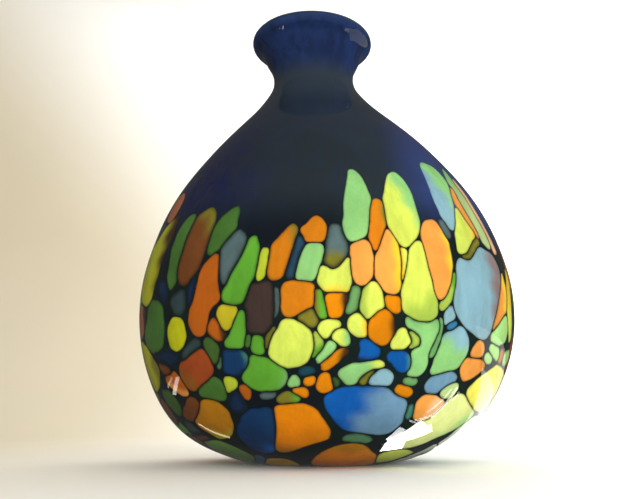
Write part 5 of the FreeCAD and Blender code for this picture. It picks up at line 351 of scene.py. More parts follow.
def cobalt_material(name, bare):
    m, nt, out = new_mat(name)
    L = nt.links
    tc = nt.nodes.new("ShaderNodeTexCoord")
    sep = nt.nodes.new("ShaderNodeSeparateXYZ")
    L.new(tc.outputs["Object"], sep.inputs[0])
    v = obj_coords(nt)
    vs = obj_coords(nt, scale=(1, 1, 0.2))
    n1 = noise(nt, v, 22.0, 3.0, 0.5, 0.6)
    n2 = noise(nt, vs, 120.0, 3.0, 0.55, 1.0)
    body = mix_col(nt, map_range(nt, n1, 0.35, 0.65, 0.0, 1.0), (0.024, 0.034, 0.043), (0.027, 0.039, 0.056))
    body = mix_col(nt, map_range(nt, n2, 0.4, 0.7, 0.0, 0.22), body, (0.020, 0.030, 0.085))
    # the neck was drawn out thin; its greyer colour is a painted reflection of the grey room around it
    neck_grey_reflection = map_range(nt, sep.outputs["Z"], 0.168, 0.190, 0.0, 0.85)
    body = mix_col(nt, neck_grey_reflection, body, (0.040, 0.056, 0.076))
    # painted light: the right side of the shoulder is painted a brighter blue, standing for light coming through the
    # glass from the right, strongest towards the front
    front = map_range(nt, sep.outputs["Y"], -0.045, 0.02, 1.0, 0.3)
    side = math_node(nt, "MULTIPLY", map_range(nt, sep.outputs["X"], 0.020, 0.050, 0.0, 1.0),
                     map_range(nt, n1, 0.25, 0.6, 0.45, 1.0))
    side = math_node(nt, "MULTIPLY", side, front)
    body = mix_col(nt, side, body, (0.040, 0.068, 0.250))
    # painted shade: the left side of the shoulder is painted a darker blue, standing for the shade on that side
    side = math_node(nt, "MULTIPLY", map_range(nt, sep.outputs["X"], -0.020, -0.052, 0.0, 1.0),
                     map_range(nt, n2, 0.3, 0.65, 0.45, 1.0))
    side = math_node(nt, "MULTIPLY", side, front)
    body = mix_col(nt, side, body, (0.0135, 0.016, 0.074))
    # the wall is thin in the neck and lip, so the cobalt shows bluer there: partly the thinner glass and partly
    # painted light, the light that comes through the open lip from behind
    up = map_range(nt, sep.outputs["Z"], 0.194, 0.210, 0.0, 1.0)
    lip = mix_col(nt, map_range(nt, n2, 0.35, 0.65, 0.0, 1.0), (0.0125, 0.025, 0.080), (0.017, 0.038, 0.130))
    c = mix_col(nt, up, body, lip)
    # painted highlight: a lighter blue band round the top of the rim, standing for the overhead light it reflects
    c = mix_col(nt, map_range(nt, sep.outputs["Z"], 0.2215, 0.2262, 0.0, 0.8), c, (0.036, 0.062, 0.150))
    # between the chips the cobalt is darkest, with a green cast
    low = map_range(nt, sep.outputs["Z"], 0.118, 0.092, 0.0, 1.0)
    vein = mix_col(nt, map_range(nt, n1, 0.35, 0.65, 0.0, 1.0), (0.006, 0.010, 0.016), (0.008, 0.017, 0.014))
    c = mix_col(nt, low, c, vein)
    b = nt.nodes.new("ShaderNodeBsdfPrincipled")
    L.new(c, b.inputs["Base Color"])
    if bare:
        b.inputs["Roughness"].default_value = 0.06
        b.inputs["IOR"].default_value = 1.5
        bump = nt.nodes.new("ShaderNodeBump")
        bump.inputs["Strength"].default_value = 0.06
        bump.inputs["Distance"].default_value = 0.0004
        L.new(n1, bump.inputs["Height"])
        L.new(bump.outputs[0], b.inputs["Normal"])
    else:
        b.inputs["Roughness"].default_value = 0.55
        b.inputs["Specular IOR Level"].default_value = 0.0
    L.new(b.outputs[0], out.inputs[0])
    return m


def clear_material():
    m, nt, out = new_mat("clear_overlay")
    L = nt.links
    v = obj_coords(nt)
    b = nt.nodes.new("ShaderNodeBsdfPrincipled")
    b.inputs["Base Color"].default_value = (0.985, 0.995, 0.99, 1)
    b.inputs["Roughness"].default_value = 0.0
    b.inputs["IOR"].default_value = 1.48
    b.inputs["Transmission Weight"].default_value = 1.0
    # slow hand-worked ripple of the gather and a few fine marver lines
    n1 = noise(nt, v, 16.0, 2.0, 0.45, 0.3)
    n2 = noise(nt, obj_coords(nt, scale=(1, 1, 6)), 30.0, 2.0, 0.5, 0.6)
    h = math_node(nt, "ADD", n1, math_node(nt, "MULTIPLY", n2, 0.12))
    bump = nt.nodes.new("ShaderNodeBump")
    bump.inputs["Strength"].default_value = 0.10
    bump.inputs["Distance"].default_value = 0.0012
    L.new(h, bump.inputs["Height"])
    L.new(bump.outputs[0], b.inputs["Normal"])
    tr = nt.nodes.new("ShaderNodeBsdfTransparent")
    lp = nt.nodes.new("ShaderNodeLightPath")
    mx = nt.nodes.new("ShaderNodeMixShader")
    L.new(lp.outputs["Is Shadow Ray"], mx.inputs[0])
    L.new(b.outputs[0], mx.inputs[1])
    L.new(tr.outputs[0], mx.inputs[2])
    L.new(mx.outputs[0], out.inputs[0])
    return m


# -------------------------------------------------------------- colour palette
def lin(rgb):
    out = []
    for c in rgb:
        c = c / 255.0
        out.append(c / 12.92 if c <= 0.04045 else ((c + 0.055) / 1.055) ** 2.4)
    return np.array(out)


# Each darker copy of a chip colour in this palette is painted shade: that colour as it falls in the shade on the
# vase's left side.
PAL = dict(amber=(196,134,26),amberD=(150,95,35),azure=(60,125,170),coral=(200,125,80),leaf=(100,170,55),leafD=(80,125,55),leafD2=(75,110,50),leafL=(130,175,85),
 lime=(200,215,60),limeD=(208,210,34),limeL=(225,240,105),limeM=(175,200,85),limeP=(240,248,170),maroon=(70,55,52),mint=(155,215,135),mintD=(120,175,110),
 mintD2=(90,140,100),mintL=(185,238,150),mintY=(195,220,150),olive=(135,130,45),orange=(236,144,14),orangeD=(192,102,28),orangeL=(250,168,80),orangeM=(220,133,26),
 peach=(250,200,155),royal=(20,98,185),royalD=(28,48,80),royalD2=(26,62,108),rust=(125,75,38),rustR=(165,78,36),sky=(145,185,200),skyD=(115,155,185),
 slate=(95,118,122),slateD=(60,80,85),steel=(50,85,115),teal=(80,150,130),tealD=(30,80,100),yellow=(250,215,60),yellowD=(210,195,45),yellowL=(250,245,110),yellowO=(230,180,50),pale=(235,242,235))
PAL['brown'] = (75, 50, 25)
PAL['pinkgrey'] = (150, 130, 130)
PAL = {k: lin(v) for k, v in PAL.items()}

# (CAD node, colour, fringe colour / direction in degrees / share, softness,
#  outline as degrees round from the front and mm along the bubble's skin)
CHIPS = [
    ("chips_amber_lower", "rust", None, 0, [(-53.78, 65.3), (-51.69, 65.12), (-49.65, 65.63), (-47.75, 66.79), (-46.09, 68.47), (-44.54, 70.33), (-43.15, 72.42), (-43.36, 74.65), (-45.34, 75.52), (-47.18, 74.81), (-48.99, 73.4), (-50.73, 71.86), (-52.48, 70.32), (-54.19, 68.73), (-55.51, 66.59)]),
    ("chips_amber_lower", "amber", ("yellowD", 270, 0.2), 0, [(-42.07, 53.6), (-39.5, 53.93), (-37.06, 55.06), (-35.17, 57.39), (-33.64, 60.08), (-32.38, 62.99), (-31.99, 66.23), (-32.4, 69.46), (-33.94, 71.93), (-36.23, 73.55), (-38.82, 74.02), (-41.33, 73.18), (-43.04, 70.64), (-44.89, 68.28), (-47.02, 66.32), (-49.28, 64.58), (-49.77, 61.52), (-48.51, 58.71), (-46.62, 56.39), (-44.61, 54.25)]),
    ("chips_amber_lower", "rust", None, 2, [(-61.21, 52.25), (-58.74, 52.07), (-56.24, 52.07), (-53.8, 52.45), (-51.43, 53.23), (-51.11, 54.39), (-53.49, 55.13), (-55.92, 54.71), (-58.42, 54.65), (-60.85, 54.22)]),
    ("chips_amber_lower", "rust", None, 1, [(-68.56, 63.5), (-66.5, 63.56), (-64.94, 65.32), (-64.21, 67.89), (-64.45, 70.64), (-65.11, 73.26), (-66.43, 75.4), (-68.36, 76.32), (-70.29, 75.3), (-72.21, 74.15), (-73.07, 71.83), (-72.61, 69.14), (-71.91, 66.53), (-70.51, 64.51)]),
    ("chips_amber_lower", "rust", None, 0, [(-69.08, 42.35), (-66.56, 42.1), (-65.16, 44.32), (-64.2, 46.83), (-62.8, 49.05), (-63.11, 51.73), (-64.26, 54.1), (-66.55, 55.35), (-69.11, 55.53), (-71.66, 55), (-74.19, 54.36), (-76.58, 53.31), (-78.71, 51.76), (-80.37, 49.72), (-80.79, 47.06), (-79.1, 45.19), (-76.67, 44.23), (-74.14, 43.61), (-71.59, 43.05)]),
    ("chips_amber_lower", "amberD", None, 0, [(-84.89, 26.6), (-80.98, 26.35), (-77.04, 26.35), (-73.1, 26.36), (-69.27, 27.03), (-68.02, 29.54), (-69.74, 32.41), (-69.6, 35.43), (-68.05, 38.36), (-69.64, 40.87), (-73.36, 41.89), (-77.15, 42.76), (-80.68, 44.17), (-84.31, 43.72), (-87.43, 41.77), (-89.86, 39.31), (-91, 36.25), (-91.66, 33.1), (-91.23, 29.95), (-88.6, 27.65)]),
    ("chips_amber_lower", "amber", None, 0, [(-95.21, 41.9), (-90.79, 41.7), (-86.89, 44.04), (-82.95, 46.35), (-82.21, 51.14), (-84.81, 55.29), (-86.71, 59.9), (-87.7, 64.89), (-89.68, 68.89), (-93.93, 70.2), (-97.78, 72.48), (-102.19, 72.85), (-105.46, 70.35), (-108.02, 66.22), (-107.82, 61.13), (-107.82, 56.01), (-108.12, 50.91), (-107.84, 45.84), (-103.93, 43.63), (-99.59, 42.59)]),
    ("chips_amber_lower", "rustR", None, 1, [(-136.07, 69.35), (-134.61, 69.28), (-133.56, 70.74), (-133.33, 72.7), (-134.48, 73.99), (-135.95, 74.54), (-137.34, 73.89), (-138.08, 72.14), (-137.39, 70.41)]),
    ("chips_amber_middle", "coral", ("brown", 0, 0.3), 1, [(-71.57, 106.25), (-69.91, 106.03), (-68.27, 106.18), (-66.86, 107.56), (-65.69, 109.43), (-64.78, 111.62), (-64.15, 114.04), (-64.18, 116.65), (-65.39, 118.28), (-66.95, 119.18), (-68.6, 119.47), (-70.25, 119.17), (-71.68, 117.99), (-72.38, 115.62), (-72.83, 113.09), (-73.03, 110.53), (-72.68, 107.96)]),
    ("chips_amber_middle", "rustR", ("amberD", 225, 0.3), 0, [(-43.86, 79.7), (-42, 79.52), (-40.26, 80.48), (-38.66, 81.91), (-36.94, 83), (-35.34, 84.42), (-33.8, 85.99), (-33.07, 88.5), (-33.51, 91.15), (-34.42, 93.55), (-35.72, 95.54), (-37.47, 95.19), (-39.23, 94.23), (-40.95, 93.15), (-42.67, 92.07), (-44.4, 91.02), (-45.84, 89.26), (-46.32, 86.76), (-46.04, 84.07), (-45.21, 81.65)]),
    ("chips_amber_middle", "rust", None, 1, [(-54.69, 87.35), (-52.94, 87.18), (-51.29, 87.99), (-52.26, 90.16), (-53.92, 91.2), (-55.68, 91.85), (-57.43, 92.46), (-57.41, 90.51), (-56.35, 88.4)]),
    ("chips_amber_middle", "rustR", None, 0, [(70.95, 90.5), (72.64, 90.62), (74.29, 91.45), (75.92, 92.37), (77.14, 94.14), (76.68, 96.6), (75.67, 98.75), (74.72, 100.97), (73.57, 102.95), (72.17, 104.51), (70.59, 105.43), (69.35, 103.71), (69, 101.16), (70.09, 99.14), (71.23, 97.15), (70.84, 94.72), (69.96, 92.46)]),
    ("chips_amber_middle", "rustR", None, 1, [(136.3, 90.05), (138.01, 89.96), (139.69, 90.56), (141.22, 91.78), (141.76, 94.18), (141.48, 96.76), (140.45, 98.8), (138.86, 99.73), (137.13, 99.84), (135.62, 101.07), (133.93, 101.14), (133.47, 98.84), (133.82, 96.26), (134.16, 93.69), (134.81, 91.26)]),
    ("chips_amber_middle", "rustR", None, 0, [(-84.69, 85.55), (-82.84, 85.36), (-81.54, 87.36), (-80.63, 89.88), (-79.67, 92.36), (-79.66, 95.15), (-80.43, 97.77), (-81.36, 100.23), (-83.18, 100.84), (-85.08, 100.84), (-86.95, 101.26), (-88.78, 102.08), (-90.28, 100.79), (-91.13, 98.23), (-91.45, 95.4), (-91.65, 92.55), (-91.35, 89.73), (-90.24, 87.5), (-88.41, 86.77), (-86.55, 86.2)]),
    ("chips_amber_middle", "rustR", None, 0, [(-118.63, 77.9), (-117.4, 77.88), (-116.47, 79.19), (-116.05, 80.94), (-116.24, 82.78), (-117.28, 83.62), (-118.44, 82.79), (-119.23, 81.33), (-119.27, 79.48)]),
    ("chips_amber_upper", "coral", None, 0, [(-59, 158.45), (-57.18, 159.23), (-55.85, 161.23), (-54.95, 163.66), (-54.57, 166.34), (-54.87, 169.04), (-55.83, 171.38), (-57.26, 173.28), (-59.05, 174.35), (-60.98, 174.91), (-62.88, 174.55), (-64.65, 173.32), (-65.22, 170.85), (-65.16, 168.11), (-64.76, 165.43), (-63.61, 163.22), (-62.45, 161.01), (-60.83, 159.47)]),
    ("chips_amber_upper", "rust", ("olive", 40, 0.22), 2, [(-41.83, 123.8), (-39.25, 124.16), (-37.42, 127.35), (-35.86, 130.86), (-34.98, 134.85), (-34.49, 138.99), (-34.15, 143.17), (-33.78, 147.36), (-33.22, 151.48), (-33.64, 155.54), (-35.67, 158.06), (-38.21, 157.34), (-40.44, 154.96), (-41.84, 151.4), (-42.76, 147.4), (-43.41, 143.28), (-43.61, 139.05), (-44.04, 134.87), (-44.33, 130.66), (-43.75, 126.64)]),
    ("chips_amber_upper", "peach", None, 1, [(57.83, 141.35), (60.3, 142.77), (59.82, 147.05), (58.73, 151.13), (57.8, 155.27), (57.12, 159.51), (56.52, 163.76), (56.22, 168.09), (56.44, 172.41), (55.92, 176.67), (55.02, 180.82), (53.02, 179.19), (52.59, 175.21), (53.24, 170.96), (53.51, 166.62), (53.88, 162.29), (54.76, 158.12), (55.75, 153.99), (56.58, 149.83), (56.89, 145.5)]),
    ("chips_amber_upper", "coral", None, 0, [(107.77, 135.05), (109.93, 135.85), (111.6, 138.24), (112.08, 141.6), (112.37, 145.06), (112.37, 148.55), (112.13, 152.01), (111.73, 155.45), (111.15, 158.83), (110.5, 162.18), (109.64, 165.42), (108.21, 165.61), (107.49, 162.3), (106.92, 158.91), (106.44, 155.5), (106.16, 152.04), (106.03, 148.56), (106.3, 145.1), (106.55, 141.64), (106.9, 138.2)]),
    ("chips_amber_upper", "coral", None, 0, [(-88.52, 125.6), (-86.44, 128.33), (-85.1, 132.43), (-84.5, 136.91), (-84.43, 141.5), (-84.73, 146.05), (-85.4, 150.51), (-86.61, 154.71), (-88.08, 158.71), (-89.8, 162.48), (-91.79, 165.89), (-93.54, 162.92), (-94.35, 158.5), (-94.96, 154.01), (-95.27, 149.46), (-95.18, 144.88), (-94.52, 140.4), (-92.59, 137.52), (-90.7, 134.07), (-89.58, 129.82)]),
    ("chips_grey_blue_lower", "slateD", None, 2, [(-57.07, 57.65), (-54.92, 57.92), (-52.72, 58.12), (-52.95, 60.42), (-53.78, 62.91), (-55.47, 64.13), (-57.67, 63.95), (-59.55, 62.58), (-60.51, 60.46), (-59.15, 58.54)]),
    ("chips_grey_blue_lower", "skyD", None, 0, [(72.22, 18.05), (78.12, 17.8), (84.05, 17.8), (89.98, 17.8), (95.91, 17.8), (101.84, 17.8), (107.78, 17.82), (110.26, 20.24), (108.81, 24.11), (107.94, 28.05), (104.9, 31.47), (101.5, 34.74), (96.53, 36.77), (90.94, 38.09), (85.26, 38.81), (81.28, 35.9), (78.36, 32.58), (77.81, 28.6), (76.81, 24.67), (73.97, 21.2)]),
    ("chips_grey_blue_lower", "skyD", None, 0, [(116.34, 42.8), (120.75, 42.96), (124.88, 44.89), (128.4, 48.03), (129.41, 53.07), (128.53, 58.09), (126.38, 62.65), (123.93, 67), (120.74, 70.61), (118.52, 68.09), (115.74, 64.44), (113.27, 67.86), (112.85, 72.42), (108.63, 72.25), (105.65, 68.41), (105.14, 63.45), (106.41, 58.46), (107.89, 53.55), (109.64, 48.76), (112.18, 44.61)]),
    ("chips_grey_blue_middle", "slate", None, 1, [(-13.51, 106.7), (-12.81, 108.9), (-12.48, 111.44), (-12.2, 114), (-12.48, 116.57), (-12.97, 119.01), (-13.32, 117.2), (-13.32, 114.55), (-13.32, 111.9), (-13.29, 109.24)]),
    ("chips_grey_blue_middle", "slateD", None, 2, [(-43.59, 111.65), (-41.98, 111.59), (-40.78, 113.37), (-40.24, 115.89), (-40.32, 118.44), (-41.03, 120.38), (-42.67, 120.83), (-44.27, 120.14), (-45.81, 119.13), (-46.73, 116.92), (-46.2, 114.6), (-45.16, 112.61)]),
    ("chips_grey_blue_middle", "sky", None, 0, [(31.2, 105.8), (32.39, 106.96), (33.72, 107.87), (34.27, 109.33), (33.68, 111.44), (33.05, 113.52), (32.07, 112.25), (31.32, 110.34), (31.08, 108.09)]),
    ("chips_grey_blue_middle", "slateD", None, 1, [(-43.82, 93.2), (-42.25, 93.41), (-40.73, 94.77), (-39.11, 95.79), (-37.52, 96.97), (-36.08, 98.51), (-36.72, 100.13), (-38.47, 99.96), (-39.98, 98.59), (-41.39, 96.98), (-42.77, 95.32)]),
    ("chips_grey_blue_middle", "slate", None, 1, [(-18.65, 75.2), (-17.44, 75.02), (-16.26, 75.33), (-15.14, 76), (-14.33, 77.19), (-15.29, 77.18), (-16.52, 77.18), (-17.75, 77.15), (-18.92, 76.63)]),
    ("chips_grey_blue_middle", "sky", None, 0, [(11.64, 81.05), (13.52, 80.87), (15.42, 80.87), (17.26, 81.42), (17.71, 83.86), (16.48, 85.84), (14.7, 86.63), (13.04, 85.48), (11.74, 83.48)]),
    ("chips_grey_blue_middle", "skyD", None, 0, [(31.41, 77.9), (33.18, 78.2), (34.68, 79.74), (36.15, 81.33), (37.8, 82.56), (39.32, 83.72), (38.1, 85.62), (36.41, 86.19), (34.61, 85.65), (32.86, 84.88), (31.11, 84), (29.42, 82.93), (28.54, 80.65), (29.68, 78.74)]),
    ("chips_grey_blue_middle", "slate", None, 0, [(77.45, 72.5), (79.47, 72.11), (81.52, 72.33), (83.22, 73.71), (83.33, 76.63), (83.63, 79.54), (83.99, 82.43), (82.82, 84.61), (81.29, 86.57), (80.22, 89.07), (79.06, 91.42), (77.09, 91.57), (75.29, 90.16), (76.03, 88.36), (77.48, 86.34), (76.64, 83.98), (75.07, 82.4), (76.15, 80.01), (76.52, 77.38), (77.62, 75.28)]),
    ("chips_grey_blue_middle", "skyD", None, 0, [(87.46, 70.7), (89.33, 70.47), (91.09, 71.29), (92.43, 73.13), (93.28, 75.48), (93.55, 78.07), (93.29, 80.69), (93.15, 83.32), (92.12, 85.46), (90.46, 86.7), (88.65, 87.17), (87.18, 85.54), (85.71, 83.9), (84.98, 81.5), (84.6, 78.91), (84.35, 76.3), (84.47, 73.67), (85.78, 71.9)]),
    ("chips_grey_blue_middle", "slate", None, 0, [(99.24, 74.3), (100.86, 75.01), (101.38, 77.56), (102.09, 79.99), (103.37, 81.89), (104.81, 83.55), (104.94, 85.73), (103.39, 87.17), (101.79, 88.49), (99.98, 88.25), (98.2, 87.56), (96.47, 86.6), (94.79, 85.5), (94.22, 83.16), (94.34, 80.52), (94.61, 77.9), (95.72, 75.88), (97.45, 74.95)]),
    ("chips_grey_blue_middle", "skyD", None, 1, [(135.27, 72.05), (137.58, 71.8), (139.91, 71.88), (142.19, 72.57), (144.36, 73.72), (145.58, 76.51), (146.58, 79.51), (147.2, 82.68), (145.96, 85.4), (144.6, 88.08), (143.17, 90.69), (141.11, 89.87), (138.93, 88.72), (136.63, 88.42), (134.36, 88.87), (132.56, 86.82), (132.12, 83.72), (132.79, 80.54), (133.17, 77.27), (133.5, 74)]),
    ("chips_grey_blue_middle", "skyD", None, 1, [(-173.2, 68.45), (-171.26, 68.88), (-169.62, 70.57), (-168.06, 72.39), (-167.29, 74.87), (-167.73, 77.64), (-167.75, 80.47), (-167.81, 83.3), (-169.23, 85.07), (-171.24, 85.58), (-173.26, 85.95), (-174.54, 84.26), (-175.4, 81.77), (-177.15, 80.35), (-179.04, 79.67), (-179.24, 76.87), (-179.24, 74.04), (-178.87, 71.31), (-177.16, 69.84), (-175.21, 68.98)]),
    ("chips_grey_blue_middle", "slate", None, 1, [(-154.81, 67.1), (-154.39, 69.6), (-154.57, 72.51), (-154.87, 75.4), (-155.39, 78.23), (-156.02, 81.02), (-157.35, 83.2), (-159.3, 84.22), (-161.34, 84.93), (-163.32, 85.9), (-165.33, 85.48), (-166.69, 83.45), (-166.75, 80.53), (-166.67, 77.61), (-166.02, 74.84), (-164.29, 73.31), (-162.35, 72.21), (-160.45, 70.95), (-158.6, 69.56), (-156.75, 68.18)]),
    ("chips_grey_blue_middle", "slate", None, 1, [(-91.19, 70.7), (-89, 70.28), (-86.9, 71.06), (-85.31, 73.19), (-84.16, 75.83), (-83.3, 78.67), (-83.36, 81.68), (-84.55, 82.31), (-85.11, 79.45), (-86.84, 77.56), (-88.81, 78.22), (-89.09, 81.22), (-88.15, 83.99), (-89.61, 85.6), (-91.54, 84.81), (-92.71, 82.19), (-93.73, 79.44), (-94.4, 76.5), (-94.89, 73.5), (-93.32, 71.49)]),
    ("chips_grey_blue_middle", "sky", None, 0, [(127.27, 86.9), (129.05, 86.47), (130.76, 87.05), (131.75, 89.3), (132.42, 91.83), (132.83, 94.48), (132.75, 97.18), (132.21, 99.78), (131.02, 101.79), (129.43, 103), (127.63, 103.09), (125.83, 103.09), (124.1, 102.52), (122.82, 100.62), (122.4, 98.04), (122.4, 95.32), (122.3, 92.6), (122.32, 89.94), (123.87, 88.67), (125.56, 87.73)]),
    ("chips_grey_blue_middle", "sky", None, 1, [(147.72, 85.1), (149.44, 85.62), (151.06, 86.83), (152.73, 87.9), (153.29, 90.36), (153.3, 93.09), (153.25, 95.82), (152.99, 98.52), (152.02, 100.61), (150.23, 100.98), (148.45, 100.72), (146.74, 99.79), (145.16, 98.48), (144.01, 96.4), (143.57, 93.77), (144.24, 91.31), (145.33, 89.13), (146.38, 86.9)]),
    ("chips_grey_blue_middle", "sky", None, 1, [(-109.5, 87.8), (-107.76, 87.51), (-106.27, 88.87), (-105.13, 90.93), (-104.14, 93.14), (-103.8, 95.78), (-103.61, 98.44), (-104.56, 100.64), (-106.11, 101.88), (-107.85, 102.4), (-109.45, 101.39), (-110.63, 99.4), (-111.28, 96.93), (-111.3, 94.24), (-111.47, 91.57), (-111.03, 89.12)]),
    ("chips_grey_blue_middle", "sky", None, 0, [(86.3, 102.2), (88.02, 102.31), (89.39, 103.94), (90.2, 106.3), (90.31, 109.01), (89.88, 111.63), (89.21, 114.14), (88.48, 116.61), (87.15, 117.89), (85.76, 116.29), (84.52, 114.41), (83.49, 112.22), (82.65, 109.84), (82.88, 107.17), (83.51, 104.63), (84.6, 102.69)]),
    ("chips_grey_blue_middle", "sky", None, 0, [(124.27, 104.9), (126.02, 104.46), (127.81, 104.46), (129.61, 104.5), (131.28, 105.49), (132.13, 107.86), (132.39, 110.67), (132.77, 113.44), (132.63, 116.16), (131.57, 118.45), (130.46, 120.67), (128.93, 120.17), (127.75, 118.03), (126.4, 116.15), (124.67, 115.89), (123.08, 117.19), (121.91, 115.37), (122.08, 112.63), (122.78, 110.02), (123.42, 107.37)]),
    ("chips_grey_blue_middle", "sky", None, 1, [(159.4, 101.75), (161.24, 101.33), (163.09, 101.55), (164.27, 103.74), (164.7, 106.59), (165.02, 109.48), (165.11, 112.38), (163.85, 114.38), (162.12, 115.43), (160.7, 117.34), (159.28, 119.2), (157.49, 118.81), (155.81, 117.51), (155.09, 114.99), (154.92, 112.08), (154.4, 109.27), (154, 106.4), (154.04, 103.51), (155.71, 102.61), (157.56, 102.19)]),
    ("chips_grey_blue_middle", "sky", None, 0, [(-150.24, 103.55), (-148.58, 103.12), (-146.9, 103.28), (-145.27, 103.91), (-144.62, 106.3), (-143.69, 108.48), (-144.09, 110.51), (-145.54, 111.86), (-146.89, 113.44), (-148.21, 115.09), (-149.5, 116.79), (-151.05, 116.57), (-152.28, 114.78), (-152.81, 112.32), (-152.6, 109.69), (-152.25, 107.1), (-151.75, 104.6)]),
    ("chips_grey_blue_middle", "sky", None, 0, [(-121.51, 100.85), (-120.09, 101.92), (-118.58, 103.09), (-116.91, 103.55), (-115.22, 103.51), (-113.58, 103.59), (-113.09, 106.09), (-113.18, 108.7), (-113.82, 111.17), (-114.57, 113.55), (-115.66, 115.56), (-117.27, 115.91), (-118.95, 115.59), (-120.63, 115.17), (-122.09, 114.03), (-122.08, 111.39), (-121.83, 108.76), (-121.82, 106.1), (-121.81, 103.43)]),
    ("chips_grey_blue_middle", "sky", None, 0, [(-78.94, 97.25), (-77.45, 98.39), (-76.05, 100.09), (-74.72, 101.91), (-73.75, 104.15), (-73.51, 106.74), (-73.81, 109.46), (-75.07, 111.27), (-76.44, 113.02), (-77.47, 112.26), (-78.06, 109.67), (-79.13, 107.48), (-79.72, 104.91), (-80.12, 102.22), (-79.87, 99.55)]),
    ("chips_grey_blue_upper", "slate", None, 2, [(-27.21, 121.1), (-26.25, 123.06), (-25.59, 125.49), (-24.67, 127.7), (-23.84, 130.01), (-23.05, 132.35), (-22.52, 134.85), (-22.08, 137.38), (-22.08, 140.04), (-22.59, 142.51), (-23.99, 143.77), (-25.53, 142.82), (-26.62, 140.82), (-27.73, 138.84), (-28.52, 136.49), (-28.62, 133.86), (-28.62, 131.21), (-28.32, 128.64), (-28.09, 126.06), (-27.83, 123.48)]),
    ("chips_grey_blue_upper", "steel", None, 2, [(-9.91, 122), (-8.61, 122.94), (-8.15, 125.44), (-7.81, 128), (-7.36, 130.53), (-6.8, 133), (-6.2, 135.43), (-6.34, 138), (-7.27, 139.5), (-7.88, 137.09), (-8.3, 134.58), (-8.85, 132.13), (-9.35, 129.66), (-9.72, 127.14), (-10.02, 124.6)]),
    ("chips_grey_blue_upper", "slate", ("olive", 270, 0.3), 2, [(0.53, 126.5), (2.13, 126.73), (3.33, 128.7), (4.3, 130.92), (4.62, 133.58), (4.27, 136.23), (3.7, 138.79), (3.18, 141.37), (2.59, 143.91), (1.22, 144.24), (0.48, 141.82), (0.18, 139.17), (-0.12, 136.51), (-0.39, 133.85), (-0.47, 131.12), (-0.67, 128.46)]),
    ("chips_grey_blue_upper", "sky", ("mint", 20, 0.5), 0, [(37.17, 147.2), (39.16, 150.29), (40.28, 154.52), (41.22, 158.81), (42.07, 163.12), (43.2, 167.33), (44.44, 171.5), (45.28, 175.83), (45.22, 180.24), (43.9, 184.21), (40.81, 185.63), (37.6, 185.28), (35.64, 181.71), (34.98, 177.34), (34.49, 172.93), (34.08, 168.5), (33.78, 164.04), (33.79, 159.52), (34.38, 155.14), (35.47, 150.94)]),
    ("chips_grey_blue_upper", "slate", None, 1, [(34.72, 142.7), (35.55, 143.83), (35.53, 145.94), (35.02, 148.01), (34.47, 150.05), (33.54, 150.88), (33.18, 148.76), (33.44, 146.6), (34, 144.55)]),
    ("chips_grey_blue_upper", "sky", ("pinkgrey", 0, 0.28), 0, [(44.01, 102.65), (47.87, 102.47), (50.46, 106.73), (52.05, 112.31), (53.71, 117.83), (55.27, 123.41), (56.79, 129.01), (57.42, 134.98), (55.2, 139.27), (51.47, 140.57), (47.65, 140.94), (44.59, 137.25), (41.5, 133.61), (37.74, 133.9), (35.9, 129.75), (35.28, 123.78), (34.15, 117.96), (34.6, 112.26), (37.17, 107.99), (40.47, 104.85)]),
    ("chips_grey_blue_upper", "slateD", None, 1, [(-67.1, 150.8), (-65.51, 151.51), (-63.99, 153), (-62.53, 154.63), (-62.42, 157.05), (-63.58, 159.1), (-65.09, 158.07), (-66.12, 155.84), (-66.91, 153.41)]),
    ("chips_grey_blue_upper", "sky", None, 1, [(90.52, 113.9), (91.87, 115.18), (92.99, 117.33), (94.07, 119.54), (94.65, 122.16), (94.98, 124.89), (94.99, 127.68), (94.91, 130.47), (94.61, 133.21), (94.14, 135.9), (92.84, 137.46), (91.31, 136.17), (90.14, 134.08), (88.87, 132.14), (88.18, 129.68), (88.18, 126.89), (88.18, 124.1), (88.19, 121.31), (88.78, 118.72), (89.65, 116.3)]),
    ("chips_grey_blue_upper", "sky", None, 1, [(154.05, 118.85), (155.79, 119.17), (157.43, 120.39), (158.65, 122.37), (158.55, 125.18), (158.09, 127.95), (157.48, 130.63), (156.75, 133.25), (155.92, 135.8), (155.18, 138.41), (154.29, 140.9), (153.05, 141.05), (152.49, 138.34), (151.97, 135.6), (151.43, 132.87), (150.86, 130.16), (150.38, 127.4), (150.29, 124.55), (151.07, 122.06), (152.49, 120.3)]),
    ("chips_grey_blue_upper", "slate", None, 1, [(79.77, 129.65), (81.82, 131.64), (84.01, 133.57), (86.48, 134.12), (86.52, 137.95), (86.24, 141.82), (85.85, 145.68), (85.46, 149.53), (85.12, 153.4), (84.9, 157.27), (84.54, 161.1), (82.62, 162.3), (81.16, 159.1), (79.9, 155.71), (78.78, 152.2), (78.02, 148.49), (77.7, 144.62), (77.43, 140.75), (78.12, 137), (78.86, 133.27)]),
    ("chips_grey_blue_upper", "sky", None, 0, [(130.15, 126.95), (131.41, 130.65), (132.72, 134.54), (134.48, 137.96), (136.98, 139.49), (137.26, 143.8), (136.89, 148.13), (136.27, 152.4), (135.45, 156.59), (134.46, 160.69), (133.33, 164.7), (131.42, 164.98), (130.37, 160.91), (129.49, 156.76), (128.74, 152.54), (128.25, 148.24), (127.93, 143.9), (128.23, 139.57), (128.54, 135.23), (129.14, 130.96)]),
    ("chips_grey_blue_upper", "sky", None, 0, [(149.62, 132.35), (150.66, 134.29), (151.29, 137.11), (151.79, 139.99), (152.33, 142.85), (152.29, 145.8), (151.77, 148.67), (151.04, 151.43), (150.27, 154.16), (149.33, 156.78), (148.21, 159.22), (147.1, 157.81), (146.75, 154.88), (146.43, 151.95), (146.15, 149), (145.91, 146.05), (146.51, 143.25), (147.29, 140.52), (148.04, 137.77), (148.72, 134.98)]),
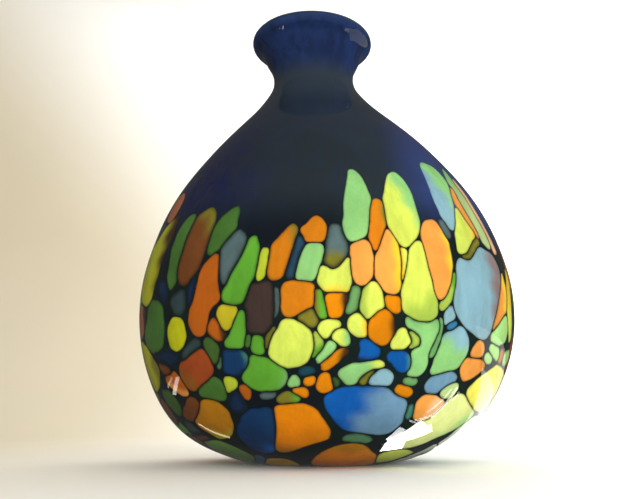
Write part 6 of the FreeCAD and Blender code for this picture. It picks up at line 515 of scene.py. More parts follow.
    ("chips_grey_blue_upper", "sky", None, 1, [(-114.43, 128.75), (-112.99, 131.49), (-112.26, 135.21), (-111.8, 139.02), (-112.08, 142.88), (-112.42, 146.72), (-112.84, 150.55), (-113.54, 154.28), (-114.51, 157.88), (-115.55, 161.43), (-116.83, 164.79), (-118.02, 162.51), (-118.36, 158.66), (-118.64, 154.81), (-118.67, 150.92), (-118.63, 147.04), (-117.79, 143.38), (-116.88, 139.75), (-116.06, 136.06), (-115.26, 132.37)]),
    ("chips_leaf_green_lower", "leafL", None, 0, [(-57.28, 25.25), (-52.95, 25.9), (-49.14, 28.18), (-45.33, 30.47), (-42.21, 33.38), (-40.28, 37.04), (-39.51, 40.98), (-40.19, 44.94), (-42.38, 48.47), (-45.84, 50.99), (-50.44, 51.41), (-55.01, 50.86), (-59.34, 49.73), (-62.52, 46.8), (-64.46, 43.19), (-66.39, 39.53), (-68.06, 35.78), (-68.03, 32.06), (-65.6, 28.69), (-61.56, 26.74)]),
    ("chips_leaf_green_lower", "leaf", None, 1, [(138.05, 39.65), (141.6, 40.02), (144.73, 42.23), (147.45, 45.04), (147.7, 48.84), (146.37, 52.7), (145.59, 56.75), (145.13, 60.85), (144.59, 64.95), (143.52, 68.89), (140.12, 70.05), (136.52, 69.31), (134.01, 66.33), (132.5, 62.55), (131.48, 58.57), (130.74, 54.52), (130.4, 50.41), (129.89, 46.32), (131.15, 42.49), (134.47, 40.73)]),
    ("chips_leaf_green_lower", "leaf", None, 1, [(-81.46, 52.7), (-78.17, 54.01), (-74.75, 55.74), (-71.12, 56.64), (-67.45, 57.13), (-63.85, 56.1), (-62.82, 60.28), (-64.23, 63.64), (-67.53, 61.75), (-71.04, 63.16), (-73.27, 66.72), (-74.2, 71.2), (-76.66, 73.91), (-79.77, 76.35), (-82.47, 77.02), (-84.08, 72.86), (-86.52, 69.38), (-86.42, 64.86), (-85.5, 60.38), (-83.82, 56.26)]),
    ("chips_leaf_green_middle", "leaf", ("olive", 180, 0.3), 0, [(-2.15, 106.7), (-0.57, 106.8), (-0.78, 109.47), (-1.16, 112.13), (-1.74, 114.72), (-2.43, 117.24), (-3.12, 117.22), (-3.24, 114.47), (-3.36, 111.74), (-3.05, 109.07)]),
    ("chips_leaf_green_middle", "leaf", None, 0, [(-25.89, 96.35), (-24.2, 96.17), (-22.57, 96.6), (-21.87, 98.99), (-21.61, 101.58), (-21.48, 104.2), (-21.29, 106.78), (-21.48, 109.38), (-22.58, 110.1), (-23.39, 107.76), (-24.06, 105.34), (-24.84, 102.98), (-25.85, 100.86), (-27.12, 99.24), (-27.46, 97.36)]),
    ("chips_leaf_green_middle", "leafD", None, 1, [(-58.17, 97.25), (-55.89, 97.44), (-53.75, 98.73), (-52, 100.96), (-51.04, 104.23), (-50.5, 107.72), (-50.3, 111.3), (-50.93, 114.73), (-52.51, 117.3), (-54.58, 118.88), (-56.82, 119.47), (-59.07, 118.85), (-60.72, 116.4), (-61.61, 113.08), (-62.78, 110), (-64.4, 107.45), (-65.49, 104.41), (-64.36, 101.56), (-62.41, 99.63), (-60.43, 97.87)]),
    ("chips_leaf_green_middle", "leaf", None, 0, [(-17.79, 93.2), (-16.69, 94.12), (-16.74, 96.37), (-16.7, 98.68), (-17.66, 100.13), (-19.16, 99.99), (-19.66, 97.88), (-19.92, 95.64), (-19.22, 93.85)]),
    ("chips_leaf_green_middle", "leafD", None, 0, [(-21.43, 96.35), (-20.76, 96.62), (-20.38, 97.62), (-20.28, 98.77), (-20.29, 99.95), (-20.81, 100.62), (-21.14, 99.78), (-21.4, 98.69), (-21.42, 97.52)]),
    ("chips_leaf_green_middle", "leaf", ("mintD", 0, 0.12), 0, [(-18.68, 78.35), (-16.79, 78.17), (-14.91, 78.36), (-13.21, 79.62), (-11.85, 81.57), (-11.28, 84.13), (-11.75, 86.68), (-13.25, 88.35), (-14.82, 89.91), (-16.51, 91.13), (-18.32, 91.92), (-20.12, 92.23), (-20.74, 89.63), (-21.68, 87.24), (-23.02, 85.36), (-23.26, 82.94), (-22.04, 80.88), (-20.42, 79.45)]),
    ("chips_leaf_green_middle", "leafD2", None, 0, [(-31.85, 90.05), (-30.55, 91.4), (-30.15, 93.85), (-30.19, 96.37), (-31.22, 98.34), (-32.56, 99.86), (-33.95, 99.5), (-33.97, 96.95), (-33.22, 94.66), (-32.52, 92.33)]),
    ("chips_leaf_green_middle", "leafD2", None, 1, [(-59.08, 67.55), (-57.21, 68.25), (-55.46, 69.47), (-54.25, 71.55), (-54.01, 74.16), (-54.67, 76.68), (-55.95, 78.69), (-57.68, 79.96), (-59.61, 80.32), (-61.56, 80.09), (-63.1, 78.56), (-63.52, 76.01), (-62.86, 73.48), (-61.83, 71.2), (-60.7, 69)]),
    ("chips_leaf_green_middle", "leafD", None, 0, [(-32.75, 74.75), (-30.97, 75.45), (-30.48, 77.99), (-30.79, 80.63), (-31.75, 82.93), (-33.39, 83.96), (-35.08, 82.69), (-36.78, 81.42), (-38.48, 80.15), (-40.18, 78.88), (-40.15, 77.14), (-38.33, 76.38), (-36.46, 75.91), (-34.59, 75.39)]),
    ("chips_leaf_green_middle", "leafD2", None, 1, [(2.36, 79.7), (2.77, 80.36), (2.81, 81.38), (2.56, 82.3), (2.06, 83.05), (1.47, 83.36), (1.41, 82.34), (1.64, 81.38), (1.85, 80.42)]),
    ("chips_leaf_green_middle", "leaf", None, 1, [(168.1, 70.7), (169.99, 70.33), (171.89, 70.86), (173.79, 71.45), (175.64, 72.24), (177.45, 73.22), (178.51, 75.36), (178.48, 78.04), (178.46, 80.73), (178.49, 83.4), (177.11, 85.2), (175.23, 85.79), (173.29, 85.76), (171.39, 85.2), (170.05, 83.32), (169.12, 80.95), (168.59, 78.35), (168.2, 75.69), (167.65, 73.1)]),
    ("chips_leaf_green_middle", "leaf", None, 0, [(-150.05, 89.6), (-148.33, 89.63), (-146.65, 90.36), (-145.42, 92.16), (-144.62, 94.54), (-143.83, 96.92), (-143.16, 99.37), (-144.2, 101.33), (-145.82, 102.1), (-147.55, 101.75), (-149.3, 101.78), (-151.01, 102.3), (-152.43, 101.36), (-152.37, 98.71), (-151.98, 96.11), (-151.8, 93.46), (-151.56, 90.86)]),
    ("chips_leaf_green_middle", "leaf", None, 0, [(-131.93, 86.9), (-130.15, 86.75), (-128.43, 87.73), (-126.95, 89.36), (-125.52, 91.1), (-124.1, 92.85), (-123.23, 95.17), (-124.13, 97.45), (-125.88, 98.28), (-127.64, 99.07), (-129.43, 99.65), (-131.26, 99.93), (-132.93, 99.08), (-133.93, 96.76), (-134.1, 94.02), (-133.91, 91.27), (-133.33, 88.65)]),
    ("chips_leaf_green_middle", "leaf", None, 1, [(77.65, 97.25), (79.34, 97.3), (80.88, 98.74), (82.13, 100.76), (82.77, 103.25), (82.17, 105.9), (81.63, 108.57), (80.75, 111.02), (79.69, 113.29), (78.24, 114.8), (77.37, 112.81), (77.08, 110.06), (75.88, 108.05), (74.13, 107.83), (72.61, 109.32), (71.65, 107.47), (72.9, 105.56), (74.35, 103.88), (75.52, 101.76), (76.52, 99.42)]),
    ("chips_leaf_green_middle", "leaf", None, 0, [(103.57, 102.2), (105.2, 101.76), (106.86, 102.02), (108.47, 102.73), (109.67, 104.5), (110.01, 107.05), (109.37, 109.42), (108.15, 111.14), (106.59, 110.32), (105.11, 111.04), (105.1, 113.55), (105.94, 115.6), (104.58, 116.08), (103.23, 114.54), (102.6, 112.2), (102.6, 109.57), (102.85, 106.97), (102.78, 104.35)]),
    ("chips_leaf_green_middle", "leafD", None, 1, [(120.56, 101.3), (122.2, 101.81), (123.15, 104.01), (122.6, 106.59), (121.99, 109.15), (121.32, 111.67), (120.32, 113.84), (118.62, 114.33), (116.89, 114.5), (115.17, 114.84), (114.28, 112.65), (114.55, 109.99), (115.32, 107.54), (116.25, 105.23), (117.32, 103.07), (118.86, 101.86)]),
    ("chips_leaf_green_middle", "leafD", None, 0, [(141.28, 99.95), (142.55, 101.45), (142.97, 104.05), (142.77, 106.71), (142.42, 109.35), (141.9, 111.9), (141.03, 114.22), (139.67, 115.79), (138, 116.37), (136.31, 115.9), (134.7, 115.02), (133.66, 112.96), (133.28, 110.33), (133.05, 107.66), (132.83, 105), (133.71, 102.94), (135.42, 102.91), (137.06, 103.66), (138.75, 103.42), (139.9, 101.48)]),
    ("chips_leaf_green_middle", "leaf", None, 1, [(-137.1, 102.65), (-135.47, 102.87), (-134.33, 104.75), (-133.92, 107.3), (-133.57, 109.87), (-133.21, 112.44), (-133.54, 114.89), (-135.08, 115.65), (-136.74, 115.21), (-138.29, 114.27), (-139.57, 112.58), (-140.51, 110.46), (-140.22, 107.92), (-139.67, 105.44), (-138.69, 103.44)]),
    ("chips_leaf_green_middle", "leafD", None, 0, [(-92.45, 99.95), (-91.16, 101.42), (-90.47, 103.88), (-90.49, 106.57), (-90.66, 109.25), (-91, 111.9), (-92.12, 113.79), (-93.84, 113.9), (-95.51, 114.48), (-97.14, 115.22), (-97.82, 113.07), (-97.85, 110.37), (-98.57, 107.96), (-99.59, 105.79), (-98.88, 103.66), (-97.37, 102.37), (-95.76, 101.46), (-94.09, 100.75)]),
    ("chips_leaf_green_upper", "leafD", None, 1, [(-46.85, 122.9), (-44.95, 125.17), (-44.77, 128.99), (-44.77, 132.89), (-44.45, 136.72), (-43.87, 140.47), (-43.66, 144.32), (-43.15, 148.1), (-42.65, 151.87), (-42.49, 155.54), (-44.38, 156.85), (-46.59, 155.28), (-48.09, 152.19), (-49.02, 148.67), (-49.42, 144.87), (-49.92, 141.11), (-49.62, 137.29), (-49.33, 133.47), (-49.01, 129.65), (-48.4, 125.92)]),
    ("chips_leaf_green_upper", "leafD", None, 1, [(-32.75, 135.05), (-31.27, 135.67), (-29.88, 137.32), (-28.78, 139.41), (-27.69, 141.5), (-26.59, 143.6), (-25.62, 145.84), (-25.33, 148.46), (-25.08, 151.08), (-25.13, 153.78), (-25.85, 156.05), (-27.45, 155.73), (-28.95, 154.33), (-30.22, 152.51), (-31.14, 150.22), (-31.89, 147.83), (-32.46, 145.3), (-32.83, 142.69), (-33.12, 140.07), (-33.42, 137.45)]),
    ("chips_leaf_green_upper", "leaf", None, 1, [(-25.59, 113.45), (-23.46, 113.27), (-21.7, 114.83), (-20.58, 117.67), (-19.8, 120.82), (-19.07, 123.94), (-18.62, 127.21), (-18.27, 130.51), (-18.18, 133.9), (-18.25, 137.3), (-18.87, 140.51), (-20.31, 139.47), (-21.19, 136.39), (-22.07, 133.3), (-23.08, 130.3), (-24.29, 127.51), (-25.34, 124.55), (-26.23, 121.46), (-27.13, 118.51), (-27.19, 115.26)]),
    ("chips_leaf_green_upper", "leaf", None, 0, [(72.83, 114.8), (74.72, 115.39), (76.49, 116.55), (77.75, 118.86), (78.34, 121.76), (78.63, 124.79), (78.76, 127.82), (78.34, 130.82), (77.75, 133.74), (77.19, 136.68), (76.08, 138.89), (74.55, 137.1), (73.3, 134.75), (72.1, 132.34), (70.9, 129.94), (69.88, 127.34), (69.04, 124.58), (69.27, 121.56), (70.03, 118.75), (71.15, 116.25)]),
    ("chips_leaf_green_upper", "leafD", None, 0, [(110.7, 109.85), (112.51, 111.15), (113.51, 113.93), (114.26, 116.96), (114.32, 120.23), (114.32, 123.49), (114.38, 126.76), (114.54, 129.99), (113.69, 132.95), (112.48, 135.59), (110.7, 134.88), (108.86, 133.46), (106.93, 132.5), (106.03, 129.61), (105.88, 126.36), (105.65, 123.13), (105.6, 119.86), (106.59, 117.08), (107.89, 114.55), (109.19, 112.02)]),
    ("chips_leaf_green_upper", "leafD", None, 0, [(124.65, 117.5), (126.24, 117.78), (127.47, 119.61), (128.46, 121.78), (128.88, 124.34), (128.82, 127.02), (128.44, 129.63), (128.06, 132.24), (127.63, 134.84), (126.69, 136.74), (125.68, 134.66), (124.88, 132.29), (124.12, 129.9), (123.55, 127.37), (123.28, 124.74), (123.28, 122.06), (123.52, 119.43)]),
    ("chips_leaf_green_upper", "leafD", None, 0, [(142.2, 117.05), (144.05, 117.5), (145.68, 119.47), (147.31, 121.45), (149.01, 123.26), (149.41, 126.34), (148.97, 129.51), (148.3, 132.58), (147.54, 135.59), (146.77, 138.6), (145.86, 141.5), (144.4, 140.83), (143.14, 138.27), (141.46, 136.5), (139.72, 135.18), (139.32, 132.03), (139.31, 128.79), (139.53, 125.57), (140, 122.42), (140.85, 119.47)]),
    ("chips_leaf_green_upper", "leaf", None, 1, [(-140.83, 113.9), (-139.27, 114.98), (-137.64, 116.37), (-135.81, 116.96), (-133.95, 116.98), (-132.56, 118.16), (-132.43, 121.08), (-132.81, 123.97), (-133.51, 126.69), (-134.5, 129.19), (-135.61, 131.56), (-136.82, 133.8), (-138.32, 135.47), (-139.64, 133.62), (-140.57, 131.06), (-141.31, 128.35), (-141.62, 125.46), (-141.62, 122.51), (-141.56, 119.57), (-141.32, 116.65)]),
    ("chips_leaf_green_upper", "leafD", None, 0, [(-94.88, 115.7), (-93.2, 115.27), (-91.66, 116.16), (-90.84, 118.53), (-90.26, 121.08), (-89.81, 123.68), (-89.94, 126.37), (-90.39, 128.98), (-90.97, 131.52), (-91.73, 133.95), (-92.82, 135.97), (-94.32, 135.17), (-95.26, 132.91), (-96.04, 130.5), (-96.52, 127.91), (-96.62, 125.21), (-96.62, 122.5), (-96.65, 119.79), (-96.27, 117.16)]),
    ("chips_leaf_green_upper", "leafD", None, 1, [(140.56, 138.2), (142.81, 139.99), (144.23, 143.51), (145.05, 147.41), (145.45, 151.46), (145.83, 155.52), (146.31, 159.55), (146.84, 163.57), (146.6, 167.64), (146.26, 171.7), (145.73, 175.71), (144.07, 173.92), (142.98, 170.15), (142.07, 166.27), (141.26, 162.35), (140.6, 158.37), (140.23, 154.32), (139.94, 150.25), (139.94, 146.15), (139.94, 142.05)]),
    ("chips_leaf_green_upper", "leafD", None, 1, [(-175.23, 126.95), (-173.87, 128.96), (-173.27, 132.46), (-172.82, 136.01), (-172.57, 139.6), (-172.6, 143.21), (-172.8, 146.81), (-172.79, 150.43), (-172.89, 154.02), (-173.37, 157.56), (-174.19, 160.86), (-175.46, 158.15), (-176.26, 154.74), (-177.01, 151.31), (-177.61, 147.81), (-178.02, 144.24), (-178.07, 140.63), (-177.63, 137.08), (-177.05, 133.58), (-176.33, 130.13)]),
    ("chips_leaf_green_upper", "leafD", None, 0, [(-132.65, 136.4), (-130.56, 138.42), (-129.6, 142.16), (-129.07, 146.09), (-128.77, 150.08), (-128.54, 154.06), (-128.84, 158.04), (-129.41, 161.96), (-130.29, 165.76), (-131.3, 169.48), (-132.64, 172.96), (-134.23, 170.58), (-135.17, 166.81), (-135.85, 162.93), (-136.35, 158.98), (-136.63, 155), (-136.34, 151.02), (-135.9, 147.06), (-135.31, 143.14), (-134.35, 139.39)]),
    ("chips_lime_lower", "limeP", ("mintL", 330, 0.2), 0, [(31.73, 45.5), (36.17, 45.77), (40.57, 46.68), (44.48, 49.07), (47.32, 53.23), (51.06, 56.25), (54.23, 60.09), (57.55, 63.74), (59.44, 67.35), (55.54, 70.08), (51.55, 72.6), (47.64, 75.31), (43.47, 77), (40.11, 73.42), (37.85, 68.74), (35.21, 64.59), (31.37, 62.05), (28.73, 57.7), (26.91, 52.75), (27.57, 47.45)]),
    ("chips_lime_lower", "limeL", None, 0, [(39.53, 26.6), (42.76, 26.56), (45.96, 27.1), (47.81, 29.18), (48.73, 31.75), (48.73, 34.42), (48.96, 37.09), (48.8, 39.76), (46.45, 41.45), (43.37, 42.35), (40.19, 42.94), (36.92, 42.94), (33.71, 42.46), (30.65, 41.55), (28.93, 39.45), (29.86, 36.89), (31.1, 34.41), (32.68, 32.07), (34.42, 29.8), (36.69, 27.91)]),
    ("chips_lime_lower", "limeP", None, 0, [(82.43, 47.3), (85.08, 48.37), (86.44, 51.63), (87.13, 55.19), (87.37, 58.83), (85.74, 61.86), (85.37, 65.4), (86.5, 68.76), (84.37, 71.13), (81.4, 70.78), (78.37, 70.69), (75.32, 70.67), (72.94, 68.75), (71.77, 65.38), (71.46, 61.78), (71.7, 58.13), (71.98, 54.49), (74.37, 52.41), (77.16, 50.95), (79.83, 49.18)]),
    ("chips_lime_lower", "limeL", None, 1, [(114.92, 18.05), (120.7, 17.8), (126.53, 17.8), (132.35, 17.8), (138.17, 17.8), (144, 17.81), (147.21, 20.45), (144.44, 23.95), (142.27, 27.71), (141.08, 31.68), (139.76, 35.63), (136.23, 38.56), (131.1, 40.45), (125.66, 41.52), (120.58, 39.64), (116.82, 36.56), (113.9, 33.05), (111.28, 29.42), (110.88, 25.47), (112.12, 21.51)]),
    ("chips_lime_middle", "limeD", None, 0, [(-46.29, 96.8), (-44.71, 97.41), (-43.18, 98.47), (-41.95, 100.31), (-40.98, 102.46), (-41.22, 104.95), (-41.63, 107.49), (-42.88, 109.02), (-44.51, 109.58), (-46.21, 109.46), (-47.57, 107.9), (-48.41, 105.61), (-48.72, 103.07), (-48.51, 100.49), (-47.74, 98.13)]),
    ("chips_lime_middle", "limeL", None, 0, [(-11.79, 88.25), (-10.01, 88.07), (-8.26, 88.57), (-6.59, 89.53), (-5.16, 91.07), (-4.26, 93.36), (-3.78, 95.97), (-4.02, 98.64), (-4.59, 101.21), (-5.77, 103.22), (-7.32, 104.56), (-8.99, 105.52), (-10.79, 105.52), (-12.11, 103.79), (-13.26, 101.7), (-14.19, 99.37), (-14.82, 96.82), (-15.12, 94.16), (-14.61, 91.58), (-13.32, 89.66)]),
    ("chips_lime_middle", "limeM", ("leaf", 300, 0.4), 0, [(-4.05, 91.4), (-2.71, 93.02), (-1.63, 95.11), (-1.43, 97.6), (-2.29, 99.89), (-3.53, 101.67), (-3.42, 99.27), (-3.42, 96.59), (-3.54, 93.94)]),
    ("chips_lime_middle", "limeL", None, 0, [(-1.26, 99.05), (0.1, 100.12), (1.3, 102.19), (2.82, 103.66), (1.91, 105.55), (0.16, 105.98), (-1.54, 105.16), (-2.57, 103.28), (-2.4, 101.21)]),
    ("chips_lime_middle", "limeL", ("mint", 0, 0.3), 0, [(3.51, 96.35), (4.91, 96.32), (4.87, 98.46), (4.37, 100.49), (3.49, 102.05), (2.16, 102.07), (1.21, 100.56), (1.09, 98.61), (2.23, 97.32)]),
    ("chips_lime_middle", "limeL", ("limeM", 180, 0.3), 0, [(9.24, 106.7), (10.76, 107.82), (12.04, 109.73), (13.52, 111.22), (13.53, 113.96), (12.95, 116.57), (12.25, 119.1), (10.89, 120.51), (9.42, 119.17), (8.47, 116.84), (7.95, 114.22), (7.68, 111.52), (8.22, 108.94)]),
    ("chips_lime_middle", "limeL", ("yellow", 0, 0.2), 0, [(7.71, 99.95), (9.34, 100.09), (9.42, 102.86), (9.09, 105.55), (7.91, 107.6), (6.41, 108.35), (5.28, 106.27), (5.19, 103.64), (6.18, 101.36)]),
    ("chips_lime_middle", "limeL", None, 0, [(16.73, 95.45), (18.45, 95.71), (20.18, 96.2), (21.39, 98.05), (20.69, 100.53), (19.59, 102.68), (18.26, 102.3), (17.25, 100.06), (16.37, 97.78)]),
    ("chips_lime_middle", "limeM", None, 1, [(21.17, 95.9), (22.59, 96.1), (23.81, 97.25), (23.92, 99.31), (22.95, 100.98), (21.63, 101.99), (20.63, 101.96), (21.39, 100.03), (21.77, 97.89)]),
    ("chips_lime_middle", "limeD", ("olive", 0, 0.3), 0, [(-70.82, 81.05), (-68.4, 80.98), (-65.99, 81.35), (-63.72, 82.48), (-61.59, 84.23), (-59.82, 86.67), (-59.12, 90), (-60.39, 93.02), (-62.14, 95.53), (-63.96, 97.92), (-65.93, 100.04), (-68.07, 101.72), (-70.37, 102.9), (-72.71, 103.25), (-73.69, 99.99), (-74.24, 96.52), (-74.72, 93.01), (-74.65, 89.51), (-74.32, 85.94), (-72.59, 83.44)]),
    ("chips_lime_middle", "lime", None, 0, [(-29.44, 77.9), (-28.37, 78.79), (-27.16, 79.79), (-26.2, 81.24), (-26.47, 83.04), (-27.69, 83.92), (-29.05, 83.6), (-29.52, 81.9), (-29.52, 79.9)]),
    ("chips_lime_middle", "limeL", None, 0, [(125.32, 68.9), (127.48, 68.46), (129.63, 68.95), (131.4, 70.69), (132.39, 73.33), (132.22, 76.38), (131.89, 79.4), (131.3, 82.34), (130.19, 84.85), (128.03, 85.16), (125.92, 85.94), (123.89, 87.08), (121.79, 87.77), (120.25, 85.7), (120.05, 82.68), (119.96, 79.63), (119.55, 76.62), (119.81, 73.7), (121.53, 71.81), (123.3, 70.02)]),
    ("chips_lime_middle", "limeL", None, 1, [(164.65, 72.95), (166.4, 73.24), (167.11, 75.73), (167.51, 78.37), (167.99, 80.98), (168.81, 83.41), (169.63, 85.8), (168.19, 87.28), (166.38, 88.08), (164.58, 87.74), (162.87, 86.57), (161.1, 85.58), (159.31, 84.68), (157.92, 83.07), (158.11, 80.39), (158.17, 77.69), (159.29, 75.64), (161.01, 74.49), (162.82, 73.69)]),
    ("chips_lime_middle", "limeM", None, 0, [(83.78, 85.55), (85.52, 85.65), (87, 87.25), (88.18, 89.33), (88.49, 92.04), (88.66, 94.78), (88.34, 97.48), (87.53, 99.93), (85.86, 100.85), (84.05, 101.06), (82.63, 99.39), (81.46, 97.29), (80.92, 94.66), (80.64, 91.94), (81.25, 89.36), (82.29, 87.11)]),
    ("chips_lime_middle", "limeL", None, 0, [(117.69, 87.35), (119.38, 87.1), (120.69, 88.78), (121.2, 91.22), (121.46, 93.81), (121.49, 96.42), (121.27, 98.99), (119.74, 100.04), (118.03, 100.53), (116.61, 99.23), (115.63, 97.07), (114.79, 94.78), (114.15, 92.35), (114.72, 89.97), (116.1, 88.42)]),
    ("chips_lime_middle", "limeL", None, 0, [(156.84, 85.55), (158.57, 85.89), (160.26, 86.73), (161.94, 87.61), (163.58, 88.63), (164.78, 90.49), (164.53, 93.13), (163.98, 95.69), (163.41, 98.23), (162.19, 99.89), (160.41, 100.01), (158.66, 100.45), (156.9, 100.85), (155.14, 101.21), (153.95, 99.58), (154.11, 96.92), (154.2, 94.25), (154.2, 91.56), (154.25, 88.88), (155.28, 86.83)]),
    ("chips_lime_middle", "limeM", None, 0, [(-178.92, 90.5), (-177.18, 90.51), (-175.92, 92.14), (-175.35, 94.69), (-175.15, 97.37), (-174.81, 100.02), (-174.55, 102.64), (-176.2, 102.87), (-177.92, 102.24), (-179.42, 101.01), (-179.58, 98.34), (-179.58, 95.65), (-179.55, 92.95)]),
    ("chips_lime_middle", "limeL", None, 0, [(-160.13, 86), (-158.4, 85.65), (-156.75, 86.51), (-155.18, 87.69), (-153.7, 89.1), (-152.75, 91.24), (-152.72, 93.88), (-153.03, 96.48), (-153.35, 99.08), (-154.27, 101.11), (-156.01, 100.79), (-157.72, 100.18), (-159.42, 99.58), (-161.18, 99.47), (-162.68, 98.34), (-163.32, 95.89), (-163.49, 93.26), (-163.49, 90.62), (-163.29, 88.02), (-161.82, 86.67)]),
    ("chips_lime_middle", "limeL", None, 0, [(-115.45, 89.15), (-113.69, 88.85), (-112.53, 90.72), (-112.23, 93.44), (-112.2, 96.21), (-112.35, 98.94), (-113.42, 101.13), (-115.13, 102.02), (-116.93, 102.13), (-118.69, 101.48), (-120.09, 99.78), (-120.08, 97.23), (-118.4, 96.87), (-116.61, 97.25), (-115.05, 96.28), (-115.01, 93.55), (-115.97, 91.24)]),
    ("chips_lime_middle", "limeL", None, 0, [(-162.04, 101.3), (-160.38, 100.88), (-158.69, 101.33), (-157.02, 101.95), (-155.34, 102.46), (-153.66, 103.01), (-152.97, 105.28), (-153.3, 107.92), (-153.6, 110.57), (-154.06, 113.14), (-155.2, 115.07), (-156.67, 116.47), (-158.2, 116.46), (-158.97, 114.07), (-160.06, 112.01), (-161.48, 110.54), (-162.8, 108.92), (-162.92, 106.25), (-162.91, 103.56)]),
    ("chips_lime_upper", "limeD", ("brown", 0, 0.25), 1, [(-63.23, 119.3), (-59.33, 119.57), (-57.12, 124.47), (-55.27, 129.87), (-54.21, 135.76), (-53.12, 141.64), (-51.99, 147.5), (-51.46, 153.56), (-51.79, 159.58), (-54.95, 157.97), (-58.63, 155.75), (-62.25, 153.32), (-65.52, 149.91), (-68.91, 146.83), (-69.99, 141.06), (-72.92, 137.08), (-71.61, 132.47), (-73, 128.57), (-70.17, 124.42), (-67.02, 121.03)]),
    ("chips_lime_upper", "lime", None, 0, [(-17.6, 121.55), (-16.41, 123.14), (-15.95, 125.76), (-15.48, 128.37), (-15.48, 131.12), (-15.48, 133.87), (-16.29, 134.62), (-17.04, 132.19), (-17.22, 129.5), (-17.47, 126.83), (-17.76, 124.16)]),
    ("chips_lime_upper", "limeL", ("yellow", 270, 0.12), 0, [(-0.37, 117.05), (1.3, 116.87), (2.98, 116.87), (4.67, 116.97), (5.22, 119.36), (5.22, 122.04), (5.22, 124.72), (5.22, 127.39), (5.19, 130.07), (4.45, 129.76), (3.39, 127.7), (2.25, 125.76), (0.7, 124.98), (-0.76, 126.25), (-1.87, 126.34), (-2.24, 123.76), (-2.34, 121.23), (-1.62, 118.86)]),
    ("chips_lime_upper", "limeL", ("mint", 20, 0.34), 0, [(19.65, 135.95), (22.04, 138.27), (23.75, 141.81), (24.93, 145.81), (25.64, 150.02), (25.92, 154.33), (25.92, 158.56), (25.92, 162.94), (25.36, 167.17), (24.43, 171.22), (22.45, 174.31), (20.03, 172.45), (18.52, 168.71), (17.5, 164.69), (16.68, 160.53), (16.38, 156.22), (16.08, 151.92), (16.08, 147.53), (16.66, 143.33), (17.89, 139.35)]),
    ("chips_lime_upper", "limeL", ("yellow", 180, 0.4), 0, [(18.59, 122), (19.01, 124.01), (19.52, 126.53), (19.92, 129.12), (20.22, 131.73), (20.17, 134.41), (18.85, 135.41), (18.78, 132.72), (18.78, 130.03), (18.78, 127.34), (18.52, 124.69)]),
    ("chips_lime_upper", "limeL", ("limeM", 300, 0.3), 0, [(22.7, 106.7), (25.24, 106.52), (27.56, 107.95), (28.62, 111.41), (28.3, 115.36), (27.38, 119.09), (26.81, 122.96), (26.25, 126.83), (25.92, 130.79), (25.52, 134.73), (25.01, 138.66), (22.98, 137.73), (21.47, 134.57), (20.58, 130.83), (19.97, 126.95), (19.37, 123.07), (18.79, 119.17), (18.48, 115.21), (18.77, 111.26), (20.36, 108.29)]),
    ("chips_lime_upper", "limeM", ("leaf", 0, 0.3), 0, [(29.38, 111.65), (31, 112.13), (32.25, 113.96), (33.19, 116.18), (33.87, 118.64), (34.4, 121.19), (34.62, 123.84), (34.82, 126.45), (34.44, 127.46), (34.07, 124.88), (33.52, 122.38), (32.84, 119.92), (31.96, 117.63), (30.95, 115.49), (29.59, 113.9)]),
    ("chips_lime_upper", "limeL", ("yellow", 0, 0.2), 0, [(37.79, 136.85), (39.69, 136.85), (41.36, 138.44), (42.78, 140.55), (44.19, 142.67), (45.7, 144.59), (47.28, 146.4), (47.29, 148.98), (46.2, 151.46), (45.07, 153.9), (44.23, 156.6), (43.6, 159.43), (42.63, 159.06), (41.61, 156.5), (40.65, 153.88), (39.86, 151.16), (39.09, 148.4), (38.42, 145.59), (37.97, 142.7), (37.56, 139.81)]),
    ("chips_lime_upper", "limeL", None, 1, [(102.09, 116.15), (103.87, 117.2), (104.71, 119.89), (104.74, 123.04), (105.02, 126.16), (105.06, 129.31), (104.83, 132.4), (104.06, 135.31), (103.14, 138.1), (102.13, 140.83), (100.83, 143.12), (99.64, 140.86), (98.89, 137.93), (98.33, 134.91), (97.87, 131.84), (97.61, 128.72), (97.62, 125.57), (97.88, 122.45), (98.85, 119.82), (100.44, 117.9)]),
    ("chips_lime_upper", "limeL", None, 0, [(119.33, 115.7), (120.95, 116.13), (121.82, 118.47), (122.4, 121.01), (122.42, 123.73), (122.24, 126.43), (121.5, 128.88), (120.58, 131.18), (119.6, 133.41), (118.42, 135.35), (116.99, 134.33), (116.09, 132.02), (115.51, 129.48), (115.31, 126.78), (115.18, 124.08), (115.18, 121.36), (115.19, 118.63), (115.94, 116.42), (117.61, 115.77)]),
    ("chips_lime_upper", "limeL", None, 0, [(163.45, 116.15), (165.34, 117.37), (166.46, 120.43), (167.23, 123.75), (167.49, 127.24), (167.72, 130.75), (167.72, 134.29), (167.73, 137.83), (167.37, 141.31), (166.79, 144.72), (165.51, 147.18), (164.23, 144.39), (163.43, 141.09), (162.65, 137.77), (161.91, 134.43), (161.25, 131.05), (160.68, 127.63), (160.13, 124.2), (160.13, 120.68), (161.57, 118.01)]),
    ("chips_lime_upper", "limeL", None, 1, [(159.21, 128.75), (160.35, 131.6), (161.09, 135.29), (161.9, 138.96), (162.79, 142.58), (163.41, 146.3), (163.05, 150.11), (162.36, 153.83), (161.54, 157.49), (160.54, 161.04), (158.99, 163.82), (157.5, 160.82), (156.36, 157.36), (155.42, 153.76), (154.65, 150.08), (154.11, 146.31), (154.83, 142.68), (155.98, 139.23), (157.01, 135.7), (158.1, 132.21)]),
    ("chips_lime_upper", "limeD", None, 0, [(177.59, 134.6), (178.67, 137.11), (179.22, 140.05), (179.55, 143.06), (179.27, 146.08), (178.89, 149.08), (178.4, 152.04), (177.81, 154.97), (177.16, 157.87), (176.43, 160.72), (175.44, 163.33), (174.75, 160.85), (174.44, 157.83), (174.43, 154.78), (174.17, 151.75), (174.21, 148.7), (174.78, 145.77), (175.34, 142.83), (175.97, 139.92), (176.55, 136.99)]),
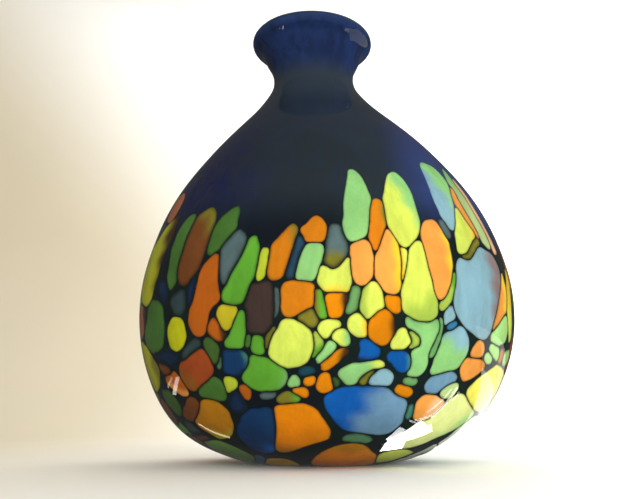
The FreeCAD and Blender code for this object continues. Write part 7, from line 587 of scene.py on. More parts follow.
    ("chips_lime_upper", "limeL", None, 1, [(-168.75, 133.7), (-167.29, 135.42), (-166.58, 138.57), (-165.88, 141.72), (-165.24, 144.9), (-165.18, 148.21), (-165.61, 151.47), (-166.22, 154.66), (-166.93, 157.81), (-167.8, 160.86), (-169.09, 163.3), (-170.19, 160.58), (-170.95, 157.46), (-171.51, 154.24), (-171.86, 150.97), (-171.9, 147.64), (-171.78, 144.33), (-171.6, 141.02), (-171.62, 137.71), (-170.81, 134.75)]),
    ("chips_lime_upper", "limeL", None, 1, [(-123.63, 137.3), (-122.08, 139.33), (-121.32, 142.57), (-120.96, 145.93), (-121.05, 149.36), (-121.35, 152.76), (-121.85, 156.1), (-122.58, 159.36), (-123.44, 162.55), (-124.46, 165.63), (-125.59, 168.62), (-126.75, 166.99), (-127.06, 163.6), (-127.33, 160.2), (-127.37, 156.76), (-127.34, 153.33), (-126.99, 149.94), (-126.52, 146.58), (-125.75, 143.35), (-124.82, 140.21)]),
    ("chips_lime_upper", "limeD", None, 0, [(-74, 139.1), (-71.9, 140.07), (-70.44, 142.48), (-70.09, 145.72), (-69.24, 148.64), (-69.18, 151.88), (-69.69, 155.12), (-70.34, 158.3), (-71.11, 161.42), (-71.99, 164.47), (-72.92, 167.49), (-74.46, 167.41), (-75.04, 164.2), (-75.52, 160.96), (-75.91, 157.68), (-76.11, 154.38), (-76.37, 151.09), (-76.24, 147.77), (-75.92, 144.49), (-75.52, 141.22)]),
    ("chips_maroon", "maroon", None, 1, [(-18.39, 101.3), (-16.7, 101.31), (-15.19, 102.47), (-14.36, 104.87), (-13.98, 107.47), (-13.71, 110.12), (-13.68, 112.85), (-13.68, 115.59), (-13.98, 118.23), (-14.9, 120.34), (-16.54, 121.14), (-18.01, 120.56), (-19.38, 120.42), (-20.05, 117.92), (-20.52, 115.33), (-20.82, 112.69), (-20.82, 109.95), (-20.82, 107.22), (-20.82, 104.48), (-20.02, 102.11)]),
    ("chips_maroon", "maroon", None, 0, [(93.69, 87.35), (95.42, 87.59), (97.13, 88.6), (98.89, 89.36), (100.53, 90.46), (100.79, 93.16), (100.79, 95.92), (100.77, 98.68), (99.67, 100.59), (98.17, 99.73), (97.48, 97.18), (96.26, 95.13), (94.68, 93.75), (93.08, 92.41), (92.9, 89.77)]),
    ("chips_maroon", "maroon", None, 1, [(96.15, 102.65), (97.91, 102.28), (99.66, 102.63), (101.31, 103.58), (101.97, 106.09), (101.74, 108.84), (101.72, 111.63), (101.57, 114.39), (100.27, 116.25), (98.87, 117.94), (97.37, 119.35), (95.63, 118.95), (94.23, 117.34), (93.09, 115.2), (92.02, 112.98), (91.26, 110.48), (91.18, 107.7), (91.45, 104.98), (92.63, 102.98), (94.38, 102.66)]),
    ("chips_maroon", "maroon", None, 1, [(149.32, 102.65), (151.13, 102.26), (152.81, 103.13), (153.04, 105.95), (153.37, 108.78), (153.84, 111.57), (154.21, 114.37), (153.83, 117.11), (152.33, 118.73), (150.85, 120.42), (149.27, 121.5), (147.68, 120.09), (146.24, 118.33), (144.79, 116.58), (143.36, 114.79), (142.96, 112.07), (143.55, 109.36), (144.65, 107.07), (146.12, 105.36), (147.66, 103.8)]),
    ("chips_maroon", "maroon", None, 1, [(-165.96, 103.1), (-164.32, 103.9), (-163.79, 106.53), (-163.91, 109.32), (-164.73, 111.82), (-165.05, 114.57), (-165.29, 117.35), (-166.2, 119.59), (-167.69, 118.65), (-168.96, 116.67), (-170.47, 115.2), (-172.22, 114.93), (-173.88, 115.33), (-173.98, 112.63), (-173.63, 109.87), (-173.56, 107.06), (-172.89, 104.52), (-171.31, 103.35), (-169.54, 103.11), (-167.75, 103.11)]),
    ("chips_maroon", "maroon", None, 0, [(-86.64, 102.65), (-84.93, 102.22), (-83.21, 102.21), (-81.5, 102.4), (-80.69, 104.67), (-80.63, 107.32), (-81.88, 109.18), (-82.49, 111.66), (-83.5, 113.65), (-85.13, 114.55), (-86.71, 115.65), (-88.35, 115.34), (-89.48, 113.33), (-89.87, 110.73), (-89.71, 108.04), (-89.42, 105.37), (-88.28, 103.46)]),
    ("chips_mint_lower", "mintD2", None, 1, [(16.15, 50.9), (17.71, 52.24), (16.07, 54.19), (13.86, 55.24), (11.57, 56.03), (9.15, 56.01), (6.89, 55.09), (6.75, 52.65), (9.06, 52.07), (11.43, 51.76), (13.83, 51.57)]),
    ("chips_mint_lower", "teal", None, 1, [(26.35, 65.75), (27.38, 65.82), (27.33, 67.57), (27.05, 69.28), (26.64, 70.95), (25.87, 72.13), (25.39, 70.61), (25.38, 68.84), (25.47, 67.09)]),
    ("chips_mint_lower", "mint", None, 0, [(-177.6, 18.05), (-172.53, 17.8), (-167.43, 17.8), (-162.38, 18.12), (-158.29, 20.29), (-155.25, 23.26), (-153.19, 26.65), (-151.92, 30.24), (-151.86, 33.94), (-153.32, 37.47), (-156.16, 40.54), (-160.26, 42.68), (-165.15, 43.67), (-169.44, 41.83), (-172.72, 38.99), (-175.69, 35.98), (-177.61, 32.54), (-178.61, 28.95), (-178.61, 25.24), (-178.61, 21.52)]),
    ("chips_mint_lower", "mint", None, 1, [(100.25, 37.4), (104.93, 37.98), (108.72, 40.99), (109.26, 45.92), (107.45, 50.69), (105.81, 55.52), (104.43, 60.46), (103.07, 65.38), (98.99, 67.77), (94.24, 67.35), (92.21, 63.42), (89.55, 59.26), (90.84, 56.61), (94.67, 54.23), (92.85, 50.18), (88.18, 50.88), (85.77, 46.5), (86.58, 41.54), (90.91, 39.66), (95.6, 38.61)]),
    ("chips_mint_middle", "mintL", None, 0, [(54.62, 100.85), (56.37, 100.77), (58.07, 101.44), (59.79, 102.01), (61.36, 103.09), (61.79, 105.73), (61.73, 108.45), (61.25, 111.08), (60.03, 112.99), (58.38, 112.86), (56.94, 111.28), (55.56, 109.58), (54.15, 107.96), (52.72, 106.36), (51.37, 104.63), (51.26, 102.21), (52.89, 101.28)]),
    ("chips_mint_middle", "mint", None, 0, [(-2.76, 89.6), (-1.49, 90.8), (-0.28, 92.62), (0.93, 94.44), (1.89, 96.46), (0.54, 97.74), (-0.63, 96.01), (-1.54, 93.84), (-2.7, 91.96)]),
    ("chips_mint_middle", "mintD", None, 1, [(4.49, 108.5), (6.03, 108.83), (6.98, 110.93), (7.33, 113.45), (7.62, 115.98), (7.23, 118.45), (5.85, 118.47), (5.33, 116.04), (4.97, 113.52), (4.39, 111.09)]),
    ("chips_mint_middle", "mint", ("mintD", 90, 0.1), 0, [(22.11, 85.1), (24.51, 84.92), (26.54, 86.51), (27.15, 89.9), (27.13, 93.52), (27.84, 97.02), (28.74, 100.43), (29.49, 103.92), (28.84, 107.39), (26.75, 105.98), (24.42, 105.93), (22.05, 106.4), (19.84, 107.76), (20.38, 104.39), (22.34, 102.31), (24.18, 99.97), (24.4, 96.67), (22.45, 94.57), (22.47, 91.35), (22.6, 87.74)]),
    ("chips_mint_middle", "mint", ("sky", 70, 0.35), 0, [(29.39, 86.45), (31.26, 86.64), (33.13, 87.22), (34.97, 88.02), (36.84, 88.6), (38.61, 89.71), (39.79, 91.88), (40.32, 94.57), (40.62, 97.42), (40.35, 100.2), (39.12, 102.39), (37.62, 104.19), (35.87, 105.2), (34.24, 103.65), (32.49, 102.41), (31.21, 100.57), (31.07, 97.67), (30.47, 94.91), (29.93, 92.13), (29.57, 89.28)]),
    ("chips_mint_middle", "mintD", None, 0, [(27.88, 92.3), (28.81, 93.98), (29.22, 96.64), (29.77, 99.23), (30.2, 101.87), (30.43, 104.49), (30.31, 107.24), (29.39, 108.07), (29.88, 105.45), (29.7, 102.74), (29.12, 100.14), (28.45, 97.59), (27.78, 95.04)]),
    ("chips_mint_middle", "mintD2", None, 1, [(-31, 88.25), (-30.24, 88.19), (-29.65, 89.21), (-29.49, 90.54), (-29.31, 91.85), (-29.67, 92.9), (-30.03, 91.72), (-30.4, 90.52), (-30.98, 89.49)]),
    ("chips_mint_middle", "mintL", None, 0, [(57.51, 94.1), (58.32, 95.71), (57.3, 97.86), (55.71, 98.82), (53.97, 99.25), (52.22, 99.68), (51.14, 98.71), (52.51, 96.98), (54.16, 95.94), (55.81, 94.92)]),
    ("chips_mint_middle", "mintL", None, 0, [(52.41, 92.3), (53.49, 92.33), (53.75, 93.67), (52.84, 94.66), (51.81, 95.22), (50.73, 95.62), (49.83, 94.69), (50.31, 93.44), (51.32, 92.67)]),
    ("chips_mint_middle", "mintL", None, 1, [(64.01, 93.2), (65.7, 93.02), (67.41, 93.06), (69.04, 93.71), (70.18, 95.6), (69.81, 97.93), (68.36, 99.16), (66.67, 98.98), (64.97, 98.74), (63.46, 97.78), (63.2, 95.26)]),
    ("chips_mint_middle", "mint", None, 0, [(-9.66, 79.7), (-8.72, 79.95), (-7.79, 80.21), (-7.92, 81.53), (-8.23, 82.84), (-8.93, 83.73), (-9.48, 82.86), (-10.1, 81.78), (-10.35, 80.47)]),
    ("chips_mint_middle", "mint", ("limeL", 0, 0.25), 0, [(5.64, 81.05), (7.44, 81.34), (8.56, 83.37), (9.87, 85.33), (11.44, 86.8), (13.17, 87.72), (14.79, 88.48), (13.32, 89.78), (11.45, 89.78), (9.63, 89.35), (7.8, 88.89), (6, 88.32), (4.31, 87.19), (3.24, 85.19), (4.31, 82.98)]),
    ("chips_mint_middle", "mintD", None, 0, [(22.14, 81.5), (23.09, 81.32), (24.06, 81.32), (24.96, 81.76), (24.96, 82.83), (24.02, 83.04), (23.1, 83.47), (22.15, 83.32), (21.52, 82.54)]),
    ("chips_mint_middle", "mintY", None, 0, [(37.45, 76.1), (39.23, 76.38), (40.63, 77.94), (41.22, 80.24), (40.19, 81.68), (38.36, 81.65), (36.74, 80.48), (35.48, 78.62), (35.72, 76.93)]),
    ("chips_mint_middle", "mint", None, 0, [(-140.71, 72.5), (-139.11, 73.22), (-137.86, 75.28), (-136.07, 76.07), (-134.19, 75.47), (-132.54, 75.9), (-132.54, 78.57), (-132.97, 81.23), (-133.88, 83.63), (-135.25, 85.45), (-137.14, 85.96), (-139.07, 85.98), (-140.98, 85.6), (-142.9, 85.78), (-144.76, 85.72), (-145.47, 83.26), (-145.18, 80.58), (-144.71, 77.94), (-143.83, 75.52), (-142.46, 73.66)]),
    ("chips_mint_middle", "mint", None, 0, [(169.55, 88.25), (171.25, 88.58), (172.86, 89.59), (174.34, 90.95), (175.03, 93.35), (175.36, 95.95), (175.27, 98.58), (173.89, 99.96), (172.18, 100.51), (170.46, 100.83), (168.71, 100.84), (166.99, 101.1), (165.29, 101.66), (164.19, 100), (164.62, 97.45), (165.18, 94.94), (165.62, 92.39), (166.29, 89.99), (167.88, 88.99)]),
    ("chips_mint_middle", "mint", None, 0, [(-167.75, 86), (-165.95, 86.68), (-164.51, 88.39), (-164.4, 91.24), (-164.4, 94.11), (-164.13, 96.94), (-164.08, 99.71), (-165.48, 101.54), (-167.36, 101.74), (-169.26, 101.74), (-171.15, 101.83), (-173, 101.94), (-173.9, 99.51), (-174.26, 96.69), (-174.5, 93.86), (-175.12, 91.15), (-175.05, 88.52), (-173.34, 87.42), (-171.46, 87.1), (-169.58, 86.72)]),
    ("chips_mint_middle", "mint", None, 0, [(92.17, 94.55), (93.85, 94.78), (95.44, 96.04), (96.66, 98.01), (96.92, 100.59), (95.25, 101.28), (93.46, 101.19), (92, 99.73), (91.63, 97.1)]),
    ("chips_mint_middle", "mint", None, 0, [(-163.5, 111.65), (-161.86, 111.92), (-160.42, 113.45), (-159.52, 115.81), (-159.61, 118.3), (-161.31, 118.83), (-163.05, 118.54), (-164.32, 116.93), (-164.12, 114.18)]),
    ("chips_mint_middle", "mint", None, 0, [(-178.3, 81.95), (-176.8, 82.18), (-175.7, 83.71), (-175.55, 85.95), (-176.19, 87.96), (-177.56, 88.88), (-178.97, 88.07), (-179.26, 85.89), (-179.21, 83.63)]),
    ("chips_mint_middle", "mint", None, 0, [(172.27, 114.35), (173.64, 113.98), (174.93, 114.81), (175.64, 116.69), (175.14, 118.57), (173.76, 118.84), (172.35, 118.73), (171.16, 117.66), (171.13, 115.6)]),
    ("chips_mint_upper", "mint", None, 0, [(-7.59, 121.55), (-5.93, 121.37), (-4.24, 121.38), (-3.2, 123.22), (-2.57, 125.66), (-2.22, 128.22), (-1.94, 130.79), (-1.44, 133.29), (-1.95, 135.6), (-3.57, 136.12), (-5.2, 135.64), (-6.19, 133.64), (-6.8, 131.17), (-7.27, 128.62), (-7.66, 126.04), (-8.04, 123.47)]),
    ("chips_mint_upper", "mint", None, 0, [(5.9, 137.75), (8.28, 138.95), (10.02, 142.04), (10.85, 145.87), (11.22, 149.87), (11.52, 153.88), (11.82, 157.88), (11.82, 161.96), (11.35, 165.92), (10.53, 169.76), (8.96, 173.08), (7.12, 173.1), (6.47, 169.19), (5.87, 165.26), (5.28, 161.34), (4.73, 157.41), (4.44, 153.4), (4.38, 149.33), (4.38, 145.25), (4.63, 141.24)]),
    ("chips_mint_upper", "mintY", ("mint", 90, 0.3), 1, [(54.22, 143.15), (56.22, 145.84), (55.55, 150.77), (54.55, 155.57), (53.52, 160.36), (53.21, 165.37), (52.79, 170.37), (52.03, 175.28), (52.02, 180.28), (52.58, 185.22), (52.17, 187.5), (49.66, 184.03), (48.08, 179.49), (47.28, 174.6), (47.51, 169.76), (47.33, 164.76), (47.93, 159.81), (49.01, 154.99), (50.09, 150.19), (51.13, 145.5)]),
    ("chips_mint_upper", "mint", None, 0, [(81.6, 112.1), (82.85, 113.4), (83.88, 115.49), (85.08, 117.3), (86.37, 118.99), (87.29, 121.07), (87.32, 123.71), (87.32, 126.35), (87.32, 129), (86.85, 131.45), (85.27, 132.25), (83.65, 131.82), (82.27, 130.35), (81.06, 128.54), (79.94, 126.59), (79.48, 124.07), (79.21, 121.46), (79.17, 118.83), (79.58, 116.28), (80.49, 114.07)]),
    ("chips_mint_upper", "mint", None, 0, [(-179.13, 115.7), (-177.46, 115.61), (-175.96, 116.69), (-175.41, 119.21), (-175.12, 121.85), (-175.46, 124.38), (-176.37, 126.65), (-177.09, 129.07), (-177.68, 131.58), (-178.16, 134.15), (-178.67, 136.7), (-179.43, 136.91), (-179.53, 134.24), (-179.57, 131.56), (-179.58, 128.88), (-179.59, 126.2), (-179.59, 123.52), (-179.59, 120.84), (-179.58, 118.16)]),
    ("chips_mint_upper", "mint", None, 1, [(-165.04, 120.2), (-162.98, 120.06), (-160.84, 120.21), (-158.74, 120.24), (-158.38, 123.48), (-158.63, 126.82), (-158.63, 130.19), (-158.38, 133.53), (-158.38, 136.9), (-159.04, 140.03), (-160.42, 142.61), (-161.98, 144.94), (-163.94, 145.05), (-164.81, 142.01), (-165.52, 138.83), (-166.22, 135.64), (-167, 132.5), (-167.26, 129.22), (-166.88, 125.9), (-166.48, 122.59)]),
    ("chips_mint_upper", "mint", None, 0, [(-143.13, 111.65), (-142.11, 113.88), (-142.2, 117), (-142.47, 120.08), (-142.48, 123.2), (-142.48, 126.32), (-142.93, 129.33), (-143.74, 132.17), (-144.66, 134.93), (-145.64, 137.63), (-147.1, 137.06), (-147.91, 134.22), (-148.57, 131.28), (-149.07, 128.26), (-149.5, 125.22), (-149.59, 122.11), (-149.33, 119.04), (-148.04, 116.72), (-146.49, 114.8), (-144.91, 112.94)]),
    ("chips_mint_upper", "mint", None, 1, [(-77.03, 117.5), (-75.53, 118.1), (-73.75, 118.4), (-72.15, 119.36), (-70.56, 120.56), (-70.28, 122.64), (-71.57, 124.61), (-73.01, 126.32), (-73.97, 128.67), (-74.77, 131.2), (-73.81, 133.43), (-74.14, 136.04), (-75.22, 137.94), (-76.6, 136.39), (-77.62, 134.04), (-78.34, 131.44), (-78.29, 128.64), (-77.84, 125.88), (-77.53, 123.08), (-77.42, 120.24)]),
    ("chips_mint_upper", "mint", None, 0, [(87.83, 134.15), (89.96, 135.98), (92.06, 138.74), (94.45, 140.23), (95.04, 144.34), (95.27, 148.53), (95.27, 152.74), (94.71, 156.87), (93.75, 160.83), (92.59, 164.68), (91.18, 168.34), (89.08, 170.59), (87.59, 167.06), (86.33, 163.28), (85.8, 159.21), (85.89, 155), (86.27, 150.82), (86.73, 146.67), (87.14, 142.5), (87.45, 138.31)]),
    ("chips_mint_upper", "mint", None, 0, [(-106.29, 132.35), (-104.64, 135.26), (-104.08, 139.52), (-103.64, 143.81), (-103.34, 148.12), (-103.36, 152.46), (-103.79, 156.76), (-104.42, 160.99), (-105.26, 165.15), (-106.2, 169.26), (-107.93, 171.74), (-109.16, 167.83), (-110.15, 163.75), (-110.97, 159.58), (-111.62, 155.35), (-111.89, 151.03), (-111.43, 146.74), (-111.05, 142.45), (-110.44, 138.24), (-108.59, 134.92)]),
    ("chips_olive", "olive", None, 1, [(38.93, 134.15), (40.56, 134.58), (42.1, 135.48), (43.33, 137.3), (44.67, 138.88), (45.89, 140.71), (47.23, 142.28), (48.45, 144.12), (48.14, 145.91), (46.67, 144.69), (45.26, 143.25), (44.04, 141.42), (42.82, 139.59), (41.73, 137.6), (40.27, 136.3), (38.79, 135.17)]),
    ("chips_olive", "olive", None, 1, [(-4.87, 103.55), (-3.27, 103.59), (-2.58, 105.86), (-3.23, 108.18), (-4.12, 110.11), (-5.65, 109.22), (-7.09, 107.96), (-7.5, 106.63), (-6.1, 105.3)]),
    ("chips_olive", "olive", None, 1, [(-15.95, 95), (-15.46, 96.72), (-14.83, 98.96), (-14.09, 101.14), (-13.13, 103.08), (-13.63, 103.48), (-14.79, 101.76), (-15.7, 99.76), (-16.13, 97.42)]),
    ("chips_olive", "olive", ("leaf", 0, 0.4), 0, [(-13.87, 72.95), (-12.07, 72.77), (-10.3, 73.22), (-8.53, 73.61), (-7.65, 74.66), (-9.14, 76.07), (-10.75, 77.14), (-12.41, 76.29), (-13.87, 74.81)]),
    ("chips_olive", "olive", None, 1, [(9, 81.05), (10.35, 80.97), (10.81, 82.73), (11.51, 84.43), (12.42, 85.87), (12.08, 86.51), (10.91, 85.47), (9.83, 84.26), (8.88, 82.82)]),
    ("chips_olive", "olive", None, 0, [(146.34, 72.5), (148.24, 72.06), (150.19, 72.09), (152.05, 72.79), (153.74, 74.14), (154.75, 76.31), (153.91, 78.74), (154.25, 81.36), (155.73, 83.09), (155.15, 85.18), (153.41, 86.32), (151.57, 85.53), (149.85, 84.25), (148.41, 82.5), (147.83, 79.9), (147.05, 77.41), (146.23, 74.93)]),
    ("chips_olive", "olive", None, 1, [(-102.1, 74.3), (-99.99, 73.88), (-97.86, 73.86), (-95.96, 74.83), (-95.24, 77.7), (-94.54, 80.59), (-93.49, 83.24), (-92.39, 85.86), (-92.98, 88.48), (-95.07, 88.69), (-97.19, 88.9), (-99.24, 89.74), (-101.28, 90.63), (-103.33, 91.26), (-104.8, 89.14), (-106.08, 86.71), (-105.93, 83.74), (-105.44, 80.76), (-104.94, 77.79), (-104.13, 75.03)]),
    ("chips_olive", "olive", None, 1, [(-75.94, 75.2), (-74.06, 74.87), (-72.27, 75.78), (-70.52, 76.85), (-69.45, 78.82), (-71.18, 79.76), (-72.59, 81.56), (-73.93, 83.49), (-75.25, 85.41), (-75.46, 88.1), (-76.25, 90.44), (-78.07, 91.21), (-79.52, 89.77), (-80.37, 87.33), (-81.28, 84.94), (-81.22, 82.25), (-80.52, 79.76), (-79.26, 77.74), (-77.71, 76.16)]),
    ("chips_opal", "pale", None, 0, [(61.22, 47.75), (63.65, 47.54), (65.79, 49.05), (67.85, 50.69), (69.76, 52.57), (70.62, 55.2), (70.41, 58.09), (70.26, 60.99), (69.61, 63.77), (67.87, 65.84), (65.55, 66.83), (63.05, 66.88), (60.87, 65.64), (59.04, 63.66), (57.47, 61.45), (56.8, 58.65), (56.46, 55.77), (56.33, 52.87), (56.69, 50.04), (58.83, 48.6)]),
    ("chips_opal", "pale", None, 0, [(75.89, 36.05), (78.62, 36.24), (80.92, 37.82), (82.41, 40.06), (82.33, 42.77), (81.65, 45.4), (79.74, 47.37), (77.46, 48.99), (75.02, 50.39), (72.49, 51.61), (70.05, 50.66), (67.96, 48.82), (65.74, 47.13), (64.48, 44.86), (64.88, 42.17), (65.43, 39.51), (67.62, 37.99), (70.41, 37.46), (73.18, 36.87)]),
    ("chips_opal", "pale", None, 0, [(54.69, 34.25), (57.42, 34.43), (60.15, 35.55), (62.69, 36.99), (63.63, 39.4), (63.22, 42.11), (62.61, 44.77), (60.36, 46.43), (57.59, 47.47), (54.83, 47.77), (54.35, 45.13), (54.35, 42.4), (54.35, 39.67), (54.35, 36.94)]),
    ("chips_opal", "pale", None, 0, [(61.47, 20.3), (65.34, 20.05), (69.15, 20.45), (72.13, 22.19), (74.22, 24.47), (75.23, 27.09), (75.62, 29.79), (75.97, 32.5), (74.42, 34.8), (70.82, 35.83), (67.04, 36.5), (63.6, 35.51), (60.46, 33.92), (57.12, 32.5), (54.65, 30.54), (54.52, 27.83), (54.52, 25.11), (54.73, 22.4), (57.63, 20.78)]),
    ("chips_orange_lower", "orange", ("amber", 240, 0.2), 0, [(-18.96, 41.45), (-15.23, 42.16), (-11.86, 44.2), (-8.69, 46.8), (-5.35, 49.08), (-1.91, 51.13), (1.28, 53.66), (1.58, 57.97), (0.04, 62.12), (-1.85, 66.05), (-3.69, 70), (-7.04, 71.78), (-10.92, 71.76), (-14.66, 70.75), (-15.41, 66.62), (-15.71, 62.14), (-16.5, 57.75), (-17.64, 53.43), (-19.04, 49.21), (-20.21, 44.92)]),
    ("chips_orange_lower", "orange", ("amber", 90, 0.25), 0, [(14.62, 17.6), (21.46, 17.79), (27.95, 19.62), (34.7, 20.83), (36.12, 24.21), (32.38, 28.54), (28.95, 33.02), (25.51, 37.49), (22.04, 41.96), (18.06, 46.16), (12.44, 49.02), (5.75, 48.23), (1.13, 44.45), (-1.91, 39.81), (-4.35, 34.98), (-6.25, 30.03), (-7.56, 24.97), (-5.66, 20.43), (0.84, 18.61), (7.7, 17.9)]),
    ("chips_orange_lower", "orangeL", ("peach", 340, 0.45), 0, [(31.12, 65.3), (33.07, 65.3), (34.96, 65.91), (35.96, 68.17), (37.06, 70.36), (38.04, 72.66), (36.89, 74.03), (35.03, 74.95), (33.17, 75.82), (31.22, 76.14), (29.32, 75.65), (28.13, 73.67), (28.08, 71.02), (28.46, 68.45), (29.26, 66.07)]),
    ("chips_orange_lower", "orangeL", None, 0, [(-160.05, 44.15), (-156.58, 44.25), (-153.38, 45.89), (-150.84, 48.63), (-150.3, 52.61), (-151.2, 56.56), (-152.67, 60.28), (-154.29, 63.91), (-156.91, 66.54), (-159.86, 68.75), (-162.87, 70.86), (-166.13, 72.23), (-168.73, 69.55), (-170.92, 66.47), (-170.41, 62.43), (-169.66, 58.43), (-169.27, 54.36), (-168.52, 50.4), (-166.42, 47.16), (-163.47, 45.07)]),
    ("chips_orange_lower", "orange", None, 1, [(-129.88, 36.95), (-125.4, 36.97), (-120.87, 37.54), (-116.37, 38.29), (-112.41, 40.4), (-109.78, 44.43), (-109.42, 49.35), (-109.24, 54.31), (-109.12, 59.27), (-109.39, 64.23), (-112.58, 67.18), (-116.53, 69.62), (-120.55, 69.67), (-123.92, 66.34), (-126.68, 62.39), (-129.14, 58.2), (-129.95, 53.37), (-130.65, 48.47), (-132.66, 44.02), (-133.64, 39.69)]),
    ("chips_orange_middle", "orange", ("brown", 0, 0.25), 0, [(0.53, 106.7), (2.18, 107.16), (3.3, 109.29), (4.1, 111.76), (4.62, 114.38), (3.9, 115.88), (2.13, 115.88), (0.36, 115.88), (-0.55, 114.54), (-0.42, 111.79), (-0.15, 109.09)]),
    ("chips_orange_middle", "orangeM", None, 0, [(-10.33, 108.05), (-8.71, 107.88), (-7.09, 108.72), (-5.59, 109.95), (-4.05, 111.06), (-3.68, 113.59), (-3.67, 116.3), (-3.82, 119), (-5.29, 120.18), (-6.93, 120.83), (-8.61, 120.86), (-10.23, 120.32), (-11.19, 118.13), (-11.48, 115.5), (-11.52, 112.79), (-11.23, 110.16)]),
    ("chips_orange_middle", "orangeD", ("brown", 0, 0.3), 1, [(-29.79, 99.95), (-28.03, 99.79), (-26.94, 101.67), (-28.36, 103.32), (-29.23, 105.82), (-30.38, 107.74), (-31.78, 105.99), (-32.32, 103.63), (-31.33, 101.33)]),
    ("chips_orange_middle", "orange", ("brown", 0, 0.3), 0, [(-1.58, 87.35), (0.21, 87.59), (1.75, 89.04), (3.1, 90.94), (4.42, 92.91), (5.03, 95), (3.3, 94.27), (1.87, 92.54), (0.55, 90.58), (-1.02, 89.13)]),
    ("chips_orange_middle", "orange", None, 0, [(16.41, 109.4), (17.67, 110.15), (17.82, 112.45), (17.71, 114.79), (16.25, 114.98), (14.81, 115.49), (13.98, 114.55), (14.25, 112.28), (15.11, 110.43)]),
    ("chips_orange_middle", "orange", ("brown", 0, 0.16), 0, [(12.51, 97.25), (14.15, 97.22), (15.42, 98.83), (16.19, 101.13), (16.32, 103.7), (16.03, 106.22), (15.38, 108.55), (14.09, 110.02), (12.54, 109.18), (11.27, 107.57), (10.34, 105.5), (9.84, 103.05), (10.08, 100.54), (11.07, 98.55)]),
    ("chips_orange_middle", "orangeL", None, 0, [(42.89, 94.1), (44.6, 93.92), (46.28, 94.36), (47.77, 95.39), (48.04, 97.75), (46.87, 99.57), (45.31, 100.14), (43.87, 98.88), (42.97, 96.66)]),
    ("chips_orange_middle", "orangeM", None, 1, [(60.53, 93.2), (61.31, 94.14), (61.54, 95.89), (61.31, 97.65), (60.51, 98.34), (59.31, 98.31), (58.93, 97.18), (59.27, 95.45), (59.39, 93.66)]),
    ("chips_orange_middle", "orangeD", ("orangeL", 250, 0.35), 0, [(-49.58, 77.45), (-47.76, 77.57), (-46.11, 78.28), (-46.54, 80.84), (-47.34, 83.27), (-48.24, 85.62), (-49.6, 87.45), (-51.42, 87.08), (-53.22, 86.42), (-55, 85.69), (-55.67, 83.48), (-54.27, 81.74), (-52.83, 80.03), (-51.29, 78.52)]),
    ("chips_orange_middle", "orangeD", None, 0, [(-23.73, 74.75), (-22.81, 75.47), (-22.38, 76.87), (-22.5, 78.43), (-23.26, 79.6), (-24.26, 80.27), (-24.72, 79.06), (-24.71, 77.48), (-24.4, 75.97)]),
    ("chips_orange_middle", "orange", None, 0, [(-5.7, 81.05), (-4.88, 80.87), (-4.14, 81.22), (-3.8, 82.3), (-3.59, 83.44), (-4.23, 83.92), (-5.03, 83.64), (-5.8, 83.23), (-5.96, 82.18)]),
    ("chips_orange_middle", "orange", None, 0, [(-1.58, 77.9), (0.02, 77.72), (1.34, 78.87), (1.12, 80.96), (0.73, 83.18), (-0.27, 84.79), (-1.61, 83.77), (-2.12, 81.59), (-2.52, 79.39)]),
    ("chips_orange_middle", "orange", None, 0, [(-6.96, 75.65), (-5.88, 75.74), (-5.62, 77.2), (-6.28, 78.47), (-7.31, 78.98), (-8.46, 78.98), (-9.5, 78.42), (-8.9, 77.32), (-7.89, 76.55)]),
    ("chips_orange_middle", "orange", None, 0, [(22.42, 76.1), (23.82, 76.13), (24.71, 77.4), (23.78, 78.8), (22.45, 79.58), (21.04, 79.97), (19.68, 79.78), (20.02, 78.11), (21.08, 76.75)]),
    ("chips_orange_middle", "orangeL", ("orangeM", 0, 0.2), 0, [(42.8, 83.75), (44.49, 83.99), (46.15, 85.24), (47.73, 86.65), (49.26, 88.18), (50.7, 89.89), (49.97, 91.34), (48.19, 92.02), (46.39, 92.52), (44.58, 92.93), (42.72, 92.93), (40.96, 92.26), (39.91, 90.2), (40.34, 87.73), (41.35, 85.46)]),
    ("chips_orange_middle", "orangeL", None, 0, [(111.7, 74.3), (113.52, 73.87), (115.37, 73.87), (117.19, 74.27), (118.42, 75.94), (118.75, 78.53), (119.05, 81.14), (119.04, 83.77), (117.95, 85.62), (116.26, 86.68), (114.66, 87.99), (113.29, 89.75), (111.77, 88.58), (110.34, 86.91), (108.87, 85.3), (108.3, 82.87), (108.94, 80.4), (109.46, 77.87), (110.05, 75.41)]),
    ("chips_orange_middle", "orangeL", None, 1, [(-152.21, 67.1), (-150.24, 66.95), (-148.5, 68.25), (-147.05, 70.12), (-145.81, 72.28), (-145.38, 74.93), (-145.73, 77.65), (-146.2, 80.33), (-146.77, 82.98), (-148.07, 85.01), (-149.94, 85.87), (-151.93, 85.76), (-153.81, 84.91), (-155.05, 82.85), (-154.69, 80.16), (-154.1, 77.51), (-153.76, 74.8), (-153.54, 72.06), (-153.23, 69.33)]),
    ("chips_orange_middle", "orange", None, 0, [(-110.59, 68), (-108.63, 68.12), (-107.08, 69.9), (-105.99, 72.27), (-105.56, 74.93), (-106, 77.67), (-106.46, 80.41), (-106.91, 83.14), (-107.85, 85.55), (-109.76, 86.45), (-111.77, 86.68), (-113.69, 85.91), (-115.02, 83.89), (-114.93, 81.11), (-115.53, 78.47), (-116.81, 76.3), (-117.12, 73.57), (-116.15, 71.22), (-114.43, 69.76), (-112.54, 68.75)]),
    ("chips_orange_middle", "orangeM", None, 0, [(106.3, 86.45), (108.03, 86.51), (109.54, 87.9), (110.97, 89.46), (112.2, 91.37), (112.49, 93.9), (112.18, 96.52), (111.34, 98.86), (109.94, 100.45), (108.22, 100.92), (106.48, 100.44), (104.72, 100.39), (102.95, 100.38), (101.75, 98.71), (101.7, 96.04), (101.7, 93.37), (101.87, 90.73), (103.21, 89.05), (104.76, 87.76)]),
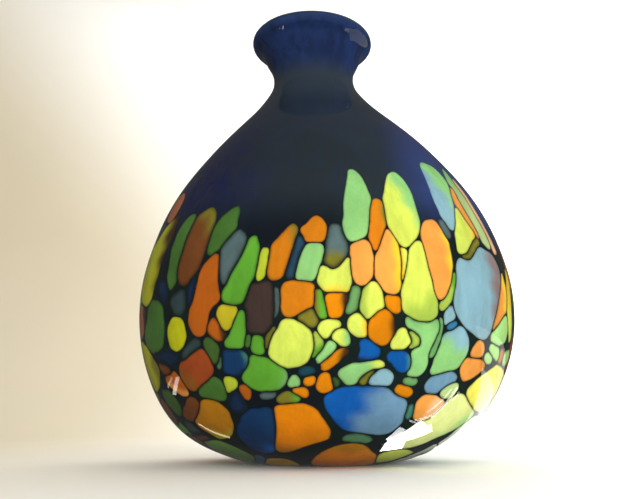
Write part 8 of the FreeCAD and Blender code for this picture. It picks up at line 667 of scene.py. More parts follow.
    ("chips_orange_middle", "orangeM", None, 0, [(-143.15, 87.35), (-141.41, 86.98), (-139.67, 87.35), (-137.91, 87.36), (-136.15, 87.24), (-134.58, 87.79), (-134.77, 90.39), (-135, 93.01), (-135.09, 95.66), (-135.71, 98.14), (-136.65, 100.39), (-138.18, 101.59), (-139.89, 101.9), (-141.3, 100.33), (-142.31, 98.19), (-143.1, 95.81), (-143.9, 93.44), (-144.67, 91.05), (-144.67, 88.51)]),
    ("chips_orange_middle", "orangeL", None, 0, [(173.04, 101.75), (174.71, 101.33), (175.18, 103.26), (174.57, 105.73), (174.18, 108.31), (173.71, 110.86), (172.54, 112.61), (171.01, 113.73), (169.52, 114.86), (167.91, 114.1), (166.54, 112.57), (166.01, 110.07), (165.72, 107.46), (165.47, 104.83), (166.33, 102.89), (167.98, 102.28), (169.67, 102.21), (171.37, 102.19)]),
    ("chips_orange_middle", "orange", None, 0, [(-125.19, 99.5), (-123.47, 99.22), (-122.69, 101.48), (-122.68, 104.25), (-122.68, 107.01), (-122.83, 109.76), (-123.31, 112.39), (-125.04, 112.55), (-126.78, 112.86), (-128.42, 113.91), (-130.04, 114.88), (-131.6, 113.72), (-132.43, 111.32), (-132.81, 108.62), (-133.17, 105.92), (-133.29, 103.17), (-132.12, 101.37), (-130.36, 101.3), (-128.61, 100.88), (-126.88, 100.3)]),
    ("chips_orange_middle", "orangeL", None, 0, [(-104.79, 102.65), (-103.11, 102.67), (-101.65, 104.02), (-101.41, 106.42), (-102.11, 108.87), (-102.25, 111.53), (-101.64, 114.02), (-102.44, 115.98), (-103.94, 117.28), (-105.5, 117.65), (-106.64, 115.68), (-107.55, 113.41), (-108.35, 111.03), (-109.14, 108.64), (-109.29, 106.09), (-108.04, 104.31), (-106.41, 103.53)]),
    ("chips_orange_middle", "orange", None, 1, [(103.02, 72.5), (105.01, 72.32), (106.93, 73.14), (108.43, 74.88), (108.42, 77.63), (107.83, 80.31), (106.69, 82.51), (104.87, 81.69), (103.35, 79.87), (102.44, 77.4), (102.02, 74.66)]),
    ("chips_orange_upper", "orangeD", None, 0, [(-36.39, 102.2), (-34.18, 103.02), (-33.21, 106.56), (-32.4, 110.17), (-30.87, 113.17), (-29.06, 115.67), (-29.28, 119.45), (-29.76, 123.2), (-29.88, 127.06), (-29.88, 130.95), (-30.26, 134.27), (-32.32, 132.23), (-34.05, 129.59), (-35.12, 126.13), (-36.01, 122.55), (-36.65, 118.85), (-37.34, 115.16), (-38.43, 111.7), (-39.1, 108), (-38.29, 104.47)]),
    ("chips_orange_upper", "orangeM", ("olive", 20, 0.2), 1, [(-13.89, 122.45), (-12.24, 122.69), (-11.29, 124.88), (-10.62, 127.36), (-10.08, 129.9), (-9.66, 132.49), (-9.18, 135.06), (-8.87, 137.69), (-8.42, 140.27), (-8.28, 142.94), (-9.11, 145.06), (-10.52, 143.74), (-11.63, 141.69), (-12.7, 139.58), (-13.66, 137.36), (-14.22, 134.83), (-14.55, 132.21), (-14.91, 129.6), (-15.13, 126.95), (-14.96, 124.45)]),
    ("chips_orange_upper", "orangeM", None, 0, [(-5.47, 137.3), (-3.67, 137.12), (-1.84, 137.13), (-1.08, 139.38), (-0.78, 142.1), (-1.08, 144.81), (-1.68, 147.42), (-3.14, 148.68), (-4.58, 147.09), (-5.52, 144.72), (-6.55, 142.43), (-6.16, 139.82)]),
    ("chips_orange_upper", "orangeL", None, 0, [(7.43, 119.75), (9.08, 119.93), (10.1, 122.17), (10.62, 124.76), (10.73, 127.51), (10.92, 130.23), (10.62, 132.92), (10.59, 135.69), (9.35, 137.33), (7.66, 136.81), (6.22, 135.25), (5.79, 132.74), (5.58, 130.04), (5.58, 127.26), (5.88, 124.57), (6.43, 121.98)]),
    ("chips_orange_upper", "orangeM", ("olive", 0, 0.15), 0, [(11.93, 133.7), (12.84, 135.74), (13.42, 138.3), (14.11, 140.79), (14.79, 143.29), (15.35, 145.84), (15.42, 148.56), (15.42, 151.28), (15.41, 154.01), (14.86, 156.55), (13.57, 156.94), (12.66, 154.61), (11.89, 152.17), (11.57, 149.53), (11.28, 146.87), (11.01, 144.23), (10.98, 141.5), (10.98, 138.77), (11.25, 136.13)]),
    ("chips_orange_upper", "orangeL", ("yellow", 0, 0.25), 0, [(15.52, 116.6), (17.2, 117.74), (17.97, 120.43), (18.12, 123.44), (18.33, 126.45), (18.42, 129.48), (18.42, 132.53), (18.12, 135.48), (17.68, 138.39), (16.82, 141.09), (15.64, 143.16), (14.68, 140.55), (13.93, 137.77), (13.09, 135.04), (12.45, 132.19), (11.98, 129.3), (11.88, 126.28), (11.98, 123.26), (12.74, 120.48), (13.87, 118.12)]),
    ("chips_orange_upper", "orangeL", ("yellow", 0, 0.18), 0, [(29.03, 115.7), (31, 117.22), (32.18, 120.74), (33.14, 124.39), (33.77, 128.2), (34.02, 132.1), (34.32, 136), (34.02, 139.9), (33.18, 143.59), (32.21, 147.21), (30.51, 150.01), (28.24, 149.11), (26.83, 145.88), (25.97, 142.17), (25.64, 138.44), (25.95, 134.51), (26.28, 130.6), (26.72, 126.74), (27.46, 122.98), (27.82, 119.09)]),
    ("chips_orange_upper", "orangeL", None, 1, [(49.47, 146.3), (49.7, 148.76), (49.3, 151.61), (48.56, 154.33), (47.94, 157.12), (47.33, 159.91), (47, 162.78), (46.7, 165.65), (46.92, 168.53), (47.25, 171.39), (46.35, 172.42), (45.33, 169.9), (44.45, 167.25), (44.01, 164.43), (43.78, 161.56), (44.31, 158.75), (45.15, 156.09), (46.04, 153.45), (47.16, 151.04), (48.24, 148.58)]),
    ("chips_orange_upper", "orangeL", ("yellow", 0, 0.3), 1, [(51.22, 106.25), (52.88, 107.41), (54.61, 109.26), (56.26, 111.26), (57.95, 113.18), (59.52, 115.25), (60.31, 118.28), (60.72, 121.47), (60.95, 124.69), (60.49, 127.85), (60.13, 131.06), (59.59, 132.49), (58.71, 129.53), (57.61, 126.73), (56.55, 123.91), (55.45, 121.11), (54.61, 118.11), (53.64, 115.18), (52.8, 112.22), (51.74, 109.39)]),
    ("chips_orange_upper", "orangeD", None, 1, [(133.58, 117.5), (135.11, 118.51), (136.13, 120.73), (136.82, 123.25), (137.25, 125.92), (137.57, 128.63), (137.59, 131.38), (137.37, 134.11), (136.55, 136.46), (134.93, 136.55), (133.79, 134.48), (132.95, 132.06), (132.16, 129.61), (131.62, 126.99), (131.34, 124.28), (131.34, 121.61), (132.31, 119.33)]),
    ("chips_orange_upper", "orangeM", None, 0, [(170.4, 119.75), (172.46, 120.19), (174.52, 120.63), (175.23, 123.69), (175.61, 126.96), (176.03, 130.21), (176.19, 133.49), (175.59, 136.67), (174.98, 139.85), (174.29, 142.98), (173.71, 146.17), (172.14, 147.09), (170.82, 144.5), (169.71, 141.68), (168.77, 138.71), (168.58, 135.42), (168.58, 132.1), (168.57, 128.78), (168.42, 125.5), (169.17, 122.4)]),
    ("chips_orange_upper", "orangeL", None, 0, [(-172.35, 116.6), (-170.67, 116.67), (-169.23, 118.22), (-168.07, 120.29), (-167.48, 122.79), (-167.76, 125.53), (-168.07, 128.25), (-168.61, 130.88), (-169.85, 132.76), (-171.35, 131.8), (-172.19, 129.37), (-172.88, 126.82), (-173.33, 124.15), (-173.58, 121.42), (-173.45, 118.67)]),
    ("chips_orange_upper", "orangeD", None, 1, [(-154.96, 116.6), (-153.35, 117.32), (-152.55, 119.96), (-152.2, 122.83), (-151.93, 125.72), (-151.95, 128.65), (-152.31, 131.53), (-152.9, 134.3), (-153.72, 136.93), (-154.66, 139.46), (-155.79, 141.78), (-157.12, 140.89), (-157.52, 138.04), (-157.52, 135.11), (-157.53, 132.18), (-157.8, 129.29), (-157.65, 126.38), (-157.52, 123.46), (-157.48, 120.53), (-156.55, 118.13)]),
    ("chips_orange_upper", "orangeL", None, 1, [(-126.68, 114.35), (-124.64, 114.02), (-123.04, 115.73), (-123.21, 118.98), (-123.31, 122.27), (-123.58, 125.52), (-123.8, 128.78), (-123.94, 132.06), (-124.34, 135.29), (-125.26, 138.23), (-126.19, 141.18), (-127.6, 140.72), (-128.45, 137.72), (-129.23, 134.67), (-129.79, 131.5), (-130.14, 128.27), (-130.17, 125.02), (-129.97, 121.75), (-129.59, 118.52), (-128.55, 115.78)]),
    ("chips_orange_upper", "orangeD", None, 0, [(-121.43, 116.6), (-119.35, 116.95), (-117.29, 117.44), (-116.09, 119.82), (-115.77, 123.08), (-115.49, 126.35), (-115.81, 129.6), (-116.35, 132.79), (-117.04, 135.91), (-117.73, 139.03), (-118.52, 142.08), (-119.75, 144.15), (-120.59, 141.17), (-121.38, 138.12), (-122.6, 135.45), (-123.06, 132.45), (-122.92, 129.16), (-122.72, 125.88), (-122.44, 122.62), (-122.33, 119.32)]),
    ("chips_orange_upper", "orangeM", None, 0, [(-111.09, 108.05), (-109.68, 110.2), (-108.7, 113.16), (-107.61, 116.02), (-106.28, 118.59), (-105.58, 121.61), (-105.58, 124.95), (-105.58, 128.29), (-106.62, 130.85), (-108.39, 132.64), (-109.94, 134.89), (-111.42, 134.2), (-112.07, 131.03), (-112.95, 128), (-114.37, 125.53), (-114.93, 122.33), (-115.24, 119.03), (-114.6, 116), (-113.37, 113.29), (-112.54, 110.22)]),
    ("chips_orange_upper", "orangeL", None, 1, [(-100.43, 116.15), (-98.8, 116.05), (-97.89, 118.24), (-97.52, 120.84), (-97.48, 123.52), (-97.48, 126.19), (-97.71, 128.83), (-98.4, 131.28), (-99.17, 133.65), (-100.03, 135.95), (-101.4, 137.24), (-102.65, 135.47), (-103.66, 133.34), (-104.55, 131.07), (-104.72, 128.43), (-104.72, 125.75), (-104.72, 123.08), (-104.6, 120.42), (-103.45, 118.55), (-101.96, 117.28)]),
    ("chips_orange_upper", "orangeM", None, 1, [(-82.75, 114.8), (-81.03, 114.59), (-79.28, 114.84), (-78.07, 116.44), (-78.27, 119.2), (-78.32, 121.98), (-78.62, 124.72), (-79.04, 127.42), (-79.58, 130.07), (-80.53, 132.41), (-81.71, 134.44), (-83.28, 133.84), (-84.29, 131.58), (-85.09, 129.1), (-85.98, 126.7), (-86.87, 124.3), (-87.19, 121.59), (-87.13, 118.81), (-86.02, 116.81), (-84.41, 115.71)]),
    ("chips_orange_upper", "orangeM", None, 0, [(68.39, 127.85), (70.27, 131.08), (72.07, 134.67), (73.92, 138.2), (76.16, 141.12), (76.81, 145.47), (77.22, 149.92), (77.07, 154.39), (76.66, 158.84), (76.03, 163.24), (75.21, 167.55), (73.13, 166.15), (71.54, 162.34), (70.14, 158.37), (68.95, 154.25), (68.01, 149.98), (67.49, 145.56), (67.33, 141.08), (67.33, 136.58), (67.56, 132.11)]),
    ("chips_royal_blue_lower", "royalD2", ("royal", 300, 0.2), 0, [(-27.95, 40.55), (-24.61, 40.96), (-22.42, 43.84), (-20.89, 47.33), (-19.61, 50.96), (-18.47, 54.64), (-17.55, 58.4), (-17, 62.23), (-16.69, 66.1), (-17.15, 69.84), (-20.44, 70.1), (-23.72, 69.04), (-26.35, 66.54), (-28.56, 63.56), (-30.46, 60.38), (-32.05, 56.92), (-33.09, 53.25), (-33.41, 49.46), (-33.04, 45.6), (-30.86, 42.61)]),
    ("chips_royal_blue_lower", "azure", None, 0, [(-49.78, 24.35), (-46.07, 24.68), (-42.95, 26.29), (-39.9, 27.97), (-37.18, 29.9), (-35.63, 32.44), (-34.21, 35.02), (-35.26, 36.85), (-38.02, 34.95), (-40.32, 32.72), (-42.61, 30.49), (-45.28, 28.5), (-48.07, 26.6)]),
    ("chips_royal_blue_lower", "royal", ("skyD", 340, 0.55), 0, [(20.02, 56.3), (23.19, 57.82), (24.76, 61.99), (24.85, 66.45), (24.41, 71.03), (22.49, 74.46), (19.14, 75.99), (16.29, 78.78), (12.78, 79.43), (9.29, 79.43), (5.74, 79.12), (2.33, 77.91), (-0.29, 74.97), (-0.11, 70.69), (1.67, 66.69), (3.65, 62.82), (6.09, 59.71), (9.57, 58.82), (13.07, 58.13), (16.57, 57.31)]),
    ("chips_royal_blue_lower", "royal", None, 1, [(148.99, 22.55), (154.6, 22.3), (160.24, 22.34), (165.83, 22.84), (171.39, 23.57), (175.84, 26.13), (178.66, 29.96), (178.97, 34.48), (178.97, 39.02), (177.07, 42.88), (171.75, 44.41), (166.56, 46.17), (161.23, 47.04), (155.67, 46.39), (150.17, 45.55), (146.79, 41.94), (142.72, 38.81), (142.38, 34.67), (143.64, 30.25), (145.39, 25.95)]),
    ("chips_royal_blue_lower", "royal", None, 1, [(176.6, 44.6), (179.12, 45.73), (179.17, 49.58), (179.17, 53.43), (179.17, 57.27), (179.17, 61.12), (179.17, 64.97), (179.17, 68.81), (177.85, 71.62), (174.77, 70.26), (171.59, 69.25), (168.52, 68.15), (167.2, 64.63), (166.08, 61.01), (165.4, 57.25), (164.94, 53.45), (164.48, 49.64), (167.07, 47.63), (170.22, 46.52), (173.4, 45.51)]),
    ("chips_royal_blue_lower", "royal", None, 1, [(-136.89, 41.9), (-134.24, 44.05), (-132.53, 47.45), (-131.46, 51.18), (-131.11, 55.09), (-131.74, 58.87), (-133.38, 62.33), (-135, 65.79), (-137.36, 68.54), (-140.28, 70.54), (-143.3, 72.35), (-145.66, 69.93), (-147.87, 66.94), (-148.87, 63.35), (-148.58, 59.43), (-147.69, 55.63), (-146.47, 51.95), (-144.95, 48.43), (-142.88, 45.31), (-140.12, 43.03)]),
    ("chips_royal_blue_lower", "royal", None, 1, [(87.83, 61.25), (89.41, 61.14), (90.55, 62.69), (90.93, 64.71), (90.16, 66.56), (88.72, 67.59), (87.23, 66.83), (86.56, 64.91), (86.74, 62.83)]),
    ("chips_royal_blue_middle", "azure", None, 0, [(32.21, 104.45), (33, 104.18), (33.86, 104.36), (34.63, 104.97), (35.24, 105.92), (34.91, 106.83), (34.04, 106.88), (33.26, 106.37), (32.54, 105.66)]),
    ("chips_royal_blue_middle", "royal", ("royalD", 270, 0.2), 0, [(8.04, 90.5), (9.68, 90.76), (11.35, 91.23), (12.73, 92.4), (12.74, 94.85), (11.53, 96.53), (10.06, 97.86), (8.42, 98.17), (8.28, 95.62), (8.28, 93.02)]),
    ("chips_royal_blue_middle", "royal", ("teal", 0, 0.14), 0, [(20.01, 86.45), (21.71, 87.04), (22.32, 89.49), (21.62, 91.98), (20.06, 93.39), (18.26, 93.83), (16.42, 93.65), (15.78, 91.65), (17.13, 89.84), (18.44, 87.88)]),
    ("chips_royal_blue_middle", "royalD2", ("teal", 0, 0.14), 1, [(-27.69, 85.55), (-25.95, 85.37), (-24.27, 85.95), (-22.89, 87.53), (-21.97, 89.74), (-21.69, 92.2), (-22.92, 93.96), (-24.57, 94.73), (-26.33, 94.73), (-28.04, 94.44), (-28.87, 92.16), (-29.2, 89.6), (-29.13, 86.99)]),
    ("chips_royal_blue_middle", "royalD", None, 2, [(-51.09, 90.5), (-49.31, 90.58), (-47.62, 91.6), (-46.09, 93), (-46.03, 94.88), (-47.63, 96.08), (-49.41, 96.53), (-51.19, 96.98), (-53.02, 96.98), (-54.86, 96.98), (-56.66, 96.58), (-58.48, 96.35), (-57.85, 93.84), (-56.32, 92.69), (-54.51, 92.32), (-52.81, 91.35)]),
    ("chips_royal_blue_middle", "royalD", None, 2, [(-28.58, 68.45), (-26.81, 68.98), (-25.19, 70.31), (-25.08, 72.87), (-25.41, 75.38), (-26.64, 77.15), (-28.25, 76.63), (-29.52, 74.71), (-30.14, 72.31), (-30.04, 69.79)]),
    ("chips_royal_blue_middle", "tealD", None, 1, [(-6.9, 84.65), (-5.96, 84.27), (-4.99, 84.52), (-4.06, 85), (-3.7, 86.18), (-4.44, 87.05), (-5.42, 87.08), (-6.39, 86.89), (-7.15, 86.03)]),
    ("chips_royal_blue_middle", "royal", None, 1, [(-124.21, 71.15), (-121.9, 71.58), (-119.96, 73.43), (-119.17, 76.26), (-120.29, 79.15), (-120.07, 82.45), (-118.35, 84.7), (-117.41, 87.18), (-118.91, 89.74), (-120.85, 91.63), (-123.04, 92.18), (-124.85, 90.04), (-126.63, 87.84), (-128.57, 85.97), (-130.77, 84.8), (-131.77, 81.86), (-131.51, 78.54), (-130.43, 75.6), (-128.55, 73.59), (-126.49, 71.98)]),
    ("chips_royal_blue_middle", "royal", None, 0, [(-97.43, 90.5), (-95.64, 90.07), (-93.85, 90.44), (-92.75, 92.56), (-92.4, 95.25), (-92.52, 97.93), (-94.11, 99.2), (-95.85, 99.98), (-97.57, 100.87), (-99.17, 102.17), (-100.83, 102.98), (-102.1, 101.08), (-102.62, 98.46), (-102.87, 95.72), (-102.59, 93.09), (-100.92, 92.01), (-99.17, 91.26)]),
    ("chips_royal_blue_middle", "royal", None, 0, [(-142.62, 101.75), (-141.39, 102.1), (-140.62, 103.68), (-140.69, 105.68), (-141.24, 107.5), (-142.43, 107.87), (-143.44, 106.63), (-143.92, 104.76), (-143.71, 102.81)]),
    ("chips_royal_blue_middle", "royal", None, 1, [(-100.8, 108.05), (-99.78, 108.11), (-99.01, 109.53), (-98.7, 111.32), (-98.81, 113.17), (-99.71, 114.11), (-100.71, 113.2), (-101.31, 111.6), (-101.29, 109.75)]),
    ("chips_royal_blue_upper", "royalD", None, 2, [(-39.06, 114.8), (-37.87, 116.36), (-37.14, 118.91), (-36.76, 121.64), (-36.52, 124.39), (-37.9, 125.28), (-38.78, 122.81), (-39.35, 120.17), (-39.63, 117.45)]),
    ("chips_royal_blue_upper", "royalD", None, 2, [(-49.25, 117.05), (-48.62, 119.1), (-48.48, 121.77), (-49.08, 124.26), (-50, 126.46), (-51.62, 127.15), (-53.17, 127.4), (-53.5, 124.78), (-53.06, 122.26), (-51.85, 120.35), (-50.73, 118.35)]),
    ("chips_yellow_lower", "yellowO", None, 0, [(-32.37, 17.6), (-28.27, 17.78), (-24.2, 18.67), (-20.08, 19.46), (-17.42, 21.35), (-17.14, 24.07), (-17.49, 26.78), (-18.63, 29.41), (-20.5, 31.86), (-24.16, 33.05), (-28.4, 32.73), (-32.25, 31.51), (-35.61, 29.83), (-38.27, 27.68), (-41.01, 25.57), (-43.57, 23.39), (-41.92, 21.12), (-39.41, 18.93), (-36.24, 17.8)]),
    ("chips_yellow_lower", "yellowO", None, 0, [(-141.03, 18.05), (-134.39, 17.8), (-127.69, 17.8), (-121, 17.8), (-114.31, 17.8), (-107.62, 17.8), (-100.93, 17.8), (-94.24, 17.81), (-91.45, 20.76), (-93.18, 25.01), (-96.2, 28.93), (-100.49, 32.29), (-105.81, 34.93), (-111.89, 36.75), (-118.46, 36.43), (-125, 35.54), (-130.63, 33.44), (-134.29, 29.76), (-137.75, 25.99), (-140.93, 22.12)]),
    ("chips_yellow_lower", "yellowL", None, 0, [(149.82, 47.75), (153.44, 47.74), (157.15, 47.86), (160.82, 48.48), (163.33, 51.24), (163.94, 55.69), (164.56, 60.14), (165.75, 64.4), (167.03, 68.63), (164.54, 71.42), (161.02, 72.86), (157.82, 75.11), (154.78, 73.35), (151.65, 70.98), (147.97, 70.69), (145.05, 69.32), (145.91, 64.94), (146.49, 60.48), (147.04, 56.02), (148.08, 51.7)]),
    ("chips_yellow_middle", "yellowD", None, 0, [(-27.08, 103.1), (-25.87, 104.59), (-25.11, 106.98), (-24.11, 109.06), (-23.49, 111.27), (-25, 112.28), (-26.66, 112.61), (-28.3, 112.06), (-29.17, 109.79), (-28.91, 107.34), (-28.25, 104.89)]),
    ("chips_yellow_middle", "yellowL", None, 0, [(60.05, 70.7), (63.83, 70.52), (67.61, 70.67), (71.29, 71.93), (75, 72.99), (74.97, 76.95), (73.82, 81.16), (75.52, 85.04), (73.88, 87.75), (70.22, 89.11), (66.47, 89.85), (62.73, 90.67), (58.97, 91.11), (55.48, 89.19), (52.17, 86.58), (49.05, 83.55), (46.72, 79.55), (49.33, 75.82), (52.75, 73.56), (56.37, 71.95)]),
    ("chips_yellow_middle", "yellowD", None, 0, [(176.8, 102.2), (178.55, 102.03), (179.57, 103.96), (179.58, 106.74), (179.58, 109.53), (179.58, 112.31), (179.07, 114.83), (177.41, 115.8), (176.03, 114.48), (174.76, 112.55), (174.89, 109.85), (175.28, 107.14), (175.9, 104.54)]),
    ("chips_yellow_upper", "yellow", ("limeL", 270, 0.4), 1, [(65.21, 103.1), (67.09, 104.58), (67.34, 107.98), (67.19, 111.53), (66.53, 114.94), (66.18, 118.46), (66.14, 122.03), (66.24, 125.57), (66.35, 129.1), (66.26, 132.62), (65.39, 135.75), (63.9, 133.19), (63.05, 129.89), (62.41, 126.47), (62.02, 122.96), (61.67, 119.43), (61.48, 115.9), (62.02, 112.44), (63.05, 109.27), (64.03, 106.07)]),
]

clear = clear_material()
cobalt_cased = cobalt_material("cobalt_cased", False)
cobalt_bare = cobalt_material("cobalt_bare", True)

# ------------------------------------------------------------------ the shells
SEG = 224
xs = np.linspace(0, out_s[-1], 132)
lip = out_s[-1] - 46
xs = np.r_[np.arange(0, lip, 2.2), np.linspace(lip, out_s[-1], 54)]
outer = [tuple(p) for p in at(out_q, out_s, xs)]
cs = np.r_[np.arange(0.0, LEN - 46, 2.2), np.linspace(LEN - 46, LEN, 54)]
co_line = at(co_q, co_s, cs)
co_nrm = inward(co_q, co_s, cs)
buried = [tuple(p + n * 0.45) for p, n in zip(co_line, co_nrm)]
buried[-1] = (RIM_R, RIM_Z + RIM_A - RIM_CASE - 0.45)
foot = [(0, 1.2), (8, 1.2), (15.0, 1.2), (17.0, 0.6), (19.0, 0.0), (25.0, 0.0)]
prof = foot + outer + [(RIM_R, RIM_Z + RIM_A - 0.6)] + buried[::-1] + [(0, buried[0][1])]
casing = turned("casing_glass", prof, SEG, [clear],
                sharp_rows=(2, 4, 6, len(foot) + len(outer) - 1, len(foot) + len(outer) + 1))
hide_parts("clear_casing")
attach(casing, "root")

ins = np.r_[np.arange(0.0, in_s[-1] - 40, 2.4), np.linspace(in_s[-1] - 40, in_s[-1], 48)]
inner = [tuple(p) for p in at(in_q, in_s, ins)]
co_prof = [(0, float(co_line[0][1]))] + [tuple(p) for p in co_line] \
    + [(RIM_R, RIM_Z + RIM_A - 0.6)] + inner[::-1] + [(0, inner[0][1])]
nb = len(co_line)
bands = [0] * nb + [1] * (len(co_prof) - 1 - nb)
bubble = turned("cobalt_bubble_glass", co_prof, SEG, [cobalt_cased, cobalt_bare],
                bands, sharp_rows=(nb, nb + 2))
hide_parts("cobalt_bubble")
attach(bubble, "root")


# ------------------------------------------------------------------- the chips
def closed_curve(pts, n):
    """Smooth closed curve through pts, n points evenly spread."""
    p = np.array(pts)
    m = len(p)
    out = []
    for i in range(m):
        p0, p1, p2, p3 = p[i - 1], p[i], p[(i + 1) % m], p[(i + 2) % m]
        for k in range(8):
            t = k / 8
            out.append(0.5 * ((2 * p1) + (p2 - p0) * t + (2 * p0 - 5 * p1 + 4 * p2 - p3) * t * t
                              + (3 * p1 - p0 - 3 * p2 + p3) * t ** 3))
    c = np.array(out)
    d = np.r_[0, np.cumsum(np.linalg.norm(np.diff(np.r_[c, c[:1]], axis=0), axis=1))]
    q = np.linspace(0, d[-1], n, endpoint=False)
    cc = np.r_[c, c[:1]]
    return np.stack([np.interp(q, d, cc[:, 0]), np.interp(q, d, cc[:, 1])], -1), d[-1]


def ring_area(r):
    x, y = r[:, 0], r[:, 1]
    return float((x * np.roll(y, -1) - np.roll(x, -1) * y).sum() / 2)


def dist_to(poly, pts):
    a = poly
    b = np.roll(poly, -1, axis=0)
    ab = b - a
    l2 = (ab ** 2).sum(1)
    ap = pts[:, None, :] - a[None]
    t = np.clip((ap * ab[None]).sum(-1) / l2[None], 0, 1)
    d = ap - t[..., None] * ab[None]
    return np.sqrt((d ** 2).sum(-1)).min(1)


def inside(poly, pts):
    x, y = pts[:, 0][:, None], pts[:, 1][:, None]
    a = poly
    b = np.roll(poly, -1, axis=0)
    cond = (a[:, 1][None] > y) != (b[:, 1][None] > y)
    dy = b[:, 1] - a[:, 1]
    dy = np.where(np.abs(dy) < 1e-12, 1e-12, dy)
    xi = a[:, 0] + (b[:, 0] - a[:, 0]) * (y - a[:, 1][None]) / dy
    return (cond & (x < xi)).sum(1) % 2 == 1


def smooth01(x):
    x = np.clip(x, 0, 1)
    return x * x * (3 - 2 * x)


rng = random.Random(11)
by_node = {}
for entry in CHIPS:
    by_node.setdefault(entry[0], []).append(entry)

# every outline, finely walked, so each chip knows how near its neighbours lie
ALL = []
for i, entry in enumerate(CHIPS):
    o = np.array(entry[4], float)
    R = float(at(co_q, co_s, o[:, 1].mean())[0])
    kx = math.radians(1.0) * R
    q = closed_curve(np.c_[o[:, 0] * kx, o[:, 1]], 90)[0]
    ALL.append(np.c_[q[:, 0] / kx, q[:, 1], np.full(len(q), i)])
ALL = np.concatenate(ALL)
INDEX = {id(e): i for i, e in enumerate(CHIPS)}


def grown(ring, a0, kx, me):
    """Outline let out until it all but meets its neighbours, as the hot chips spread."""
    da = (ALL[:, 0] - a0 + 180) % 360 - 180
    lo, hi = ring.min(0), ring.max(0)
    near = (ALL[:, 2] != me) & (da * kx > lo[0] - 8) & (da * kx < hi[0] + 8) \
        & (ALL[:, 1] > lo[1] - 8) & (ALL[:, 1] < hi[1] + 8)
    n = len(ring)
    if not near.any():
        g = np.full(n, 0.3)
    else:
        q = np.c_[da[near] * kx, ALL[near, 1]]
        d = np.sqrt(((ring[:, None] - q[None]) ** 2).sum(-1)).min(1)
        g = np.interp(d, [0.12, 0.16, 2.7, 3.6, 5.5], [0, 0.02, 1.28, 0.9, 0.3])
        lim = np.maximum(0, 0.5 * d - 0.05)
        for _ in range(3):
            g = (np.roll(g, 1) + 2 * g + np.roll(g, -1)) / 4
        g = np.minimum(g, lim)
    tang = np.roll(ring, -1, 0) - np.roll(ring, 1, 0)
    tang /= np.linalg.norm(tang, axis=1, keepdims=True)
    out = np.c_[tang[:, 1], -tang[:, 0]]
    x, y = ring[:, 0], ring[:, 1]
    ar = (x * np.roll(y, -1) - np.roll(x, -1) * y).sum()
    if ar < 0:
        out = -out
    return ring + out * g[:, None]

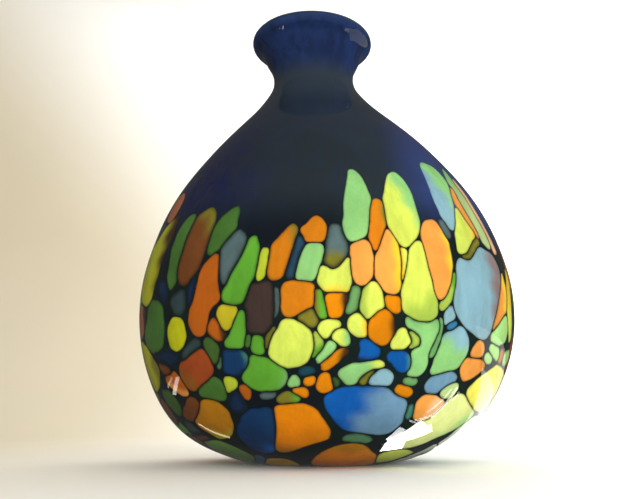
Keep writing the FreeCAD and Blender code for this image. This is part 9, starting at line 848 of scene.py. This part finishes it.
FAMILY = {}
mats = {}
for nname in sorted(by_node):
    fam = nname[6:].replace("_upper", "").replace("_middle", "").replace("_lower", "")
    if fam not in mats:
        k = len(mats) + 1
        mats[fam] = chip_material("chip_" + fam, k, cloud=0.10 + 0.02 * (k % 4),
                                  streak=0.06 + 0.02 * (k % 3), speck=0.35 + 0.1 * (k % 3))
    V, F, COL, EDGE, SOFT = [], [], [], [], []
    for entry in by_node[nname]:
        _, colour, fringe, soft, outline = entry
        o = np.array(outline, float)
        R = float(at(co_q, co_s, o[:, 1].mean())[0])
        kx = math.radians(1.0) * R
        a0 = o[:, 0].mean()
        flat = np.c_[(o[:, 0] - a0) * kx, o[:, 1]]
        per0 = closed_curve(flat, 40)[1]
        n = int(min(96, max(26, per0 / 0.75)))
        ring, per = closed_curve(flat, n)
        if ring_area(ring) < 0:
            ring = ring[::-1].copy()
        ring = grown(ring, a0, kx, INDEX[id(entry)])
        h = min(2.4, max(1.1, per / 34))
        x0, y0 = ring.min(0)
        x1, y1 = ring.max(0)
        gx, gy = np.meshgrid(np.arange(x0, x1, h), np.arange(y0, y1, h * 0.87))
        gx = gx + (np.arange(gx.shape[0]) % 2)[:, None] * h * 0.5
        grid = np.c_[gx.ravel(), gy.ravel()]
        grid = grid[inside(ring, grid)]
        if len(grid):
            grid = grid[dist_to(ring, grid) > 1.5 + 0.2 * h]
        tang = np.roll(ring, -1, 0) - np.roll(ring, 1, 0)
        tang /= np.linalg.norm(tang, axis=1, keepdims=True)
        nrm = np.c_[-tang[:, 1], tang[:, 0]]
        extra = [grid]
        for w, st in ((0.3, 1), (0.75, 1), (1.35, 2)):
            q = ring[::st] + nrm[::st] * w
            q = q[inside(ring, q)]
            if len(q):
                q = q[dist_to(ring, q) > w * 0.93]
            extra.append(q)
        allp = np.concatenate([ring] + [e for e in extra if len(e)])
        res = delaunay_2d_cdt([Vector(p) for p in allp], [], [list(range(n))], 1, 1e-5)
        pv = np.array([(v.x, v.y) for v in res[0]])
        tris = [list(f) for f in res[2]]
        d = dist_to(ring, pv)
        # outline vertices, in order, for the wall
        order = []
        for p in ring:
            order.append(int(np.argmin(((pv - p) ** 2).sum(1))))
        d[order] = 0.0
        dome = -0.06 + 0.30 * (1 - np.exp(-d / 0.8))
        deg = pv[:, 0] / kx + a0
        top = skin(deg, pv[:, 1], dome)
        bot = skin(deg, pv[:, 1], np.full(len(pv), -1.0))
        base = len(V)
        V.extend(top.tolist())
        V.extend(bot.tolist())
        k = len(pv)
        # which way does the triangulation face
        t0 = tris[0]
        area = 0
        for f in tris:
            p = pv[f]
            area += (p[1][0] - p[0][0]) * (p[2][1] - p[0][1]) - (p[2][0] - p[0][0]) * (p[1][1] - p[0][1])
        if area < 0:
            tris = [f[::-1] for f in tris]
        F.extend([[base + i for i in f] for f in tris])
        F.extend([[base + k + i for i in f[::-1]] for f in tris])
        ar = sum(ring[i][0] * ring[(i + 1) % n][1] - ring[(i + 1) % n][0] * ring[i][1] for i in range(n))
        seq = order if ar > 0 else order[::-1]
        for i in range(n):
            a, b = seq[i], seq[(i + 1) % n]
            if a != b:
                F.append([base + b, base + a, base + k + a, base + k + b])
        c = PAL[colour] * (1 + rng.uniform(-.05, .05))
        cc = np.repeat(c[None], k, 0)
        if fringe:
            c2, ang, share = fringe
            u = np.array([math.cos(math.radians(ang)), math.sin(math.radians(ang))])
            t = pv @ u
            t = (t - t.min()) / max(1e-6, t.max() - t.min())
            t = t + 0.05 * np.sin(pv @ np.array([-u[1], u[0]]) * 0.55 + a0)
            w = smooth01((t - (1 - share) + 0.14) / 0.28)[:, None]
            cc = cc * (1 - w) + PAL[c2][None] * w
        # each chip's colour runs from 4% darker at its lower end to 4% lighter at its upper end
        g = (pv[:, 1] - pv[:, 1].min()) / max(1e-6, np.ptp(pv[:, 1]))
        cc = cc * (0.96 + 0.08 * g[:, None])
        tier = float(np.interp(o[:, 1].mean(), [70, 150], [1.25, 1.0]))
        sw = (1.0, 1.55, 2.4)[soft] * tier
        COL.extend(cc.tolist() * 2)
        EDGE.extend(d.tolist())
        EDGE.extend([0.0] * k)
        SOFT.extend([sw] * (2 * k))
    ob = link(nname + "_glass", V, F, [mats[fam]])
    me = ob.data
    a = me.attributes.new("chipcol", "FLOAT_COLOR", "POINT")
    a.data.foreach_set("color", np.c_[np.clip(np.array(COL), 0, 1), np.ones(len(COL))].ravel())
    a = me.attributes.new("edge", "FLOAT", "POINT")
    a.data.foreach_set("value", EDGE)
    a = me.attributes.new("soft", "FLOAT", "POINT")
    a.data.foreach_set("value", SOFT)
    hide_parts(nname)
    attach(ob, "root")

# ----------------------------------------------------------------------- stage
def stage_mesh(name, verts, faces, mat, smooth=True):
    o = link(name, verts, faces, [mat])
    if not smooth:
        o.data.polygons.foreach_set("use_smooth", [False] * len(o.data.polygons))
    return o


m, nt, out = new_mat("studio_sweep")
b = nt.nodes.new("ShaderNodeBsdfPrincipled")
v = obj_coords(nt)
nn = noise(nt, v, 3.0, 3.0, 0.5)
tc = nt.nodes.new("ShaderNodeTexCoord")
sp = nt.nodes.new("ShaderNodeSeparateXYZ")
nt.links.new(tc.outputs["Object"], sp.inputs[0])
# painted shade: the backdrop's colour darkens to a warm cream towards the left and low down, standing for the shade
# there, and runs to white on the right and higher up
left_shade_cream = mix_col(nt, map_range(nt, nn, 0.3, 0.7, 0, 1), (0.66, 0.595, 0.455), (0.69, 0.62, 0.475))
rise = math_node(nt, "MULTIPLY", math_node(nt, "MAXIMUM", math_node(nt, "SUBTRACT", sp.outputs["Z"], 0.3), -0.1), 0.9)
shade_slope = math_node(nt, "ADD", sp.outputs["X"], rise)
nt.links.new(mix_col(nt, map_range(nt, shade_slope, -0.40, 0.02, 0, 1), left_shade_cream, (0.96, 0.96, 0.94)), b.inputs["Base Color"])
b.inputs["Roughness"].default_value = 0.8
b.inputs["Specular IOR Level"].default_value = 0.1
nt.links.new(b.outputs[0], out.inputs[0])
sweep_mat = m
# floor that curves up into a wall
W = 6.0
prof = [(-6.0, 0.0)]
for i in range(17):
    a = math.radians(90 * i / 16)
    prof.append((0.42 + 0.30 * math.sin(a), 0.30 - 0.30 * math.cos(a)))
prof.append((0.72, 2.0))
sv = []
for y, z in prof:
    for x in (-W, W):
        sv.append((x, y, z - 0.00002))
sf = [(2 * i, 2 * i + 1, 2 * i + 3, 2 * i + 2) for i in range(len(prof) - 1)]
sweep = stage_mesh("sweep", sv, sf, sweep_mat)
sweep.visible_glossy = False

scene = bpy.context.scene
world = bpy.data.worlds.new("soft_studio")
scene.world = world
world.use_nodes = True
wn = world.node_tree
bg = wn.nodes.get("Background") or wn.nodes.new("ShaderNodeBackground")
bg.inputs[0].default_value = (1.0, 0.985, 0.96, 1)
lp = wn.nodes.new("ShaderNodeLightPath")
mr = wn.nodes.new("ShaderNodeMapRange")
wn.links.new(lp.outputs["Is Glossy Ray"], mr.inputs[0])
mr.inputs[3].default_value = 0.66
mr.inputs[4].default_value = 0.07
wn.links.new(mr.outputs[0], bg.inputs[1])


def area(name, loc, target, size, power, colour=(1, 1, 1)):
    d = bpy.data.lights.new(name, "AREA")
    d.shape = "RECTANGLE"
    d.size, d.size_y = size
    d.energy = power
    d.color = colour
    o = bpy.data.objects.new(name, d)
    scene.collection.objects.link(o)
    o.location = loc
    o.rotation_euler = (Vector(target) - Vector(loc)).to_track_quat("-Z", "Y").to_euler()
    return o


def glint(name, corners, power_density, colour=(1, 1, 1)):
    """Low studio panel seen only as a reflection in the glass: (centre x, y, width, depth, turn) in mm."""
    cx, cy, w, h, turn = corners
    d = bpy.data.lights.new(name, "AREA")
    d.shape = "RECTANGLE"
    d.size, d.size_y = w * MM, h * MM
    d.energy = power_density * math.pi * w * h * MM * MM
    d.color = colour
    o = bpy.data.objects.new(name, d)
    scene.collection.objects.link(o)
    o.location = (cx * MM, cy * MM, 0.0008)
    o.rotation_euler = (math.pi, 0, math.radians(turn))
    for k in ("visible_camera", "visible_diffuse", "visible_transmission", "visible_volume_scatter"):
        setattr(o, k, False)
    return o


key = area("key_right", (0.72, -0.42, 0.40), (0.0, 0.0, 0.09), (0.55, 0.55), 2.1, (1.0, 0.985, 0.96))
fill = area("fill_front", (-0.25, -0.95, 0.55), (0, 0, 0.08), (0.8, 0.6), 3.3, (1, 0.99, 0.97))
back = area("back_soft", (0.1, 0.60, 0.75), (0, 0, 0.1), (0.8, 0.4), 3.0, (1, 0.99, 0.97))
wash = area("wall_wash", (0.62, 0.20, 0.40), (0.62, 0.80, 0.40), (0.5, 0.6), 9.0, (1, 0.995, 0.98))
low = area("fill_low", (0.16, -0.55, 0.06), (0.0, -0.05, 0.03), (0.5, 0.10), 1.0, (1, 0.99, 0.96))
for o in (key, fill, back, wash, low):
    o.visible_glossy = False
    o.visible_camera = False
glint("glint_a", (41, -50.5, 25, 9.5, -8), 14.0)
glint("glint_a1", (48, -46, 17, 8, 16), 12.0)
glint("glint_a2", (31, -44.5, 12, 8, 24), 12.0)
glint("glint_a3", (34, -55, 12, 5, -34), 9.0)
glint("glint_b", (84, -52, 48, 3.0, 3), 7.0)
glint("glint_b2", (80, -58, 40, 1.6, 4), 5.0)
glint("glint_b3", (97, -46, 16, 1.5, 8), 5.0)
for k in range(5):
    glint("glint_s%d" % k, (47 + 3.3 * k, -59 + 1.1 * k, 1.3, 7 - k, -34), 7.0)
glint("glint_c", (-62, -36, 30, 1.8, -27), 3.6, (1.0, 0.9, 0.62))
glint("glint_d", (-146, -10, 34, 15, 32), 4.0, (1.0, 0.9, 0.8))
glint("glint_d2", (-166, 12, 26, 10, 60), 2.0, (1.0, 0.88, 0.76))
glint("panel_low", (520, 330, 820, 660, 0), 0.8)
glint("panel_rim", (122, 72, 134, 150, 0), 1.6)

cam_data = bpy.data.cameras.new("camera")
cam_data.sensor_width = 36.0
cam_data.lens = 40.5
cam_data.clip_start = 0.01
cam = bpy.data.objects.new("camera", cam_data)
scene.collection.objects.link(cam)
cam.location = (-0.00336, -0.36608, 0.02106)
cam.rotation_euler = (math.radians(90 + 13.2033), 0, 0)
scene.camera = cam
scene.view_settings.view_transform = "Standard"
